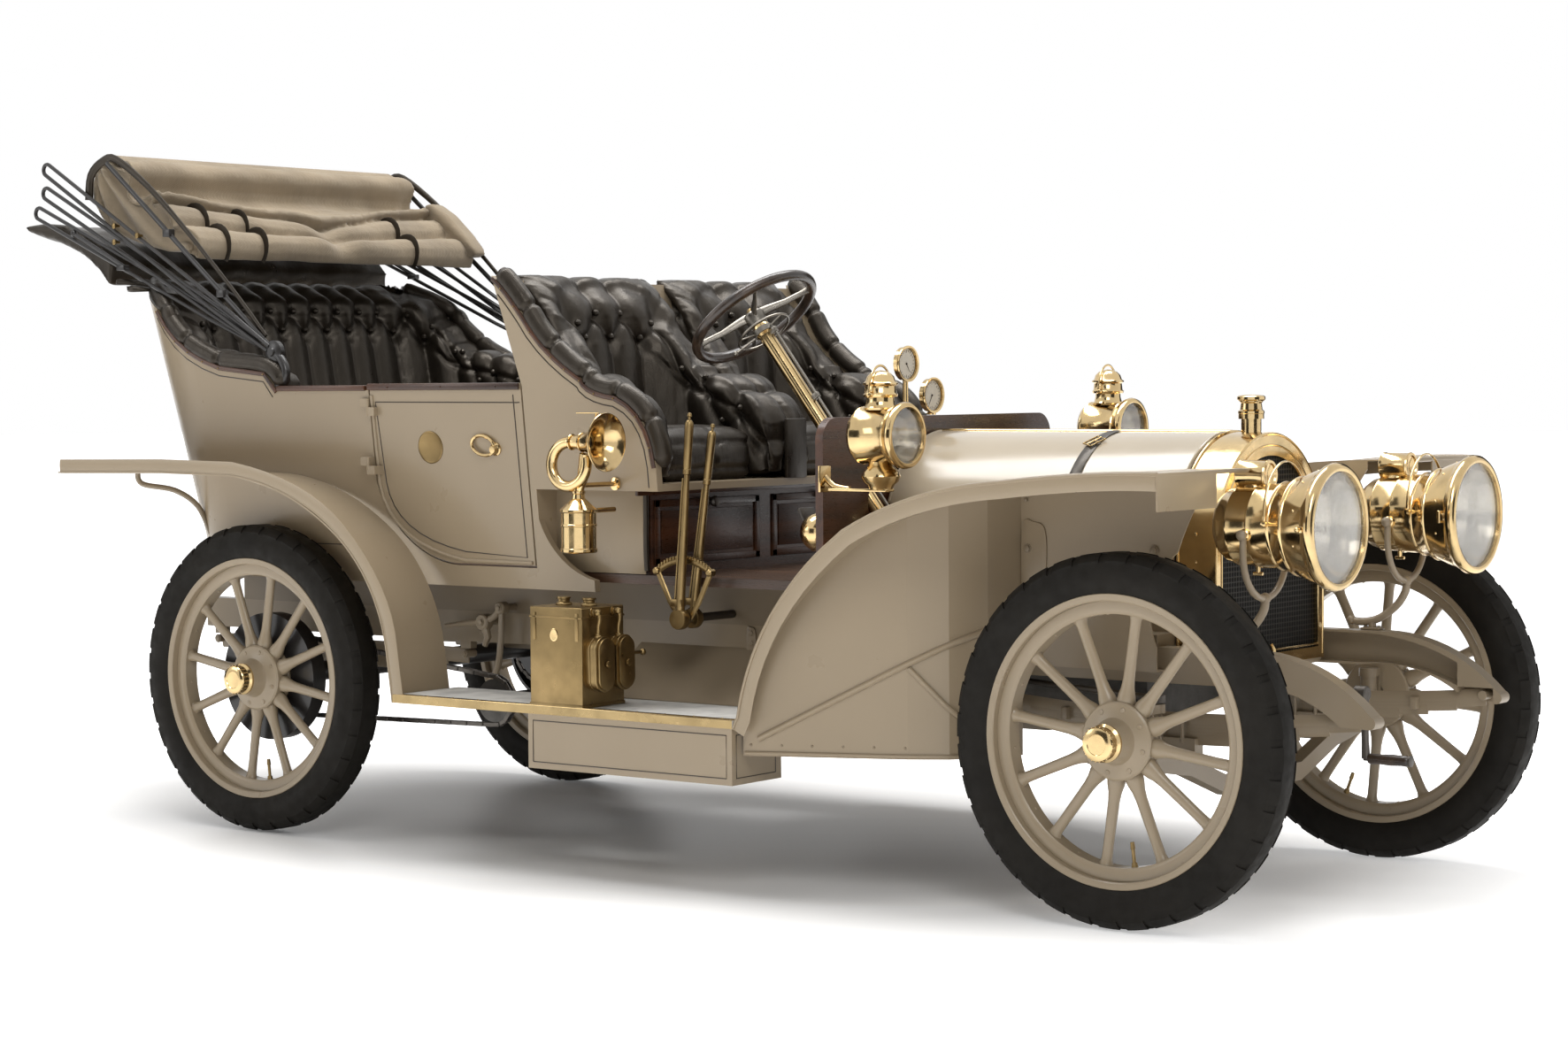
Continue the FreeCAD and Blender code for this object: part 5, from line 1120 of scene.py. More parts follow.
    def build(self) -> None:
        """Builds the four wheels."""
        parts = (("tyre", self.tyre(), TYRE, 0.5), ("felloe", self.wood(), WHEEL_PAINT, 0.7), ("rim", self.iron(), WHEEL_PAINT, 0.5),
                 ("cap", self.cap(), BRASS, 0.5), ("valve", self.valve(), OLD_BRASS, 0.6))
        for end, x in (("front", 1.810), ("rear", -1.170)):
            for side in Side:
                label = f"{end}_{side.name.lower()}"
                turn = {"front_right": 0.12, "front_left": 0.35, "rear_right": 0.10, "rear_left": 0.50}[label]
                place = facing((0.0, side.value, 0.0), (x, side.value * 0.695, 0.460)) @ Matrix.Rotation(turn, 4, "X")
                for name, stock, finish, sharp in parts:
                    stands = (f"tyre_{label}",) if name == "tyre" else (f"wheel_{label}",) if name == "rim" else ()
                    stock.piece(f"{name}_{label}_detail", finish, f"{label}_wheel", stands, sharp, place)


# ---------------------------------------------------------------- lamps
@dataclass
class Headlamp:
    """Round brass headlamp; local X is the lamp's axis, with its rim at the origin."""

    rim: float = 0.156
    reach: float = 0.328
    at_x: float = 2.241
    at_y: float = 0.389
    at_z: float = 0.971

    def shell(self) -> Stock:
        """Shapes the rolled rim, bowl, bands and dome."""
        stock = Stock()
        stock.turned(((-0.012, 0.134), (-0.002, 0.136), (0.0, 0.142), (-0.002, 0.150), (-0.009, 0.1555), (-0.018, 0.156), (-0.026, 0.1525),
                      (-0.032, 0.146), (-0.040, 0.1435), (-0.062, 0.136), (-0.085, 0.127), (-0.100, 0.1205), (-0.103, 0.1225), (-0.107, 0.1225),
                      (-0.110, 0.1185), (-0.140, 0.1085), (-0.143, 0.1105), (-0.147, 0.1105), (-0.150, 0.1050), (-0.200, 0.1015), (-0.203, 0.1035),
                      (-0.207, 0.1035), (-0.210, 0.1005), (-0.258, 0.098), (-0.261, 0.1000), (-0.265, 0.1000), (-0.268, 0.0965), (-0.292, 0.090),
                      (-0.309, 0.078), (-0.320, 0.060), (-0.326, 0.036), (-0.328, 0.0), (-0.322, 0.0), (-0.318, 0.040), (-0.300, 0.078),
                      (-0.262, 0.092), (-0.150, 0.0985), (-0.108, 0.112), (-0.060, 0.128), (-0.030, 0.1375), (-0.014, 0.1385), (-0.012, 0.134)),
                     (0.0, 0.0, 0.0), segments=80)
        for index in range(10):
            angle = index * math.tau / 10 + 0.3
            stock.rivet((-0.062, 0.1362 * math.cos(angle), 0.1362 * math.sin(angle)), (0.25, math.cos(angle), math.sin(angle)), 0.0035)
        # side hinge and catch of the lens rim
        stock.bar((-0.045, 0.1445, -0.016), (-0.045, 0.1445, 0.016), 0.006)
        stock.block((-0.040, 0.140, -0.010), (-0.014, 0.150, 0.010), 0.002)
        stock.block((-0.046, -0.150, -0.008), (-0.014, -0.141, 0.008), 0.002)
        stock.ball((-0.040, -0.151, 0.0), 0.007)
        # trunnion bosses and side studs
        for side in (-1.0, 1.0):
            stock.turned(((0.0, 0.0), (0.0, 0.016), (0.010, 0.014), (0.012, 0.011), (0.022, 0.011), (0.022, 0.0)), (-0.206, side * 0.099, -0.018),
                         (0.0, side, 0.0), 24)
        # drain cock below
        stock.bar((-0.225, 0.0, -0.098), (-0.225, 0.0, -0.116), 0.006, 0.005)
        stock.bar((-0.238, 0.0, -0.118), (-0.212, 0.0, -0.118), 0.0045)
        return stock

    def chimney(self) -> Stock:
        """Shapes the neck, the cross drum and its hoods."""
        stock = Stock()
        stock.turned(((0.0, 0.0), (0.0, 0.034), (0.012, 0.030), (0.020, 0.024), (0.028, 0.024), (0.028, 0.0)), (-0.232, 0.0, 0.088), UP, 32)
        stock.turned(((-0.040, 0.028), (-0.040, 0.0360), (-0.037, 0.0385), (-0.030, 0.0365), (0.034, 0.0365), (0.037, 0.0385), (0.041, 0.0365), (0.041, 0.030),
                      (0.036, 0.028), (0.030, 0.010), (0.030, 0.0)), (-0.232, 0.0, 0.1235), Axis.FORWARD.value, 40)
        stock.turned(((-0.040, 0.0), (-0.040, 0.028), (-0.036, 0.030), (-0.036, 0.0)), (-0.232, 0.0, 0.1235), Axis.FORWARD.value, 32)
        return stock

    def bail(self) -> Stock:
        """Shapes the carrying handle over the bowl."""
        stock = Stock()
        arch = [(-0.150, 0.112 * math.cos(angle), 0.012 + 0.146 * math.sin(angle)) for angle in [math.pi * step / 24 for step in range(25)]]
        stock.pipe([(-0.150, 0.104, 0.004)] + arch + [(-0.150, -0.104, 0.004)], 0.0042, 10, flat=0.6, lean=(0.0, 1.0, 0.0))
        for side in (-1.0, 1.0):
            stock.turned(((0.0, 0.0), (0.0, 0.009), (0.006, 0.010), (0.012, 0.007), (0.014, 0.0)), (-0.150, side * 0.104, 0.010), (0.0, side, 0.0), 20)
        return stock

    def mirror(self) -> Stock:
        """Shapes the silvered rings and back plate behind the glass."""
        stock = Stock()
        stock.turned(((-0.016, 0.1345), (-0.040, 0.126), (-0.043, 0.1225), (-0.080, 0.1075), (-0.083, 0.104), (-0.120, 0.082), (-0.124, 0.078), (-0.126, 0.0),
                      (-0.130, 0.0), (-0.128, 0.082), (-0.084, 0.1085), (-0.044, 0.1270), (-0.018, 0.1365), (-0.016, 0.1345)), (0.0, 0.0, 0.0), segments=72)
        stock.turned(((-0.126, 0.0), (-0.122, 0.012), (-0.100, 0.012), (-0.096, 0.005), (-0.086, 0.004), (-0.086, 0.0)), (0.0, 0.0, 0.0), segments=24)
        return stock

    def glass(self) -> Stock:
        """Shapes the front glass."""
        stock = Stock()
        stock.turned(((-0.0135, 0.0), (-0.0135, 0.1335), (-0.0095, 0.1335), (-0.0080, 0.10), (-0.0070, 0.0)), (0.0, 0.0, 0.0), segments=64)
        return stock

    def yoke(self, side: Side) -> Stock:
        """Shapes the fork under the lamp and its curved stem down to the frame horn.

        Args:
            side: the lamp's side.

        Returns:
            The stock in the row's place.
        """
        stock = Stock()
        x, y, z = self.at_x - 0.206, side.value * self.at_y, self.at_z - 0.018
        arc = [(x, y + 0.112 * math.cos(angle), z - 0.045 - 0.115 * math.sin(angle)) for angle in [math.pi * step / 16 for step in range(17)]]
        stock.pipe([(x, y + 0.112, z)] + arc + [(x, y - 0.112, z)], 0.0085, 12)
        inward = -side.value
        stem = smooth_path(((x, y, z - 0.160), (x - 0.004, y, z - 0.190), (x - 0.030, y, z - 0.228), (x - 0.075, y + inward * 0.010, z - 0.262),
                            (x - 0.118, y + inward * 0.018, z - 0.272), (x - 0.150, y + inward * 0.020, z - 0.268)), 6)
        stock.pipe(stem, [0.0105] * (len(stem) - 4) + [0.0098, 0.0092, 0.0088, 0.0086], 12)
        stock.ball((x, y, z - 0.160), 0.0145)
        stock.ball(stem[-1], 0.0125)
        foot = (x - 0.092, y + inward * 0.014)
        stock.bar((foot[0], foot[1], 0.6625), (foot[0], foot[1], z - 0.272), 0.012, 0.0095)
        stock.block((foot[0] - 0.028, foot[1] - 0.017, 0.6605), (foot[0] + 0.028, foot[1] + 0.017, 0.6665), 0.002)
        for shift in (-0.019, 0.019):
            stock.bolt((foot[0] + shift, foot[1], 0.6665), UP, 0.0055, 0.005)
        for end in (-1.0, 1.0):
            stock.turned(((-0.004, 0.0), (-0.004, 0.012), (0.004, 0.0125), (0.008, 0.008), (0.012, 0.0)), (x, y + end * 0.120, z), (0.0, end, 0.0), 20)
        return stock

    def build(self) -> None:
        """Builds both headlamps."""
        parts = (("shell", self.shell(), BRASS, "headlamps"), ("chimney", self.chimney(), BRASS, ""), ("bail", self.bail(), BRASS, ""),
                 ("reflector", self.mirror(), MIRROR, ""), ("lens", self.glass(), GLASS, "lamp_glasses"))
        for side in Side:
            place = Matrix.Translation((self.at_x, side.value * self.at_y, self.at_z))
            if side is Side.LEFT:
                place = place @ Matrix.Diagonal((1.0, -1.0, 1.0, 1.0))
            for name, stock, finish, node in parts:
                stock.piece(f"headlamp_{name}_{side.name.lower()}", finish, "car", (node,) if node else (), 0.7, place)
            self.yoke(side).piece(f"headlamp_yoke_{side.name.lower()}", FRAME_PAINT, "car", ("headlamp_brackets",))


@dataclass
class SideLamp:
    """Oil side lamp: drum, lens, stacked chimney, bail, fuel font and bracket."""

    at_x: float = 1.100
    at_y: float = 0.566
    at_z: float = 1.190

    def brass(self) -> Stock:
        """Shapes the brass body about the lens centre."""
        stock = Stock()
        stock.turned(((-0.008, 0.071), (-0.001, 0.073), (0.0, 0.078), (-0.003, 0.0845), (-0.010, 0.087), (-0.018, 0.085), (-0.024, 0.079), (-0.034, 0.0745), (-0.038, 0.0765),
                      (-0.042, 0.0735), (-0.135, 0.0735), (-0.139, 0.0755), (-0.143, 0.073), (-0.152, 0.066), (-0.158, 0.048), (-0.160, 0.0), (-0.155, 0.0),
                      (-0.150, 0.060), (-0.136, 0.068), (-0.030, 0.070), (-0.010, 0.0745), (-0.008, 0.071)), (0.0, 0.0, 0.0), segments=64)
        stock.turned(((0.0, 0.0), (0.0, 0.042), (0.006, 0.044), (0.010, 0.040), (0.024, 0.036), (0.032, 0.036), (0.034, 0.044), (0.040, 0.046), (0.044, 0.042),
                      (0.062, 0.040), (0.066, 0.046), (0.070, 0.046), (0.074, 0.040), (0.086, 0.036), (0.096, 0.026), (0.101, 0.012), (0.103, 0.0)),
                     (-0.088, 0.0, 0.066), UP, 48)
        arch = [(-0.088, 0.053 * math.cos(angle), 0.104 + 0.077 * math.sin(angle)) for angle in [math.pi * step / 20 for step in range(21)]]
        stock.pipe(arch, 0.0034, 10, flat=0.7, lean=(1.0, 0.0, 0.0))
        for side in (-1.0, 1.0):
            stock.turned(((0.0, 0.0), (0.0, 0.008), (0.010, 0.008), (0.014, 0.005), (0.015, 0.0)), (-0.088, side * 0.042, 0.106), (0.0, side, 0.0), 16)
        stock.turned(((0.0, 0.0), (0.0, 0.030), (0.012, 0.036), (0.020, 0.046), (0.034, 0.052), (0.048, 0.046), (0.060, 0.034), (0.072, 0.030), (0.076, 0.0)),
                     (-0.088, 0.0, -0.140), UP, 44)
        stock.turned(((0.0, 0.0), (0.0, 0.010), (0.006, 0.012), (0.010, 0.008), (0.014, 0.0)), (-0.050, 0.0, -0.098), (1.0, 0.0, 0.0), 16)
        stock.block((-0.245, -0.020, -0.146), (-0.060, 0.020, -0.138), 0.002)
        stock.block((-0.274, -0.024, -0.150), (-0.266, 0.024, -0.080), 0.002)
        stock.pipe(smooth_path(((-0.268, 0.0, -0.110), (-0.240, 0.0, -0.132), (-0.190, 0.0, -0.141)), 6), 0.008, 10)
        return stock

    def build(self) -> None:
        """Builds both side lamps."""
        glass, mirror = Stock(), Stock()
        glass.turned(((-0.012, 0.0), (-0.012, 0.0705), (-0.009, 0.0705), (-0.004, 0.045), (-0.002, 0.0)), (0.0, 0.0, 0.0), segments=48)
        mirror.turned(((-0.014, 0.0715), (-0.060, 0.046), (-0.064, 0.0), (-0.068, 0.0), (-0.066, 0.048), (-0.020, 0.0725), (-0.014, 0.0715)), (0.0, 0.0, 0.0), segments=48)
        mirror.bar((-0.064, 0.0, -0.030), (-0.040, 0.0, -0.012), 0.008, 0.006)
        for side in Side:
            place = Matrix.Translation((self.at_x, side.value * self.at_y, self.at_z))
            label = side.name.lower()
            self.brass().piece(f"side_lamp_{label}", BRASS, "car", ("side_lamps",), 0.7, place)
            glass.piece(f"side_lamp_lens_{label}", GLASS, "car", (), 0.7, place)
            mirror.piece(f"side_lamp_mirror_{label}", MIRROR, "car", (), 0.7, place)


# ---------------------------------------------------------------- upholstery
def eased(value: float, low: float, high: float) -> float:
    """Share from 0 to 1 that a value has gone from low to high, with soft ends.

    Args:
        value: where it is.
        low: start of the change.
        high: end of the change.

    Returns:
        The share.
    """
    share = min(1.0, max(0.0, (value - low) / (high - low)))
    return share * share * (3.0 - 2.0 * share)


def level_at(outline: Sequence[Flat], x: float) -> float:
    """Height of a side outline at a place along the car.

    Args:
        outline: pairs of X and Z, with X falling.
        x: the place.

    Returns:
        The height.
    """
    if x >= outline[0][0]:
        return outline[0][1]
    for (ahead, high), (behind, low) in zip(outline, outline[1:]):
        if x >= behind:
            return high + (low - high) * (x - ahead) / (behind - ahead)
    return outline[-1][1]


def evaluated(mesh: bpy.types.Mesh, kind: str, frames: int = 0, **values: object) -> bpy.types.Mesh:
    """Runs one modifier on a mesh and keeps what it makes.

    Args:
        mesh: the mesh, which is used up.
        kind: the modifier's type.
        frames: how many frames to step first, for a simulation.
        values: the modifier's settings; a dictionary sets a group of them.

    Returns:
        The new mesh.
    """
    bench = bpy.data.objects.new("bench", mesh)
    bpy.context.scene.collection.objects.link(bench)
    modifier = bench.modifiers.new("step", kind)
    for key, value in values.items():
        if isinstance(value, dict):
            for inner, setting in value.items():
                setattr(getattr(modifier, key), inner, setting)
        else:
            setattr(modifier, key, value)
    if kind == "CLOTH":
        modifier.settings.effector_weights.gravity = 0.0
        modifier.point_cache.frame_end = frames
    for frame_number in range(1, frames + 1):
        bpy.context.scene.frame_set(frame_number)
    result = bpy.data.meshes.new_from_object(bench.evaluated_get(bpy.context.evaluated_depsgraph_get()))
    bpy.data.objects.remove(bench)
    bpy.data.meshes.remove(mesh)
    if frames:
        bpy.context.scene.frame_set(1)
    return result


@dataclass
class Stuffing:
    """How a padded piece is made from its plain form."""

    voxel: float = 0.014
    rounds: int = 5
    pressure: float = 4.0
    cap: float = 0.012
    frames: int = 16
    finer: int = 1

    def stuffed(self, form: Stock) -> bpy.types.Mesh:
        """Remeshes a form, lets air pressure swell it, and refines it.

        Args:
            form: closed plain form.

        Returns:
            The soft mesh.
        """
        mesh = bpy.data.meshes.new("form")
        form.bm.to_mesh(mesh)
        mesh = evaluated(mesh, "REMESH", mode="VOXEL", voxel_size=self.voxel)
        work = bmesh.new()
        work.from_mesh(mesh)
        for _ in range(self.rounds):
            bmesh.ops.smooth_vert(work, verts=work.verts, factor=0.5, use_axis_x=True, use_axis_y=True, use_axis_z=True)
        work.to_mesh(mesh)
        work.free()
        start = [vert.co.copy() for vert in mesh.vertices]
        mesh = evaluated(mesh, "CLOTH", self.frames, settings={
            "use_pressure": True, "uniform_pressure_force": self.pressure, "quality": 4, "mass": 0.3,
            "tension_stiffness": 15.0, "compression_stiffness": 15.0, "bending_stiffness": 2.0})
        for vert, was in zip(mesh.vertices, start):
            move = vert.co - was
            if move.length > self.cap:
                vert.co = was + move * (self.cap / move.length)
        if self.finer:
            mesh = evaluated(mesh, "SUBSURF", levels=self.finer, render_levels=self.finer)
        return mesh


def carved(mesh: bpy.types.Mesh, move: Callable[[Vector, Vector], Vector], settle: int = 0) -> None:
    """Moves every point of a mesh by a rule.

    Args:
        mesh: the mesh.
        move: gives the move from a point and its normal.
        settle: rounds of light smoothing afterwards.
    """
    work = bmesh.new()
    work.from_mesh(mesh)
    bmesh.ops.recalc_face_normals(work, faces=work.faces)
    work.normal_update()
    moves = [move(vert.co, vert.normal) for vert in work.verts]
    for vert, shift in zip(work.verts, moves):
        vert.co += shift
    for _ in range(settle):
        bmesh.ops.smooth_vert(work, verts=work.verts, factor=0.3, use_axis_x=True, use_axis_y=True, use_axis_z=True)
    for face in work.faces:
        face.smooth = True
    work.to_mesh(mesh)
    work.free()


def held_inside(mesh: bpy.types.Mesh, node: str, slack: float) -> None:
    """Presses the points of a mesh back to the outer form of a frame node.

    Args:
        mesh: the mesh.
        node: the node, read as its convex outer form.
        slack: how far a point may stand outside it.
    """
    wrap = Stock().wrapped(node)
    bmesh.ops.recalc_face_normals(wrap.bm, faces=wrap.bm.faces)
    tree = BVHTree.FromBMesh(wrap.bm)
    wrap.bm.free()
    for vert in mesh.vertices:
        at, normal, _, _ = tree.find_nearest(vert.co)
        if (vert.co - at).dot(normal) > slack:
            vert.co = at + normal * slack


@dataclass
class Tufting:
    """Two staggered rows of buttons along a seat's horseshoe plan."""

    plan: Sequence[Flat]
    crown: Sequence[Flat]
    lean: float
    level: float
    pitch: float
    upper: float = 0.120
    lower: float = 0.190
    depth: float = 0.017
    width: float = 0.012
    overhang: float = 0.0
    reach: float = 0.085
    setback: float = 0.10
    roll: float = 0.075

    def __post_init__(self) -> None:
        """Measures the plan."""
        self.points = [Vector((x, y)) for x, y in self.plan]
        self.starts = [0.0]
        for first, second in zip(self.points, self.points[1:]):
            self.starts.append(self.starts[-1] + (second - first).length)
        count = max(2, round(self.starts[-1] / self.pitch))
        self.pitch = self.starts[-1] / count
        self.arm = self.points[0].x - min(point.x for point in self.points)

    def sunk(self, place: Vector) -> float:
        """Depth of a point under the roll's highest line beside it."""
        return level_at(self.crown, place.x - self.setback) - place.z

    def along(self, place: Vector) -> tuple[float, float]:
        """Run along the plan and distance outside it.

        Args:
            place: a point of the seat.

        Returns:
            The run and the distance.
        """
        flat = Vector((place.x - self.lean * (place.z - self.level), place.y))
        best = (1e9, 0.0)
        for first, second, start in zip(self.points, self.points[1:], self.starts):
            leg = second - first
            share = min(1.0, max(0.0, (flat - first).dot(leg) / leg.length_squared))
            away = (flat - first - leg * share).length
            if away < best[0]:
                best = (away, start + share * leg.length)
        return best[1], best[0]

    def crease(self, run: float, drop: float) -> tuple[float, float]:
        """Distance to the nearest crease and to the nearest button.

        Args:
            run: length along the plan.
            drop: depth under the crown.

        Returns:
            Both distances.
        """
        turn = run / self.pitch
        fold = abs(turn - round(turn)) * self.pitch
        half = abs(turn - 0.5 - round(turn - 0.5)) * self.pitch
        upper = math.hypot(fold, drop - self.upper)
        lower = math.hypot(half, drop - self.lower)
        if drop < self.upper:
            near = fold
        elif drop > self.lower:
            near = half
        else:
            share = (drop - self.upper) / (self.lower - self.upper) * self.pitch / 2.0
            slope = math.cos(math.atan2(self.pitch / 2.0, self.lower - self.upper))
            near = abs(fold - share) * slope
        return near, min(upper, lower)

    def move(self, place: Vector, normal: Vector) -> Vector:
        """Sinks creases and buttons and rolls the top edge outwards.

        Args:
            place: a point of the seat.
            normal: its normal.

        Returns:
            The move.
        """
        run, away = self.along(place)
        drop = level_at(self.crown, place.x) - place.z
        near, button = self.crease(run, self.sunk(place))
        total = self.starts[-1]
        ends = eased(run, 0.0, 0.03) * eased(total - run, 0.0, 0.03)
        skirt = 1.0 - eased(away, self.reach, self.reach + 0.03) * eased(drop, 0.05, 0.10)
        dents = self.depth * (0.75 * math.exp(-near / self.width) + 0.55 * math.exp(-(near / 0.030) ** 2)) + 0.016 * math.exp(-(button / 0.020) ** 2)
        arm = 1.0 - eased(min(run, total - run), self.arm * 0.75, self.arm * 1.1)
        groove = arm * 0.013 * math.exp(-((drop - self.roll) / 0.009) ** 2) * (1.0 - eased(away, 0.02, 0.05))
        plump = arm * 0.008 * math.exp(-((drop - self.roll * 0.45) / 0.035) ** 2)
        shift = normal * ((plump - dents * skirt - groove) * ends)
        if self.overhang and away > self.reach * 0.4:
            flat = Vector((normal.x, normal.y, 0.0))
            if flat.length > 0.2:
                share = eased(away, self.reach * 0.4, self.reach) * (1.0 - eased(drop, 0.035, 0.060))
                shift += flat.normalized() * (self.overhang * share)
        return shift

    def button_places(self) -> list[tuple[Flat, Flat, float]]:
        """Plan point, inward direction and drop of each button."""
        found = []
        for drop, offset in ((self.upper, 0.0), (self.lower, 0.5)):
            run = (1.0 + offset) * self.pitch if not offset else offset * self.pitch
            while run < self.starts[-1] - 0.02:
                index = max(i for i, start in enumerate(self.starts[:-1]) if start <= run)
                leg = (self.points[index + 1] - self.points[index]).normalized()
                at = self.points[index] + leg * (run - self.starts[index])
                found.append(((at.x, at.y), (leg.y, -leg.x), drop))
                run += self.pitch
        return found


@dataclass
class Upholstery:
    """Leather backs and cushions of both rows of seats."""

    front_back: Sequence[Flat] = ((0.305, 1.058), (0.300, 1.130), (0.292, 1.178), (0.265, 1.245), (0.225, 1.293), (0.170, 1.333), (0.115, 1.358), (0.050, 1.375),
                                  (-0.012, 1.412), (-0.060, 1.470), (-0.100, 1.522), (-0.140, 1.580), (-0.185, 1.632), (-0.228, 1.655))
    rear_back: Sequence[Flat] = ((-1.105, 1.058), (-1.120, 1.355), (-1.190, 1.392), (-1.255, 1.420), (-1.365, 1.443), (-1.470, 1.455), (-1.535, 1.480), (-1.595, 1.545),
                                 (-1.670, 1.613), (-1.775, 1.665), (-1.830, 1.690))

    def plan(self, front: float, back: float, inner: float, outer: float, corner: float) -> list[Flat]:
        """Horseshoe plan of a seat's inner face with round corners.

        Args:
            front: X of the arm ends.
            back: X of the back's face.
            inner: Y of one arm's face.
            outer: Y of the other arm's face.
            corner: radius of its corners.

        Returns:
            Pairs of X and Y.
        """
        turn = 1.0 if outer > inner else -1.0
        rows = [(front, inner)]
        for middle, start in ((inner + turn * corner, -turn), (outer - turn * corner, 0.0)):
            for step in range(7):
                angle = math.pi / 2 * step / 6
                across = -math.cos(angle) if start else math.sin(angle)
                down = -math.sin(angle) if start else -math.cos(angle)
                rows.append((back + corner + corner * down, middle + turn * corner * across))
        return rows + [(front, outer)]

    def tub(self, crown: Sequence[Flat], floor: float, low: float, high: float, plan: Sequence[Flat], lean: float, level: float) -> Stock:
        """Block under a crown outline with the seat's room cut out of it.

        Args:
            crown: side outline of its top.
            floor: height of its underside.
            low: lowest Y.
            high: highest Y.
            plan: horseshoe plan of the room.
            lean: how far the room's back leans per unit of height.
            level: height at which the plan is drawn.

        Returns:
            The stock.
        """
        stock = Stock()
        rows = [(x, low, z) for x, z in crown] + [(crown[-1][0], low, floor), (crown[0][0], low, floor)]
        stock.slab(rows, (0.0, high - low, 0.0), 0.0)
        room = Stock()
        outline = [(x + 0.0, y, level - 0.10) for x, y in plan]
        outline[0] = (outline[0][0] + 0.3, outline[0][1], outline[0][2])
        outline[-1] = (outline[-1][0] + 0.3, outline[-1][1], outline[-1][2])
        room.slab([(x - lean * 0.10, y, z) for x, y, z in outline], (lean * 1.1, 0.0, 1.1), 0.0)
        return stock.without(room)

    def padded(self, name: str, mesh: bpy.types.Mesh, node: str) -> bpy.types.Object:
        """Finishes one stuffed mesh."""
        made = finished(mesh, name, HIDE, "car", (node,) if node else ())
        return made

    def back(self, name: str, node: str, tufting: Tufting, form: Stock, stuffing: Stuffing, side: Side | None = None) -> None:
        """Makes one tufted back with its buttons.

        Args:
            name: the piece's name.
            node: the frame node that it stands for.
            tufting: where its creases lie.
            form: its plain form.
            stuffing: how it is made soft.
            side: its side, or None for one that is held to its node's outer form.
        """
        mesh = stuffing.stuffed(form)
        if side is None:
            held_inside(mesh, node, 0.0)
        carved(mesh, tufting.move, 1)
        if side is None:
            held_inside(mesh, node, 0.002)
        self.padded(name, mesh, node)
        work = bmesh.new()
        work.from_mesh(mesh)
        tree = BVHTree.FromBMesh(work)
        work.free()
        buttons = Stock()
        for (x, y), (right, up), drop in tufting.button_places():
            start = Vector((x, y, 0.0))
            height = level_at(tufting.crown, x + tufting.lean * 0.5 - tufting.setback) - drop
            if height < tufting.level + 0.16:
                continue
            start = Vector((x + tufting.lean * (height - tufting.level), y, height))
            hit, normal, _, _ = tree.find_nearest(start)
            if hit is None:
                continue
            buttons.ball(hit + normal * 0.001, 0.0105, (1.0, 1.0, 1.0), 10)
        buttons.piece(f"{name}_buttons", HIDE)

    def cushion(self, name: str, node: str, low: Point, high: Point, rake: float, swell: float) -> None:
        """Makes one flat cushion with a piped front border.

        Args:
            name: the piece's name.
            node: the frame node that it stands for.
            low: lowest corner.
            high: highest corner.
            rake: how far its top falls towards the back.
            swell: height of its crown.
        """
        form = Stock()
        rows = [(high[0], low[1], low[2]), (high[0], low[1], high[2]), (low[0], low[1], high[2] - rake), (low[0] + 0.012, low[1], low[2])]
        form.slab(rows, (0.0, high[1] - low[1], 0.0), 0.0)
        mesh = Stuffing(0.013, 3, 4.0, 0.010).stuffed(form)
        middle, half = (low[1] + high[1]) / 2.0, (high[1] - low[1]) / 2.0

        def move(place: Vector, normal: Vector) -> Vector:
            """Crowns the top and sinks the seam of the front border."""
            across = min(1.0, abs(place.y - middle) / half)
            deep = min(1.0, max(0.0, (place.x - low[0]) / (high[0] - low[0])))
            crown = swell * (1.0 - across ** 4) * math.sin(math.pi * min(0.92, max(0.04, deep))) if normal.z > 0.3 else 0.0
            seam = min(abs(place.z - (high[2] - 0.030)), abs(place.z - (low[2] + 0.030))) if normal.x > 0.4 else 1.0
            edge = abs(place.x - (high[0] - 0.075)) if normal.z > 0.5 else 1.0
            return Vector((0.0, 0.0, crown)) - normal * (0.007 * math.exp(-(min(seam, edge) / 0.007) ** 2))

        carved(mesh, move)
        self.padded(name, mesh, node)

    def rolls(self, side: Side) -> None:
        """Leather rolls over the top edges of the body, gathered by creases.

        Args:
            side: the side of the car.
        """
        body = Skin("front_body", "rear_body")
        for label, edge, gather in (("front", SEAT_EDGE[1:], 0.135), ("rear", TONNEAU_EDGE[1:], 0.150)):
            fine = [Vector((x, 0.0, z)) for x, z in edge]
            run = smooth_path([(point.x, point.z) for point in fine], 8)
            under = [body.touch((x - 0.004, side.value * 1.6, z - 0.016), (0.0, -side.value, 0.0)) for x, z in run]
            centre, radii, length = [], [], 0.0
            for (x, z), met, (nx, nz) in zip(run, under, inset([tuple(point) for point in run], 0.017)):
                if met is None:
                    continue
                here = Vector((nx, met[0].y - side.value * 0.017, nz))
                if centre:
                    length += (here - centre[-1]).length
                phase = abs(length / gather - round(length / gather)) * gather
                centre.append(here)
                radii.append(0.0285 * (1.0 - 0.30 * math.exp(-(phase / 0.007) ** 2)) * (0.55 + 0.45 * eased(length, 0.0, 0.03)))
            if len(centre) < 8:
                continue
            stock = Stock()
            stock.pipe(centre, radii, 16)
            mesh = bpy.data.meshes.new("roll")
            stock.bm.to_mesh(mesh)
            stock.bm.free()
            mesh = evaluated(mesh, "SUBSURF", levels=1, render_levels=1)
            self.padded(f"{label}_seat_roll_{side.name.lower()}", mesh, "")

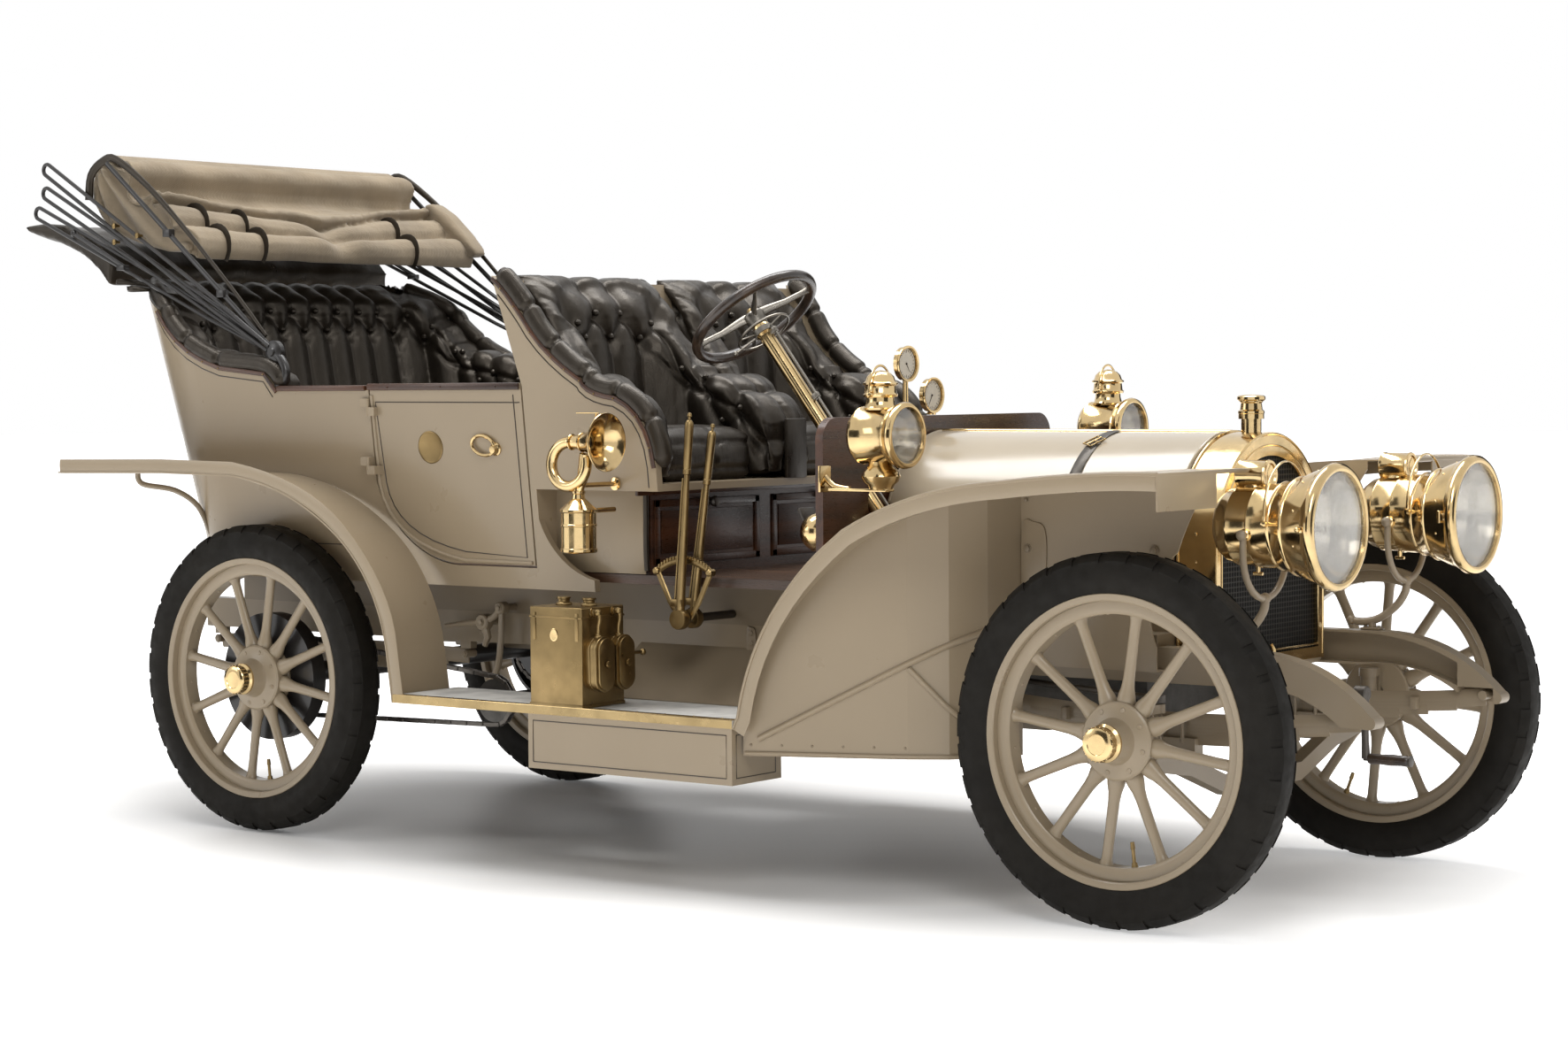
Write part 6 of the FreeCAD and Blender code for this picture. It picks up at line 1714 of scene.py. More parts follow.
    def build(self) -> None:
        """Builds the backs and cushions."""
        for side in Side:
            self.rolls(side)
        lean = -0.11
        for side in Side:
            turn = side.value
            plan = self.plan(0.330, -0.062, turn * 0.112, turn * 0.516, 0.115)
            tufting = Tufting(plan, self.front_back, lean, 1.058, 0.116, overhang=0.024)
            low, high = sorted((turn * 0.027, turn * 0.601))
            form = self.tub(self.front_back, 1.058, low, high, plan, lean, 1.058)
            label = side.name.lower()
            self.back(f"front_seat_back_{label}", "front_seat_backs", tufting, form, Stuffing(), side)
            low, high = sorted((turn * 0.116, turn * 0.512))
            self.cushion(f"front_cushion_{label}", "front_seat_cushions", (-0.050, low, 1.058), (0.246, high, 1.190), 0.010, 0.016)
        plan = self.plan(-1.095, -1.585, -0.535, 0.535, 0.170)
        tufting = Tufting(plan, self.rear_back, -0.19, 1.058, 0.098, 0.112, 0.175, 0.017, 0.012, 0.018, 0.100, 0.13)
        form = self.tub(self.rear_back, 1.058, -0.660, 0.660, plan, -0.19, 1.058)
        self.back("rear_seat_back_soft", "rear_seat_back", tufting, form, Stuffing(0.016, 5, 4.0, 0.012, 14))
        self.cushion("rear_cushion_soft", "rear_seat_cushion", (-1.572, -0.508, 1.058), (-1.084, 0.508, 1.205), 0.012, 0.018)


@dataclass
class Hood:
    """Folded canvas hood: bow roll, sagging panel and two strapped rolls, lofted across the car."""

    half: float = 0.632
    ridge: Flat = (-1.835, 2.050)
    fall: Flat = (0.795, -0.606)
    bow: float = 0.036
    strapped: float = 0.060
    stations: int = 72

    def face(self, across: float) -> list[Flat]:
        """Depth of the front face along its fall at one place across the car.

        Args:
            across: signed place, -1 at the right end to 1 at the left end.

        Returns:
            Pairs of distance down the face and height over its flat form.
        """
        far = abs(across)
        hem = 0.300 - 0.105 * far + 0.006 * math.sin(across * 9.0)
        rows = []
        for step in range(9):
            angle = math.pi * (0.10 + 0.90 * step / 8)
            rows.append((0.004 + self.bow * (1.0 - math.cos(angle)), -self.bow + self.bow * math.sin(angle) + 0.002))
        rows += [(0.082, -0.062), (0.100, -0.082), (0.125, -0.084)]
        for share in (0.25, 0.5, 0.72, 0.88):
            rows.append((0.125 + (hem - 0.125) * share, -0.084 + 0.082 * share ** 1.5))
        rows += [(hem - 0.004, 0.001), (hem + 0.010, -0.008), (hem + 0.006, -0.040), (hem, -0.066)]
        bottom = 0.462
        room = (bottom - hem - 0.010) / 2.0
        for index in range(2):
            start = hem + 0.008 + index * room
            pinch = 1.0 - 0.35 * math.exp(-(across / 0.09) ** 2)
            for step in range(7):
                angle = math.pi * step / 6
                rows.append((start + room * (1.0 - math.cos(angle)) / 2.0, -0.070 + (self.strapped + 0.006 * index) * pinch * math.sin(angle)))
        return rows

    def wave(self, across: float, index: int, count: int) -> float:
        """Small soft unevenness of the cloth."""
        soft = 0.0022 * math.sin(across * 7.0 + index * 0.5) + 0.0015 * math.sin(across * 19.0 - index * 0.9)
        gather = 0.006 * math.sin(across * 75.0 + index * 0.35) * eased(abs(across), 0.80, 0.97) * (1.0 if 9 <= index < count - 15 else 0.3)
        return soft + gather

    def bundle(self) -> None:
        """Lofts the cloth, stuffs it lightly and hangs it in its place."""
        normal = (-self.fall[1], self.fall[0])
        form = Stock()
        loops = []
        for station in range(self.stations + 1):
            across = -1.0 + 2.0 * station / self.stations
            rows = self.face(across)
            outline = []
            for index, (down, proud) in enumerate(rows):
                high = proud + self.wave(across, index, len(rows))
                outline.append((self.ridge[0] + self.fall[0] * down + normal[0] * high, self.ridge[1] + self.fall[1] * down + normal[1] * high))
            outline += [(-1.540, 1.748), (-1.640, 1.744), (-1.770, 1.774), (-1.888, 1.812), (-1.945, 1.860), (-1.982, 1.915), (-1.986, 1.965), (-1.970, 2.008), (-1.935, 2.040), (-1.890, 2.054)]
            end = 1.0 - 0.10 * eased(abs(across), 0.985, 1.0)
            middle = Vector((-1.740, 0.0, 1.900))
            loops.append([form.bm.verts.new(middle + (Vector((x, across * self.half, z)) - middle - Vector((0.0, across * self.half, 0.0))) * end + Vector((0.0, across * self.half, 0.0))) for x, z in outline])
        for first, second in zip(loops, loops[1:]):
            for index in range(len(first)):
                after = (index + 1) % len(first)
                form.bm.faces.new((first[index], first[after], second[after], second[index]))
        form.bm.faces.new(loops[0])
        form.bm.faces.new(reversed(loops[-1]))
        bmesh.ops.recalc_face_normals(form.bm, faces=form.bm.faces)
        mesh = Stuffing(0.007, 1, 1.0, 0.003, 6, 0).stuffed(form)

        def move(place: Vector, normal: Vector) -> Vector:
            """Gathers the two ends in folds that fan out from the bow."""
            away = Vector((place.x + 1.995, 2.065 - place.z))
            fold = 0.013 * min(1.0, away.length / 0.15) * math.sin(math.atan2(away.y, away.x) * 19.0)
            return normal * ((fold - 0.013) * eased(abs(normal.y), 0.5, 0.9))

        carved(mesh, move)
        made = finished(mesh, "hood_bundle_soft", CANVAS, "car", ("hood_cloth",))

    def drape(self) -> None:
        """Canvas that hangs folded from the left end of the bow over the irons."""
        stock = Stock()
        rows = ((-1.700, 1.940), (-1.640, 1.935), (-1.575, 1.905), (-1.520, 1.850), (-1.455, 1.768), (-1.470, 1.742), (-1.520, 1.752), (-1.600, 1.800), (-1.660, 1.842), (-1.705, 1.868))
        stock.slab([(x, 0.575, z) for x, z in rows], (0.0, 0.058, 0.0), 0.0)
        mesh = Stuffing(0.009, 4, 1.0, 0.003, 6, 0).stuffed(stock)

        def move(place: Vector, normal: Vector) -> Vector:
            """Lays long folds down the canvas."""
            run = (place.x + 1.700) * 0.606 + (place.z - 1.940) * 0.795
            return normal * (0.006 * math.sin(run * 95.0) - 0.004)

        carved(mesh, move, 1)
        made = finished(mesh, "hood_side_drape", CANVAS, "car", ())

    def build(self) -> None:
        """Builds the folded hood."""
        self.bundle()
        self.drape()


# ---------------------------------------------------------------- body trim
def arched(points: Sequence[Point], rounds: int = 5) -> list[Point]:
    """Points of a side outline whose rows may hold a via point of an arc.

    Args:
        points: X and Z, with a third and fourth value where an arc passes a via point first.
        rounds: points laid on each arc.

    Returns:
        Pairs of X and Z.
    """
    laid: list[Point] = []
    for row in points:
        if len(row) == 2:
            laid.append((row[0], row[1]))
            continue
        (x0, z0), (x1, z1), (x2, z2) = laid[-1], (row[2], row[3]), (row[0], row[1])
        for step in range(1, rounds + 1):
            t = step / rounds
            mid = (2 * x1 - (x0 + x2) / 2, 2 * z1 - (z0 + z2) / 2)
            laid.append(((1 - t) ** 2 * x0 + 2 * t * (1 - t) * mid[0] + t * t * x2, (1 - t) ** 2 * z0 + 2 * t * (1 - t) * mid[1] + t * t * z2))
    return laid


SEAT_EDGE = arched(((0.315, 1.045), (0.315, 1.100), (0.190, 1.295, 0.280, 1.225), (0.075, 1.343, 0.110, 1.313), (-0.115, 1.515, -0.040, 1.425), (-0.217, 1.628, -0.175, 1.590)))
TONNEAU_EDGE = arched(((-0.160, 1.315), (-1.120, 1.315), (-1.168, 1.370), (-1.360, 1.390), (-1.640, 1.565, -1.515, 1.455), (-1.850, 1.680)))
DOOR_EDGE = arched(((-0.160, 1.300), (-0.160, 0.830), (-0.415, 0.830), (-0.725, 1.045, -0.638, 0.905), (-0.728, 1.300), (-0.160, 1.300)), 8)
FRONT_GUARD = arched(((0.752, 0.440), (0.768, 0.470), (1.103, 0.957, 0.877, 0.735), (1.570, 1.086, 1.320, 1.044), (2.008, 1.1105, 1.810, 1.107)), 10)
REAR_GUARD = arched(((-0.458, 0.440), (-0.480, 0.590), (-0.671, 0.904, -0.534, 0.745), (-1.104, 1.069, -0.848, 1.006), (-1.410, 1.074), (-1.862, 1.069)), 8)


def inset(path: Sequence[Flat], by: float) -> list[Flat]:
    """Moves a side-view path sideways, to the right of its run.

    Args:
        path: pairs of X and Z.
        by: how far.

    Returns:
        The new pairs.
    """
    rows = []
    for index, (x, z) in enumerate(path):
        ahead = Vector(path[min(index + 1, len(path) - 1)])
        behind = Vector(path[max(index - 1, 0)])
        leg = (ahead - behind).normalized()
        rows.append((x + leg.y * by, z - leg.x * by))
    return rows


@dataclass
class BodyTrim:
    """Coachlines, mouldings, cap rails, nails, ring handles and round door bosses."""

    line: float = 0.0016
    rail: float = 0.007

    def lines(self, side: Side) -> None:
        """Dark coachlines on the body and the door."""
        body, door = Skin("front_body", "rear_body"), Skin(f"door_{side.name.lower()}")
        stock = Stock()
        paths = (inset(SEAT_EDGE, -0.030), ((-0.120, 1.56), (-0.120, 0.87), (-0.02, 0.87), (0.02, 0.84)), ((0.290, 1.060), (-0.115, 1.060)),
                 ((-0.752, 1.285), (-1.110, 1.285)), inset(TONNEAU_EDGE[1:], -0.030), ((-0.752, 0.860), (-1.400, 0.860), (-1.640, 0.860)))
        for path in paths:
            laid = body.drape(path, side, 0.0006)
            if len(laid) > 2:
                stock.pipe(laid, self.line, 6)
        stock.piece(f"coachlines_{side.name.lower()}", LINE)
        stock = Stock()
        laid = door.drape(inset(DOOR_EDGE, 0.022), side, 0.0006)
        if len(laid) > 2:
            stock.pipe(laid, self.line, 6)
        stock.piece(f"door_coachline_{side.name.lower()}", LINE, f"door_{side.name.lower()}")
        stock = Stock()
        moulding = door.drape(inset(DOOR_EDGE[1:-1], -0.004), side, 0.001)
        if len(moulding) > 2:
            stock.pipe(moulding, 0.0055, 10)
        stock.piece(f"door_moulding_{side.name.lower()}", PAINT, f"door_{side.name.lower()}")

    def rails(self, side: Side) -> None:
        """Wooden beads with nails under the leather rolls, and the rail along the waist."""
        body = Skin("front_body", "rear_body")
        stock, nails = Stock(), Stock()
        for edge in (SEAT_EDGE[1:], TONNEAU_EDGE[1:]):
            laid = body.drape(inset(edge, -0.006), side, 0.003)
            if len(laid) > 2:
                stock.pipe(laid, self.rail, 10, flat=0.6, lean=(0.0, 1.0, 0.0))
                spaced = body.drape(inset(edge, -0.006), side, 0.0075)
                run = 0.0
                for first, second in zip(spaced, spaced[1:]):
                    run += (second - first).length
                    if run > 0.055:
                        nails.ball(second, 0.0030, (1.0, 1.0, 1.0), 8)
                        run = 0.0
        y = side.value * 0.662
        low, high = sorted((y - side.value * 0.022, y + side.value * 0.008))
        stock.block((-1.118, low, 1.313), (-0.752, high, 1.329), 0.004)
        stock.piece(f"body_rails_{side.name.lower()}", MAHOGANY)
        nails.piece(f"rail_nails_{side.name.lower()}", OLD_BRASS)
        top = Stock()
        low, high = sorted((side.value * 0.632, side.value * 0.669))
        top.block((-0.745, low, 1.3135), (-0.153, high, 1.3335), 0.005)
        for x in (-0.66, -0.45, -0.24):
            top.ball((x, side.value * 0.669, 1.323), 0.0032, (1.0, 1.0, 1.0), 8)
        top.piece(f"door_rail_{side.name.lower()}", MAHOGANY, f"door_{side.name.lower()}")

    def handle(self, side: Side) -> None:
        """Brass ring handle on its oval plate."""
        door = Skin(f"door_{side.name.lower()}")
        found = door.touch((-0.275, side.value * 1.2, 1.150), (0.0, -side.value, 0.0))
        if found is None:
            return
        at, normal = found
        ring, plate = [], Stock()
        for step in range(40):
            angle = math.tau * step / 40
            along, over = 0.044 * math.cos(angle) - 0.030, 0.027 * math.sin(angle)
            ring.append((at.x + along * 0.97 + over * 0.22, at.y + side.value * 0.0095, at.z - along * 0.22 + over * 0.97))
        plate.pipe(ring, 0.0050, 10, closed=True)
        place = facing(normal, (at.x + 0.012, at.y, at.z - 0.003))
        plate.moved(place.inverted())
        plate.turned(((-0.001, 0.0), (-0.001, 0.019), (0.003, 0.019), (0.005, 0.015), (0.013, 0.011), (0.018, 0.010), (0.020, 0.0)), (0.0, 0.0, 0.0), segments=32)
        plate.piece(f"door_ring_{side.name.lower()}", BRASS, f"door_{side.name.lower()}", (), 0.6, place)
        found = door.touch((-0.515, side.value * 1.2, 1.150), (0.0, -side.value, 0.0))
        boss = Stock()
        boss.turned(((-0.001, 0.0), (-0.001, 0.047), (0.0025, 0.047), (0.0035, 0.044), (0.0022, 0.040), (0.0022, 0.0)), (0.0, 0.0, 0.0), segments=48)
        boss.piece(f"door_boss_{side.name.lower()}", OLD_BRASS, f"door_{side.name.lower()}", (), 0.5, facing(found[1], found[0]))

    def build(self) -> None:
        """Builds the trim on both sides."""
        for side in Side:
            self.lines(side)
            self.rails(side)
            self.handle(side)


@dataclass
class GuardTrim:
    """Rolled edges, piping, rivets and stays of the mudguards, and edging of the boards."""

    outer: float = 0.8630
    inner: float = 0.424

    def build(self) -> None:
        """Builds the trim on both sides."""
        for side in Side:
            turn = side.value
            bead, dark, strip, rivets = Stock(), Stock(), Stock(), Stock()
            front = [(x, turn * self.outer, z - 0.002) for x, z in FRONT_GUARD]
            bead.pipe(front, 0.0062, 10)
            for edge, turned in ((FRONT_GUARD, 0.021), (REAR_GUARD, 0.019)):
                bead.pipe([(x, turn * 0.8655, z) for x, z in inset(edge, turned)], 0.021, 10, flat=0.16, lean=(0.0, 1.0, 0.0))
            rear = [(x, turn * self.outer, z + 0.002) for x, z in REAR_GUARD]
            bead.pipe(rear + [(-1.8665, turn * 0.850, 1.0705)] + [(-1.8665, turn * 0.66, 1.0705)], 0.0058, 10)
            bead.pipe([(2.008, turn * self.outer, 1.106), (2.009, turn * 0.60, 1.108), (2.009, turn * 0.43, 1.108)], 0.0052, 10)
            skin = Skin("front_mudguards")
            for path, radius in (([(0.765 + 0.033 * step, 0.3735) for step in range(18)], 0.0055),
                                 ([(0.800 + 0.027 * step, 0.412 + 0.0148 * step) for step in range(20)], 0.0085),
                                 ([(1.165 + 0.012 * step, 0.600 - 0.0145 * step) for step in range(11)], 0.0070)):
                laid = skin.drape(path, side, 0.002)
                if len(laid) > 2:
                    bead.pipe(laid, radius, 10)
            plate = smooth_path(((1.356, 0.955), (1.392, 0.968), (1.424, 0.950), (1.428, 0.860), (1.410, 0.770), (1.380, 0.738), (1.356, 0.745)), 4, True)
            bead.slab([(x, turn * (self.inner - 0.001), z) for x, z in plate], (0.0, turn * 0.005, 0.0), 0.001)
            bead.piece(f"guard_beads_{side.name.lower()}", PAINT)
            inner = [(x, turn * (self.inner + 0.006), z - 0.016) for x, z in FRONT_GUARD if 1.35 < x < 1.91]
            dark.pipe(inner, 0.0032, 8)
            for x, _, z in inner[::3]:
                rivets.rivet((x, turn * (self.inner + 0.004), z - 0.016), (0.0, turn, 0.0), 0.0055)
            dark.piece(f"guard_piping_{side.name.lower()}", LINE)
            for x, z in ((1.405, 0.795), (1.382, 0.765), (1.372, 0.900)):
                rivets.bolt((x, turn * (self.inner + 0.004), z), (0.0, turn, 0.0), 0.009, 0.006)
            for shift in ((0.0, 0.0), (0.034, -0.030), (-0.028, -0.052)):
                rivets.bolt((1.745 + shift[0], turn * (self.inner + 0.003), 0.905 + shift[1]), (0.0, turn, 0.0), 0.009, 0.007)
            for at in skin.drape([(0.78 + index * 0.075, 0.395) for index in range(6)], side, 0.0):
                rivets.rivet(at, (0.0, turn, 0.0), 0.004)
            rivets.piece(f"guard_rivets_{side.name.lower()}", FRAME_PAINT)
            low, high = sorted((turn * 0.8645, turn * 0.8697))
            strip.block((-0.457, low, 0.448), (0.751, high, 0.4625), 0.0015)
            low, high = sorted((turn * 0.848, turn * 0.8655))
            strip.block((-0.457, low, 0.4595), (0.751, high, 0.4625), 0.001)
            for index in range(13):
                strip.rivet((-0.43 + index * 0.095, turn * 0.857, 0.4622), UP, 0.0035)
            strip.piece(f"board_edging_{side.name.lower()}", BRASS)
            self.box_lines(side)
            self.valance(side)
            stay = Stock()
            stay.pipe(smooth_path(((-1.700, turn * 0.700, 1.068), (-1.690, turn * 0.690, 1.030), (-1.600, turn * 0.640, 1.010), (-1.540, turn * 0.600, 0.960), (-1.525, turn * 0.560, 0.870)), 6), 0.0085, 10)
            stay.block((-1.725, min(turn * 0.685, turn * 0.715), 1.063), (-1.675, max(turn * 0.685, turn * 0.715), 1.0685), 0.001)
            stay.piece(f"guard_stay_{side.name.lower()}", FRAME_PAINT)

    def valance(self, side: Side) -> None:
        """Painted cover of the sloping valance, with the bolted lever plate above it."""
        turn = side.value
        stock = Stock()
        rows = ((0.599, 0.4620), (0.3860, 0.5950), (0.3860, 0.5970), (0.599, 0.4640))
        stock.slab([(0.050, turn * y, z) for y, z in rows], (0.700, 0.0, 0.0), 0.0)
        outline = smooth_path(((0.432, 0.650), (0.446, 0.655), (0.460, 0.648), (0.462, 0.600), (0.450, 0.540), (0.444, 0.505), (0.434, 0.505), (0.432, 0.560)), 3, True)
        stock.slab([(x, turn * 0.3865, z) for x, z in outline], (0.0, turn * 0.006, 0.0), 0.001)
        for x, z in ((0.447, 0.640), (0.448, 0.612), (0.500, 0.640), (0.502, 0.605)):
            stock.bolt((x, turn * 0.3915, z), (0.0, turn, 0.0), 0.0085, 0.006)
        stock.piece(f"valance_{side.name.lower()}", FRAME_PAINT)

    def box_lines(self, side: Side) -> None:
        """Coachlines on the side and the end of an underslung box."""
        turn = side.value
        stock = Stock()
        y = turn * 0.8686
        corners = ((0.067, 0.308), (0.732, 0.308), (0.732, 0.420), (0.067, 0.420), (0.067, 0.308))
        stock.pipe([(x, y, z) for x, z in corners], 0.0014, 6)
        corners = ((0.684, 0.308), (0.850, 0.308), (0.850, 0.420), (0.684, 0.420), (0.684, 0.308))
        stock.pipe([(0.7505, turn * yy, z) for yy, z in corners], 0.0014, 6)
        stock.piece(f"box_lines_{side.name.lower()}", LINE)


# ---------------------------------------------------------------- nose
@dataclass
class Nose:
    """Radiator trim, filler, bonnet beads and the bonnet strap."""

    half: float = 0.292
    arch: float = 0.900

    def over(self, grow: float, start: float = 0.0, end: float = 180.0, steps: int = 40) -> list[Flat]:
        """Y and Z pairs over the bonnet's round top.

        Args:
            grow: height above the skin.
            start: first angle from the right, in degrees.
            end: last angle.
            steps: how many legs.

        Returns:
            The pairs.
        """
        rows = []
        for step in range(steps + 1):
            angle = math.radians(start + (end - start) * step / steps)
            rows.append((-(self.half + grow) * math.cos(angle), self.arch + (self.half + grow) * math.sin(angle)))
        return rows

    def radiator(self) -> None:
        """Adds beads, rivets, side strips and the filler to the radiator."""
        stock = Stock()
        for x, grow in ((1.8405, -0.0045), (1.7345, 0.001)):
            around = [(x, -self.half - grow, 0.600)] + [(x, y, z) for y, z in self.over(grow)] + [(x, self.half + grow, 0.600)]
            stock.pipe(around, 0.0042, 10)
        around = [(x, y, z) for x, y, z in [(1.8415, -0.259, 0.628)] + [(1.8415, y, z) for y, z in self.over(-0.033)] + [(1.8415, 0.259, 0.628)]]
        stock.pipe(around + [(1.8415, -0.259, 0.628)], 0.0032, 8)
        for side in (-1.0, 1.0):
            for index in range(5):
                stock.rivet((1.787, side * 0.292, 0.66 + index * 0.07), (0.0, side, 0.0), 0.0045)
        stock.turned(((0.0, 0.030), (0.004, 0.034), (0.010, 0.034), (0.014, 0.029), (0.030, 0.027), (0.034, 0.030), (0.038, 0.030), (0.040, 0.0)), (1.785, 0.0, 1.236), UP, 40)
        stock.turned(((0.036, 0.0), (0.036, 0.033), (0.040, 0.0365), (0.047, 0.0365), (0.050, 0.033), (0.052, 0.020), (0.053, 0.0)), (1.785, 0.0, 1.236), UP, 40)
        stock.pipe([(1.842, 0.0, 0.642), (1.850, 0.0, 0.630), (1.850, 0.0, 0.604)], 0.006, 10)
        stock.piece("radiator_trim", BRASS)

    def strap(self) -> None:
        """Leather strap over both bonnet halves, with its buckle."""
        for side in Side:
            turn = side.value
            stock = Stock()
            rows = [(1.392, turn * abs(y), z) for y, z in self.over(0.0025, 20.5, 86.5, 26)]
            stock.pipe(rows, 0.017, 8, flat=0.13, lean=(0.0, turn, 0.4))
            stock.piece(f"bonnet_strap_{side.name.lower()}", HIDE, f"bonnet_{side.name.lower()}")
            if side is Side.RIGHT:
                angle = math.radians(64.0)
                at = (1.392, turn * (self.half + 0.007) * math.cos(angle), self.arch + (self.half + 0.007) * math.sin(angle))
                out = (0.0, turn * math.cos(angle), math.sin(angle))
                buckle = Stock()
                frame_path = [(0.0, y, z) for y, z in ((-0.024, -0.017), (0.024, -0.017), (0.024, 0.017), (-0.024, 0.017), (-0.024, -0.017))]
                buckle.pipe(frame_path, 0.0026, 8)
                buckle.bar((0.001, -0.024, 0.0), (0.001, 0.024, 0.0), 0.0022)
                buckle.bar((0.002, 0.0, -0.019), (0.002, 0.0, 0.004), 0.0018)
                buckle.piece("strap_buckle", BRASS, "bonnet_right", (), 0.6, facing(out, at))

    def edges(self) -> None:
        """Beads at the ends of the bonnet halves."""
        for side in Side:
            turn = side.value
            stock = Stock()
            for x in (0.831, 1.719):
                stock.pipe([(x, turn * abs(y), z) for y, z in self.over(0.0004, 21.0, 86.0, 24)], 0.0035, 8)
            stock.piece(f"bonnet_beads_{side.name.lower()}", LIT_BONNET_PAINT, f"bonnet_{side.name.lower()}")

    def build(self) -> None:
        """Builds the nose's trim."""
        self.radiator()
        self.strap()
        self.edges()


@dataclass
class BrakeGear:
    """Painted brake levers, rods and brackets below the doors, and the chains' links."""

    depth: float = 0.440

    def build(self) -> None:
        """Builds the gear of both sides."""
        for side in Side:
            y = side.value * self.depth
            out = (0.0, side.value, 0.0)
            stock = Stock()
            for x, z, radius in ((-0.502, 0.635, 0.024), (-0.432, 0.679, 0.018)):
                stock.bar((x, side.value * 0.386, z), (x, y + side.value * 0.010, z), 0.011)
                stock.turned(((-0.014, 0.0), (-0.014, radius), (0.010, radius), (0.014, radius - 0.004), (0.014, 0.0)), (x, y, z), out, 24)
                stock.bolt((x, y + side.value * 0.014, z), out, 0.009, 0.007)
            stock.pipe([(-0.502, y, 0.635), (-0.465, y, 0.650), (-0.432, y, 0.679)], 0.010, 10)
            stock.pipe(smooth_path(((-0.432, y, 0.679), (-0.436, y, 0.600), (-0.446, y, 0.520), (-0.466, y, 0.478), (-0.490, y, 0.464)), 5), 0.0095, 10)
            stock.pipe([(-0.502, y, 0.635), (-0.560, y, 0.630), (-0.655, y, 0.617)], [0.013, 0.009, 0.007], 10)
            stock.pipe([(-0.502, y, 0.635), (-0.488, y, 0.590), (-0.500, y, 0.565)], [0.015, 0.011, 0.008], 10)
            for x, z in ((-0.575, 0.640), (-0.560, 0.600), (-0.250, 0.640), (-0.235, 0.600)):
                stock.bolt((x, side.value * 0.3855, z), out, 0.008, 0.006)
            stock.piece(f"brake_levers_{side.name.lower()}", FRAME_PAINT)
        links = Stock()
        for side in Side:
            self.chain(links, side)
        links.piece("chain_links", DARK_STEEL, "car", ("drive_chains",))

    def chain(self, stock: Stock, side: Side) -> None:
        """Lays the links of one chain round its two wheels.

        Args:
            stock: what they are added to.
            side: the side of the car.
        """
        around: list[Vector] = []
        for (x, z), radius, first in (((-1.170, 0.460), 0.121, 90.0), ((-0.340, 0.425), 0.0695, -90.0)):
            for step in range(25):
                angle = math.radians(first + 180.0 * step / 24)
                around.append(Vector((x + radius * math.cos(angle), side.value * 0.573, z + radius * math.sin(angle))))
        around.append(around[0])
        total = sum((second - first).length for first, second in zip(around, around[1:]))
        count = round(total / 0.0315)
        marks, run, index = [], 0.0, 0
        for link in range(count + 1):
            want = total * link / count
            while index < len(around) - 2 and run + (around[index + 1] - around[index]).length < want:
                run += (around[index + 1] - around[index]).length
                index += 1
            leg = around[index + 1] - around[index]
            marks.append(around[index] + leg * min(1.0, (want - run) / leg.length))
        for link, (first, second) in enumerate(zip(marks, marks[1:])):
            leg = second - first
            turn = Matrix.Translation((first + second) / 2.0) @ Matrix.Rotation(-math.atan2(leg.z, leg.x), 4, "Y")
            gap = 0.0050 if link % 2 else 0.0080
            for sign in (-1.0, 1.0):
                low, high = sorted((sign * gap, sign * (gap + 0.0022)))
                stock.block((-leg.length / 2 - 0.005, low, -0.0062), (leg.length / 2 + 0.005, high, 0.0062), 0.002, turn, 1)
            stock.bar((first.x, first.y - 0.0106, first.z), (first.x, first.y + 0.0106, first.z), 0.0042)


@dataclass
class LeafSprings:
    """Leaf packs of the four springs with eyes, clips and axle bolts."""

    front_seat: float = 0.434
    rear_seat: float = 0.4905
    front_eye: float = 0.506
    rear_eye: float = 0.530
    pack: float = 0.044

    def leaves(self, middle: float, half: float, seat: float, eye: float, pack: float, count: int) -> Stock:
        """Stacks the leaves of one right-hand spring.

        Args:
            middle: X of its middle.
            half: half its length.
            seat: underside at its middle.
            eye: height of its eyes.
            pack: height of the stack.
            count: how many leaves.

        Returns:
            The stock.
        """
        stock = Stock()
        step = pack / count
        drop = (eye - 0.002) - (seat + pack)
        for index in range(count):
            reach = half * (1.0 - 0.16 * (count - 1 - index))
            rows = []
            for tick in range(17):
                x = -reach + 2 * reach * tick / 16
                rows.append((middle + x, -0.357, seat + step * (index + 0.5) + drop * (x / half) ** 2))
            stock.pipe(rows, 0.0225, 8, flat=step * 0.46 / 0.0225, lean=(0.0, 1.0, 0.0))
        for sign in (-1.0, 1.0):
            stock.bar((middle + sign * half, -0.378, eye), (middle + sign * half, -0.334, eye), 0.0125)
            stock.bolt((middle + sign * half, -0.3785, eye), (0.0, -1.0, 0.0), 0.010, 0.005)
            x = sign * half * 0.62
            z = seat + pack + drop * (x / half) ** 2
            stock.block((middle + x - 0.009, -0.3785, z - step * 3.2), (middle + x + 0.009, -0.3325, z + 0.003), 0.001)
        for sign in (-0.030, 0.030):
            for y in (-0.376, -0.335):
                stock.bar((middle + sign, y, seat - 0.014), (middle + sign, y, seat + pack + 0.010), 0.005)
        stock.block((middle - 0.045, -0.3785, seat + pack), (middle + 0.045, -0.3325, seat + pack + 0.006), 0.001)
        return stock

    def build(self) -> None:
        """Builds the four springs."""
        fronts = self.leaves(1.765, 0.510, self.front_seat, self.front_eye, self.pack, 5)
        rears = self.leaves(-1.170, 0.530, self.rear_seat, self.rear_eye, self.pack, 5)
        for label, stock in (("front", fronts), ("rear", rears)):
            stock.mirrored()
            stock.piece(f"{label}_springs", FRAME_PAINT, "car", ("leaf_springs",))


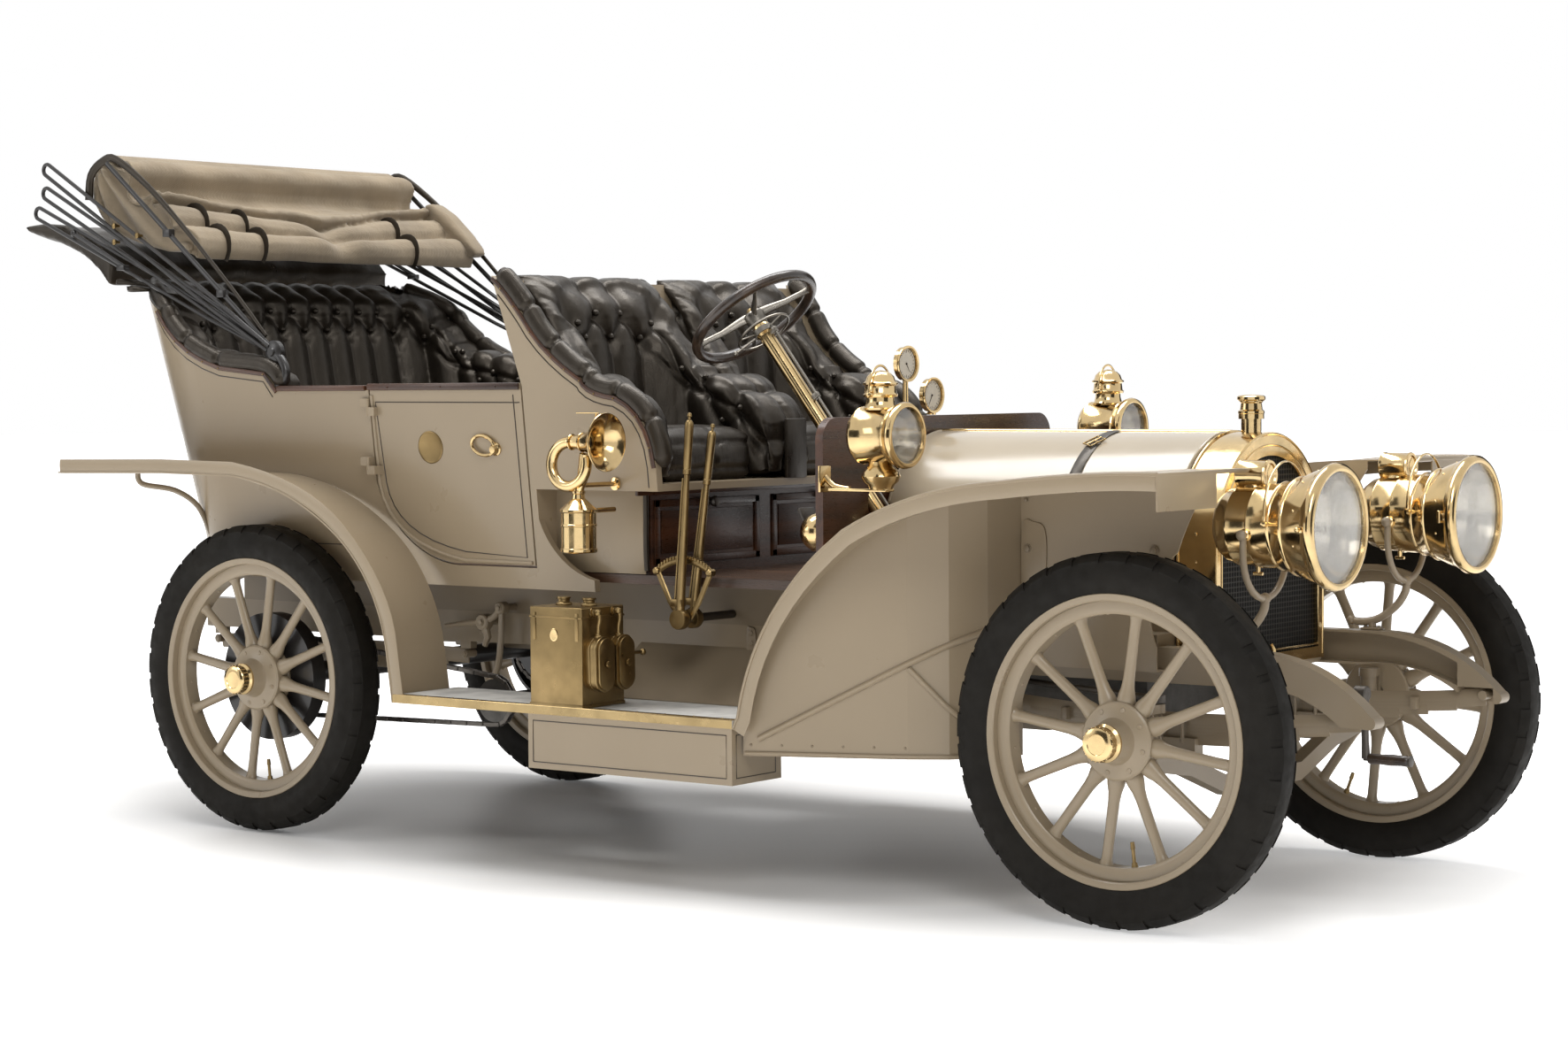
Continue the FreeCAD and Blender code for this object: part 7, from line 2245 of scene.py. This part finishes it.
# ---------------------------------------------------------------- controls and fittings
@dataclass
class Helm:
    """Steering wheel, column, hand levers, pedals and quadrant."""

    centre: Point = (0.424, -0.335, 1.509)
    rake: float = 51.8
    radius: float = 0.181

    def frame(self) -> Matrix:
        """Placement whose X runs up the column from the wheel's centre."""
        angle = math.radians(self.rake)
        return facing((-math.cos(angle), 0.0, math.sin(angle)), self.centre)

    def wheel(self) -> None:
        """Wooden rim, steel spider, hub and the control ring above it."""
        place = self.frame()
        rim, spider, hub = Stock(), Stock(), Stock()
        rim.ring((0.0, 0.0, 0.0), (1.0, 0.0, 0.0), self.radius, 0.0148, 96, 18)
        rim.piece("helm_rim", RIM_WOOD, "steering_wheel", ("steering_wheel",), 0.8, place)
        for index in range(4):
            angle = math.radians(45 + 90 * index)
            ray = Vector((0.0, math.cos(angle), math.sin(angle)))
            path = [Vector((0.004, 0.0, 0.0)) + ray * 0.020, Vector((0.004, 0.0, 0.0)) + ray * 0.045, Vector((-0.001, 0.0, 0.0)) + ray * 0.10, ray * 0.150, ray * 0.174]
            spider.pipe(path, [0.015, 0.0125, 0.0092, 0.0082, 0.0110], 12, flat=0.5, lean=(0.0, -math.sin(angle), math.cos(angle)))
        spider.turned(((-0.028, 0.0), (-0.028, 0.026), (-0.010, 0.029), (0.004, 0.031), (0.010, 0.028), (0.012, 0.020), (0.012, 0.0)), (0.0, 0.0, 0.0), segments=40)
        spider.piece("helm_spider", STEEL, "steering_wheel", (), 0.6, place)
        hub.turned(((0.010, 0.0), (0.010, 0.017), (0.020, 0.015), (0.026, 0.010), (0.028, 0.0)), (0.0, 0.0, 0.0), segments=32)
        hub.piece("helm_nut", OLD_BRASS, "steering_wheel", (), 0.6, place)
        ring = Stock()
        ring.ring((-0.052, 0.0, 0.0), (1.0, 0.0, 0.0), 0.078, 0.0034, 64, 10)
        for index in range(3):
            angle = math.radians(30 + 120 * index)
            ring.bar((-0.052, 0.026 * math.cos(angle), 0.026 * math.sin(angle)), (-0.052, 0.077 * math.cos(angle), 0.077 * math.sin(angle)), 0.0026)
        ring.turned(((-0.060, 0.0225), (-0.060, 0.030), (-0.044, 0.030), (-0.044, 0.0225), (-0.060, 0.0225)), (0.0, 0.0, 0.0), segments=32)
        for angle in (0.5, 2.2):
            start = Vector((-0.058, 0.030 * math.cos(angle), 0.030 * math.sin(angle)))
            end = Vector((-0.066, 0.098 * math.cos(angle), 0.098 * math.sin(angle)))
            ring.bar(start, end, 0.0032)
            ring.ball(end, 0.0072)
        ring.piece("control_ring", STEEL, "car", (), 0.6, place)

    def column(self) -> None:
        """Brass column tube with collars, control rod, and the steering box."""
        place = self.frame()
        tube, box, rod = Stock(), Stock(), Stock()
        tube.turned(((-0.034, 0.0), (-0.034, 0.024), (-0.042, 0.026), (-0.060, 0.026), (-0.066, 0.0205), (-0.500, 0.0205), (-0.504, 0.0235), (-0.520, 0.0235), (-0.524, 0.0205),
                     (-0.700, 0.0205), (-0.704, 0.0300), (-0.712, 0.0300), (-0.716, 0.0205), (-1.075, 0.0205), (-1.075, 0.0)), (0.0, 0.0, 0.0), segments=36)
        tube.piece("column_tube", BRASS, "car", ("steering_column",), 0.6, place)
        rod.bar((-0.060, 0.0, -0.034), (-0.700, 0.0, -0.034), 0.0042)
        for along in (-0.070, -0.300, -0.520):
            rod.block((along - 0.008, -0.007, -0.040), (along + 0.008, 0.007, -0.018), 0.0015)
        rod.piece("column_rod", STEEL, "car", (), 0.6, place)
        box.block((1.0105, -0.3715, 0.6615), (1.1445, -0.3025, 0.7245), 0.010, None, 3)
        box.block((1.0620, -0.3330, 0.6500), (1.1430, -0.3040, 0.6700), 0.001)
        box.block((1.0605, -0.3345, 0.5905), (1.1595, -0.2805, 0.6590), 0.008)
        box.turned(((0.0, 0.0), (0.0, 0.032), (0.012, 0.032), (0.016, 0.028), (0.030, 0.026), (0.034, 0.0)), (1.0433, -0.335, 0.722), UP, 32)
        for x in (1.090, 1.132):
            for y in (-0.360, -0.314):
                box.bolt((x, y, 0.7245), UP, 0.006, 0.005)
        box.bar((1.110, -0.285, 0.650), (1.110, -0.262, 0.650), 0.0119)
        box.piece("steering_box", FRAME_PAINT)

    def levers(self) -> None:
        """Two hand levers on a toothed quadrant."""
        brass, iron = Stock(), Stock()
        for y, top in ((-0.620, (0.420, 1.232)), (-0.562, (0.452, 1.202))):
            foot = Vector((0.380, y, 0.690))
            head = Vector((top[0], y, top[1]))
            axis = (head - foot).normalized()
            reach = (head - foot).length
            brass.turned(((0.0, 0.0125), (0.12, 0.0120), (0.30, 0.0095), (reach - 0.150, 0.0078), (reach - 0.148, 0.0115), (reach - 0.136, 0.0115), (reach - 0.134, 0.0100), (reach - 0.128, 0.0112),
                          (reach - 0.020, 0.0125), (reach - 0.010, 0.0115), (reach - 0.004, 0.0080), (reach, 0.0)), foot, axis, 24)
            brass.turned(((0.0, 0.0), (0.0, 0.0042), (0.010, 0.0040), (0.012, 0.0070), (0.020, 0.0050), (0.022, 0.0)), head - axis * 0.004, axis, 16)
            brass.bar(foot + axis * 0.05 + Vector((-0.020, 0.0, 0.0)), foot + axis * (reach - 0.16) + Vector((-0.013, 0.0, 0.0)), 0.0028)
            brass.block((foot.x - 0.024, y - 0.011, 0.725), (foot.x + 0.014, y + 0.011, 0.745), 0.002)
            brass.turned(((-0.013, 0.0), (-0.013, 0.026), (-0.009, 0.028), (0.009, 0.028), (0.013, 0.026), (0.013, 0.0)), foot, (0.0, 1.0, 0.0), 32)
        arc = []
        for step in range(19):
            angle = math.radians(52 + 76 * step / 18)
            arc.append((0.380 + 0.150 * math.cos(angle), -0.600, 0.700 + 0.150 * math.sin(angle)))
        brass.pipe(arc, 0.0105, 8, flat=0.38, lean=(0.0, 1.0, 0.0))
        for x, y, z in arc[1:-1]:
            brass.block((x - 0.0022, -0.606, z + 0.004), (x + 0.0022, -0.594, z + 0.0125), 0.0005, None, 1)
        for end in (arc[0], arc[-1]):
            brass.turned(((-0.010, 0.0), (-0.010, 0.010), (0.010, 0.010), (0.014, 0.006), (0.014, 0.0)), end, (0.0, -1.0, 0.0), 20)
        brass.pipe([arc[0], (0.430, -0.600, 0.735), (0.400, -0.600, 0.694)], 0.0085, 8, flat=0.5, lean=(0.0, 1.0, 0.0))
        brass.pipe([arc[-1], (0.330, -0.600, 0.735), (0.362, -0.600, 0.694)], 0.0085, 8, flat=0.5, lean=(0.0, 1.0, 0.0))
        brass.piece("hand_levers", OLD_BRASS, "car", ("driver_controls",))
        iron.bar((0.380, -0.628, 0.690), (0.380, -0.386, 0.690), 0.0115)
        for y in (-0.400, -0.270):
            iron.pipe([(0.730, y, 0.803), (0.700, y, 0.860), (0.660, y, 0.930)], 0.0085, 10)
            iron.block((-0.045, -0.035, -0.005), (0.045, 0.035, 0.005), 0.004, Matrix.Translation((0.664, y, 0.950)) @ Matrix.Rotation(math.radians(62), 4, "Y"))
            for index in range(5):
                iron.block((-0.038 + index * 0.018, -0.031, -0.008), (-0.032 + index * 0.018, 0.031, -0.0045), 0.0005, Matrix.Translation((0.664, y, 0.950)) @ Matrix.Rotation(math.radians(62), 4, "Y"), 1)
        iron.piece("lever_shaft_and_pedals", DARK_STEEL)

    def build(self) -> None:
        """Builds the driver's controls."""
        self.wheel()
        self.column()
        self.levers()


@dataclass
class Brasswork:
    """Horn, gas generator, gauges, brass dome on the dash and starting crank."""

    def horn(self) -> None:
        """Bell, looped pipe, neck and round chamber with a cone top."""
        y = -0.790
        stock = Stock()
        stock.turned(((0.000, 0.017), (0.020, 0.018), (0.055, 0.0245), (0.085, 0.034), (0.105, 0.047), (0.120, 0.064), (0.127, 0.076), (0.1305, 0.0795), (0.1325, 0.0785),
                      (0.1315, 0.075), (0.124, 0.062), (0.108, 0.043), (0.085, 0.030), (0.055, 0.021), (0.020, 0.0145), (0.000, 0.0135), (0.0, 0.017)), (0.140, y, 1.172), Axis.FORWARD.value, 64)
        for along in (0.010, 0.048):
            stock.ring((0.140 + along, y, 1.172), Axis.FORWARD.value, 0.0185 + along * 0.12, 0.0028, 40, 8)
        loop = [(0.145, y, 1.172)]
        for step in range(25):
            angle = math.radians(88 + 300 * step / 24)
            loop.append((0.142 + 0.060 * math.cos(angle), y - 0.010 * math.sin(step / 24 * math.pi), 1.112 + 0.060 * math.sin(angle)))
        loop += [(0.184, y, 1.070), (0.174, y, 1.050), (0.170, y, 1.030)]
        stock.pipe(loop, [0.0155] * (len(loop) - 3) + [0.0145, 0.014, 0.014], 18)
        stock.turned(((0.0, 0.0), (0.0, 0.047), (0.003, 0.0505), (0.010, 0.0505), (0.013, 0.048), (0.070, 0.048), (0.072, 0.050), (0.076, 0.050), (0.078, 0.048), (0.108, 0.048),
                      (0.111, 0.0515), (0.117, 0.0515), (0.120, 0.048), (0.128, 0.038), (0.140, 0.026), (0.146, 0.0185), (0.158, 0.0165), (0.160, 0.0190), (0.166, 0.0190), (0.168, 0.015), (0.180, 0.015), (0.180, 0.0)),
                     (0.170, y, 0.8735), UP, 56)
        stock.bar((0.170, y + 0.046, 0.985), (0.170, -0.640, 0.985), 0.007)
        stock.bar((0.170, y + 0.012, 1.055), (0.170, -0.638, 1.055), 0.007)
        stock.turned(((0.0, 0.0), (0.0, 0.018), (0.004, 0.018), (0.007, 0.010), (0.007, 0.0)), (0.170, -0.6345, 1.055), (0.0, -1.0, 0.0), 24)
        stock.bar((0.230, y + 0.004, 1.235), (0.232, y + 0.004, 1.250), 0.003)
        stock.bar((0.165, y, 1.2505), (0.245, y, 1.2505), 0.0016)
        stock.piece("horn_detail", BRASS, "car", ("horn",))
        # Painted shade: a black plug in the bell's narrow bore stands for the shade deep inside the horn.
        bore_shade = Stock()
        bore_shade.turned(((0.030, 0.0), (0.030, 0.0150), (0.060, 0.0205), (0.060, 0.0)), (0.140, y, 1.172), Axis.FORWARD.value, 32)
        bore_shade.piece("horn_bore_shade", IRON)

    def generator(self) -> None:
        """Brass box with caps, two drums, taps and two upright strips on its side."""
        stock = Stock()
        low, high = Vector((0.058, -0.868, 0.4605)), Vector((0.243, -0.692, 0.730))
        stock.block(low, high, 0.004, None, 3)
        stock.block((0.0565, -0.8695, 0.700), (0.2445, -0.6905, 0.706), 0.0015)
        stock.block((0.0565, -0.8695, 0.4605), (0.2445, -0.6905, 0.470), 0.0015)
        for x in (0.105, 0.195):
            stock.turned(((0.0, 0.0), (0.0, 0.021), (0.003, 0.023), (0.007, 0.021), (0.010, 0.016), (0.016, 0.016), (0.018, 0.019), (0.023, 0.019), (0.0235, 0.0)), (x, -0.780, 0.729), UP, 32)
        for y in (-0.822, -0.738):
            for start, reach, grow in ((0.242, 0.040, 0.0), (0.276, 0.010, 0.0035), (0.286, 0.008, -0.002), (0.256, 0.006, 0.002)):
                ends = []
                for step in range(24):
                    angle = math.tau * step / 24
                    lift = 0.038 if math.sin(angle) > 0 else -0.038
                    ends.append((start, y + (0.034 + grow) * math.cos(angle), 0.579 + lift + (0.034 + grow) * math.sin(angle)))
                stock.slab(ends, (reach, 0.0, 0.0), 0.0015)
            stock.turned(((0.0, 0.006), (0.004, 0.006), (0.005, 0.010), (0.010, 0.009), (0.012, 0.0)), (0.293, y, 0.579), Axis.FORWARD.value, 20)
            stock.turned(((0.0, 0.0), (0.0, 0.011), (0.005, 0.011), (0.008, 0.008), (0.012, 0.008), (0.012, 0.0)), (0.262, y, 0.648), UP, 20)
            neck = smooth_path(((0.262, y, 0.655), (0.264, y, 0.680), (0.268, y, 0.700), (0.262, y, 0.714), (0.244, y, 0.716)), 4)
            stock.pipe(neck, 0.0058, 10)
            stock.ball((0.262, y, 0.716), 0.0105)
            stock.bolt((0.2445, y, 0.716), Axis.FORWARD.value, 0.010, 0.008)
        stock.pipe([(0.262, -0.690, 0.600), (0.262, -0.660, 0.598), (0.262, -0.640, 0.598)], 0.0050, 10)
        stock.ball((0.262, -0.636, 0.598), 0.0095)
        for x in (0.075, 0.226):
            stock.block((x - 0.006, -0.8695, 0.640), (x + 0.006, -0.8665, 0.715), 0.001)
        plate = Stock()
        plate.turned(((0.0, 0.0), (0.0, 0.017), (0.0015, 0.0175), (0.003, 0.0155), (0.0025, 0.013), (0.0025, 0.0)), (0.0, 0.0, 0.0), segments=36)
        plate.moved(facing((0.0, -1.0, 0.0), (0.145, -0.868, 0.655)) @ Matrix.Diagonal((0.5, 0.8, 1.0, 1.0)))
        plate.piece("generator_plate", BRASS)
        stock.piece("generator_detail", OLD_BRASS, "car", ("gas_generator",))

    def gauges(self) -> None:
        """Brass cases with cream dials, ticks and needles."""
        case, dial, marks = Stock(), Stock(), Stock()
        for y, z, lean in ((-0.146, 1.377, 0.6), (-0.023, 1.290, -0.5)):
            case.turned(((-0.0235, 0.0), (-0.0235, 0.040), (-0.020, 0.044), (-0.002, 0.044), (0.0, 0.0475), (0.0005, 0.0495), (-0.003, 0.0498), (-0.006, 0.0475), (-0.008, 0.046), (-0.020, 0.046), (-0.0235, 0.040)), (0.810, y, z), Axis.FORWARD.value, 48)
            case.turned(((0.0005, 0.0480), (-0.001, 0.043), (-0.006, 0.0415), (-0.006, 0.0440), (0.0005, 0.0495), (0.0005, 0.0480)), (0.810, y, z), Axis.FORWARD.value, 48)
            case.turned(((0.0, 0.0), (0.0, 0.014), (0.004, 0.014), (0.008, 0.009), (z - 1.236 - 0.046, 0.0075), (z - 1.236 - 0.046, 0.0)), (0.798, y, 1.236), UP, 20)
            dial.turned(((0.0, 0.0), (0.0, 0.0420), (0.0015, 0.0420), (0.0015, 0.0)), (0.800, y, z), Axis.FORWARD.value, 40)
            for tick in range(24):
                angle = math.tau * tick / 24
                deep = 0.030 if tick % 3 == 0 else 0.033
                start = (0.8018, y + deep * math.cos(angle), z + deep * math.sin(angle))
                marks.bar(start, (0.8018, y + 0.038 * math.cos(angle), z + 0.038 * math.sin(angle)), 0.0006, None, 4)
            marks.bar((0.8024, y, z), (0.8024, y + 0.029 * math.sin(lean), z - 0.029 * math.cos(lean)), 0.0011, 0.0004, 6)
            marks.ball((0.8024, y, z), 0.0032, (1.0, 1.0, 1.0), 8)
        case.piece("gauge_cases", BRASS, "car", ("dash_gauges",))
        dial.piece("gauge_dials", DIAL)
        marks.piece("gauge_marks", LINE)

    def crank(self) -> None:
        """Starting handle with its turned wooden grip."""
        steel, grip = Stock(), Stock()
        steel.bar((1.758, 0.0, 0.530), (2.108, 0.0, 0.530), 0.0108)
        steel.turned(((0.0, 0.0), (0.0, 0.020), (0.030, 0.020), (0.034, 0.016), (0.034, 0.0)), (2.084, 0.0, 0.530), Axis.FORWARD.value, 28)
        steel.pipe([(2.108, 0.0, 0.536), (2.108, 0.0, 0.480), (2.110, 0.0, 0.410), (2.112, 0.0, 0.366)], [0.0125, 0.0105, 0.0100, 0.0120], 14, flat=0.75, lean=(0.0, 1.0, 0.0))
        steel.bar((2.106, 0.0, 0.366), (2.238, 0.0, 0.366), 0.0065)
        steel.turned(((0.0, 0.0), (0.0, 0.0145), (0.006, 0.0145), (0.008, 0.010), (0.008, 0.0)), (2.2315, 0.0, 0.366), Axis.FORWARD.value, 20)
        steel.piece("crank_steel", DARK_STEEL, "crank", ("starting_crank",))
        grip.turned(((0.0, 0.0), (0.0, 0.0120), (0.006, 0.0140), (0.030, 0.0128), (0.060, 0.0148), (0.090, 0.0132), (0.104, 0.0145), (0.110, 0.0115), (0.110, 0.0)), (2.121, 0.0, 0.366), Axis.FORWARD.value, 28)
        grip.piece("crank_grip", RIM_WOOD, "crank")

    def dome(self) -> None:
        """Round brass cover low on the driver's side of the dash."""
        stock = Stock()
        stock.ball((0.733, -0.460, 0.928), 0.052, (1.0, 1.0, 1.0), 28)
        stock.turned(((-0.012, 0.0), (-0.012, 0.040), (0.026, 0.040), (0.026, 0.0)), (0.770, -0.455, 0.928), Axis.FORWARD.value, 32)
        stock.ring((0.733, -0.460, 0.928), (-0.5, -0.6, 0.3), 0.052, 0.0022, 48, 8)
        stock.piece("dash_dome", BRASS)

    def build(self) -> None:
        """Builds the brasswork."""
        self.dome()
        self.horn()
        self.generator()
        self.gauges()
        self.crank()


@dataclass
class SeatBox:
    """Framed panels, knobs, screwed rail and painted sides of the box under the front seats."""

    face: float = 0.199

    def build(self) -> None:
        """Builds the panel on the box's front."""
        wood, brass = Stock(), Stock()
        x = self.face
        for low, high in ((-0.505, -0.030), (0.030, 0.505)):
            for start, end in (((low, 0.825), (high, 0.845)), ((low, 0.985), (high, 1.005)), ((low, 0.825), (low + 0.022, 1.005)), ((high - 0.022, 0.825), (high, 1.005))):
                wood.block((x - 0.002, start[0], start[1]), (x + 0.004, end[0], end[1]), 0.002)
            wood.block((x - 0.002, low + 0.032, 0.855), (x + 0.002, high - 0.032, 0.975), 0.0015)
            brass.turned(((0.0, 0.0), (0.0, 0.013), (0.003, 0.013), (0.006, 0.008), (0.014, 0.007), (0.018, 0.014), (0.026, 0.016), (0.032, 0.012), (0.034, 0.0)), (x + 0.003, (low + high) / 2, 0.995), Axis.FORWARD.value, 28)
        wood.block((x + 0.000, -0.588, 1.020), (x + 0.012, 0.588, 1.052), 0.003)
        for index in range(9):
            brass.rivet((x + 0.0122, -0.54 + index * 0.135, 1.036), Axis.FORWARD.value, 0.0042)
        sides, piping = Stock(), Stock()
        for side in Side:
            y = side.value * 0.5405
            rows = ((-0.145, 0.802), (x, 0.802), (x, 1.053), (-0.145, 1.053))
            sides.slab([(along, y, z) for along, z in rows], (0.0, side.value * 0.004, 0.0), 0.001)
            edge = smooth_path(((0.203, 1.050), (0.2035, 0.960), (0.203, 0.880), (0.206, 0.812)), 4)
            piping.pipe([(along, side.value * 0.546, z) for along, z in edge], 0.0075, 10)
            piping.pipe([(-0.140, side.value * 0.5475, 1.047), (0.200, side.value * 0.5475, 1.047)], 0.006, 8)
        sides.piece("seat_box_sides", PAINT)
        piping.piece("seat_box_piping", HIDE)
        wood.piece("seat_box_panels", MAHOGANY_ACROSS)
        brass.piece("seat_box_fittings", DARK_STEEL)


@dataclass
class HoodGear:
    """Hood irons, sockets, knobs, straps, bound edges of the canvas and the leather flap."""

    y: float = 0.647
    pivot: Flat = (-1.145, 1.430)

    def irons(self, side: Side) -> None:
        """Hairpin irons, brace, prop, socket and knobs of one side."""
        turn = side.value
        y = turn * self.y
        px, pz = self.pivot
        iron, brass = Stock(), Stock()
        for angle, reach, shift in ((23.0, 1.155, -0.004), (26.7, 1.140, 0.002), (30.2, 1.165, 0.008)):
            along = Vector((-math.cos(math.radians(angle)), 0.0, math.sin(math.radians(angle))))
            over = Vector((along.z, 0.0, -along.x))
            at = Vector((px, y + turn * shift, pz))
            path = [at + along * 0.02 + over * 0.008, at + along * 0.30 + over * 0.017, at + along * reach + over * 0.018]
            for step in range(1, 8):
                turned = math.pi * step / 8
                path.append(at + along * (reach + 0.018 * math.sin(turned)) + over * (0.018 * math.cos(turned)))
            path += [at + along * reach - over * 0.018, at + along * 0.30 - over * 0.017, at + along * 0.02 - over * 0.008]
            iron.pipe(path, 0.0062, 10)
        corner = Vector((-1.880, y, 2.025))
        start = Vector((px, y, pz))
        iron.pipe([start, start.lerp(corner, 0.5), corner], 0.0085, 10, flat=0.62, lean=(0.0, 1.0, 0.0))
        iron.turned(((-0.014, 0.0), (-0.014, 0.031), (-0.010, 0.034), (0.006, 0.034), (0.010, 0.026), (0.012, 0.014), (0.018, 0.012), (0.018, 0.0)), (px, y, pz), (0.0, turn, 0.0), 32)
        hook = smooth_path(((px, y, pz), (px + 0.030, y, pz - 0.024), (px + 0.048, y, pz - 0.062), (px + 0.030, y, pz - 0.098), (px - 0.002, y, pz - 0.106)), 6)
        iron.pipe(hook, 0.0135, 12)
        iron.block((px - 0.038, min(y - turn * 0.008, y + turn * 0.006), pz - 0.116), (px + 0.012, max(y - turn * 0.008, y + turn * 0.006), pz - 0.052), 0.003)
        iron.bar((-2.040, y, 1.812), (-1.806, y, 1.702), 0.0062)
        iron.ball((-2.040, y, 1.812), 0.0115)
        iron.block((-1.830, y - 0.012, 1.690), (-1.795, y + 0.012, 1.706), 0.002)
        for share in (0.30, 0.62):
            base = start.lerp(corner, share)
            iron.block((base.x - 0.016, base.y - 0.012, base.z - 0.012), (base.x + 0.016, base.y + 0.012, base.z + 0.012), 0.003)
        for share, lift in ((0.78, 0.020), (0.78, -0.030), (0.66, 0.045)):
            angle = math.radians(29.0)
            base = Vector((px - math.cos(angle) * share, y, pz + math.sin(angle) * share + lift))
            brass.turned(((0.0, 0.0), (0.0, 0.005), (0.012, 0.005), (0.014, 0.008), (0.022, 0.009), (0.026, 0.0)), base, (0.0, turn, 0.0), 16)
        iron.piece(f"hood_irons_{side.name.lower()}", IRON, "car", ("hood_irons",))
        brass.piece(f"hood_knobs_{side.name.lower()}", OLD_BRASS)

    def flap(self) -> None:
        """Black leather envelope behind the hood, as a soft curved leaf."""
        form = Stock()
        rows = ((-1.902, 1.706), (-1.960, 1.772), (-2.050, 1.822), (-2.150, 1.842), (-2.240, 1.848), (-2.318, 1.840), (-2.300, 1.822), (-2.235, 1.806), (-2.150, 1.788),
                (-2.060, 1.752), (-1.985, 1.700), (-1.915, 1.634))
        form.slab([(x, -0.616, z) for x, z in rows], (0.0, 1.232, 0.0), 0.0)
        mesh = Stuffing(0.011, 3, 1.5, 0.005, 10, 0).stuffed(form)

        def move(place: Vector, normal: Vector) -> Vector:
            """Lets the leather sag and wrinkle."""
            across = abs(place.y) / 0.616
            tail = eased(-place.x, 1.95, 2.33)
            wrinkle = 0.005 * math.sin(place.y * 14.0 + place.x * 9.0) + 0.003 * math.sin(place.y * 41.0 - place.z * 30.0)
            return normal * (wrinkle * (1.0 - 0.6 * across)) - Vector((0.0, 0.0, 0.018 * tail * (1.0 - across ** 2)))

        carved(mesh, move, 1)
        made = finished(mesh, "hood_flap_soft", HIDE, "car", ("hood_flap",))

    def bands(self) -> None:
        """Straps round the two lower rolls, and the bound edges at the ends of the canvas."""
        straps = Stock()
        cloth = Hood()
        for y in (-0.500, -0.345, 0.330):
            hem = 0.300 - 0.105 * abs(y) / cloth.half
            room = (0.452 - hem) / 2.0
            for index in range(2):
                path = []
                for step in range(13):
                    angle = math.pi * step / 12
                    down = hem + 0.008 + room * (index + (1.0 - math.cos(angle)) / 2.0)
                    over = -0.068 + (cloth.strapped + 0.006 * index + 0.005) * math.sin(angle)
                    path.append((cloth.ridge[0] + 0.795 * down + 0.606 * over, y, cloth.ridge[1] - 0.606 * down + 0.795 * over))
                straps.pipe(path, 0.013, 8, flat=0.18, lean=(0.0, 1.0, 0.0))
        for side in (-1.0, 1.0):
            edge = smooth_path(((-1.975, 1.915), (-1.965, 1.990), (-1.910, 2.032), (-1.845, 2.036), (-1.700, 1.945), (-1.560, 1.830), (-1.440, 1.722), (-1.300, 1.590), (-1.190, 1.478)), 4)
            straps.pipe([(x, side * 0.6375, z) for x, z in edge], [0.017 - 0.010 * min(1.0, index / 24) for index in range(len(edge))], 10, flat=0.6, lean=(0.0, 1.0, 0.0))
        straps.piece("hood_straps", HIDE)

    def build(self) -> None:
        """Builds the hood's gear."""
        for side in Side:
            self.irons(side)
        self.flap()
        self.bands()
        form = Stock()
        form.block((0.304, -0.046, 1.055), (0.318, 0.046, 1.225), 0.004)
        form.piece("seat_gap_leather", HIDE)


MAKERS: tuple[type, ...] = (RoadWheel, Headlamp, SideLamp, BodyTrim, GuardTrim, Nose, LeafSprings, BrakeGear, Helm, Brasswork, SeatBox, HoodGear, Upholstery, Hood)


def main() -> None:
    """Builds the car's pieces in order."""
    logging.basicConfig(level=logging.INFO, format="%(message)s")
    Studio().build()
    dress_frame()
    for maker in MAKERS:
        maker().build()


if __name__ == "__main__":
    main()
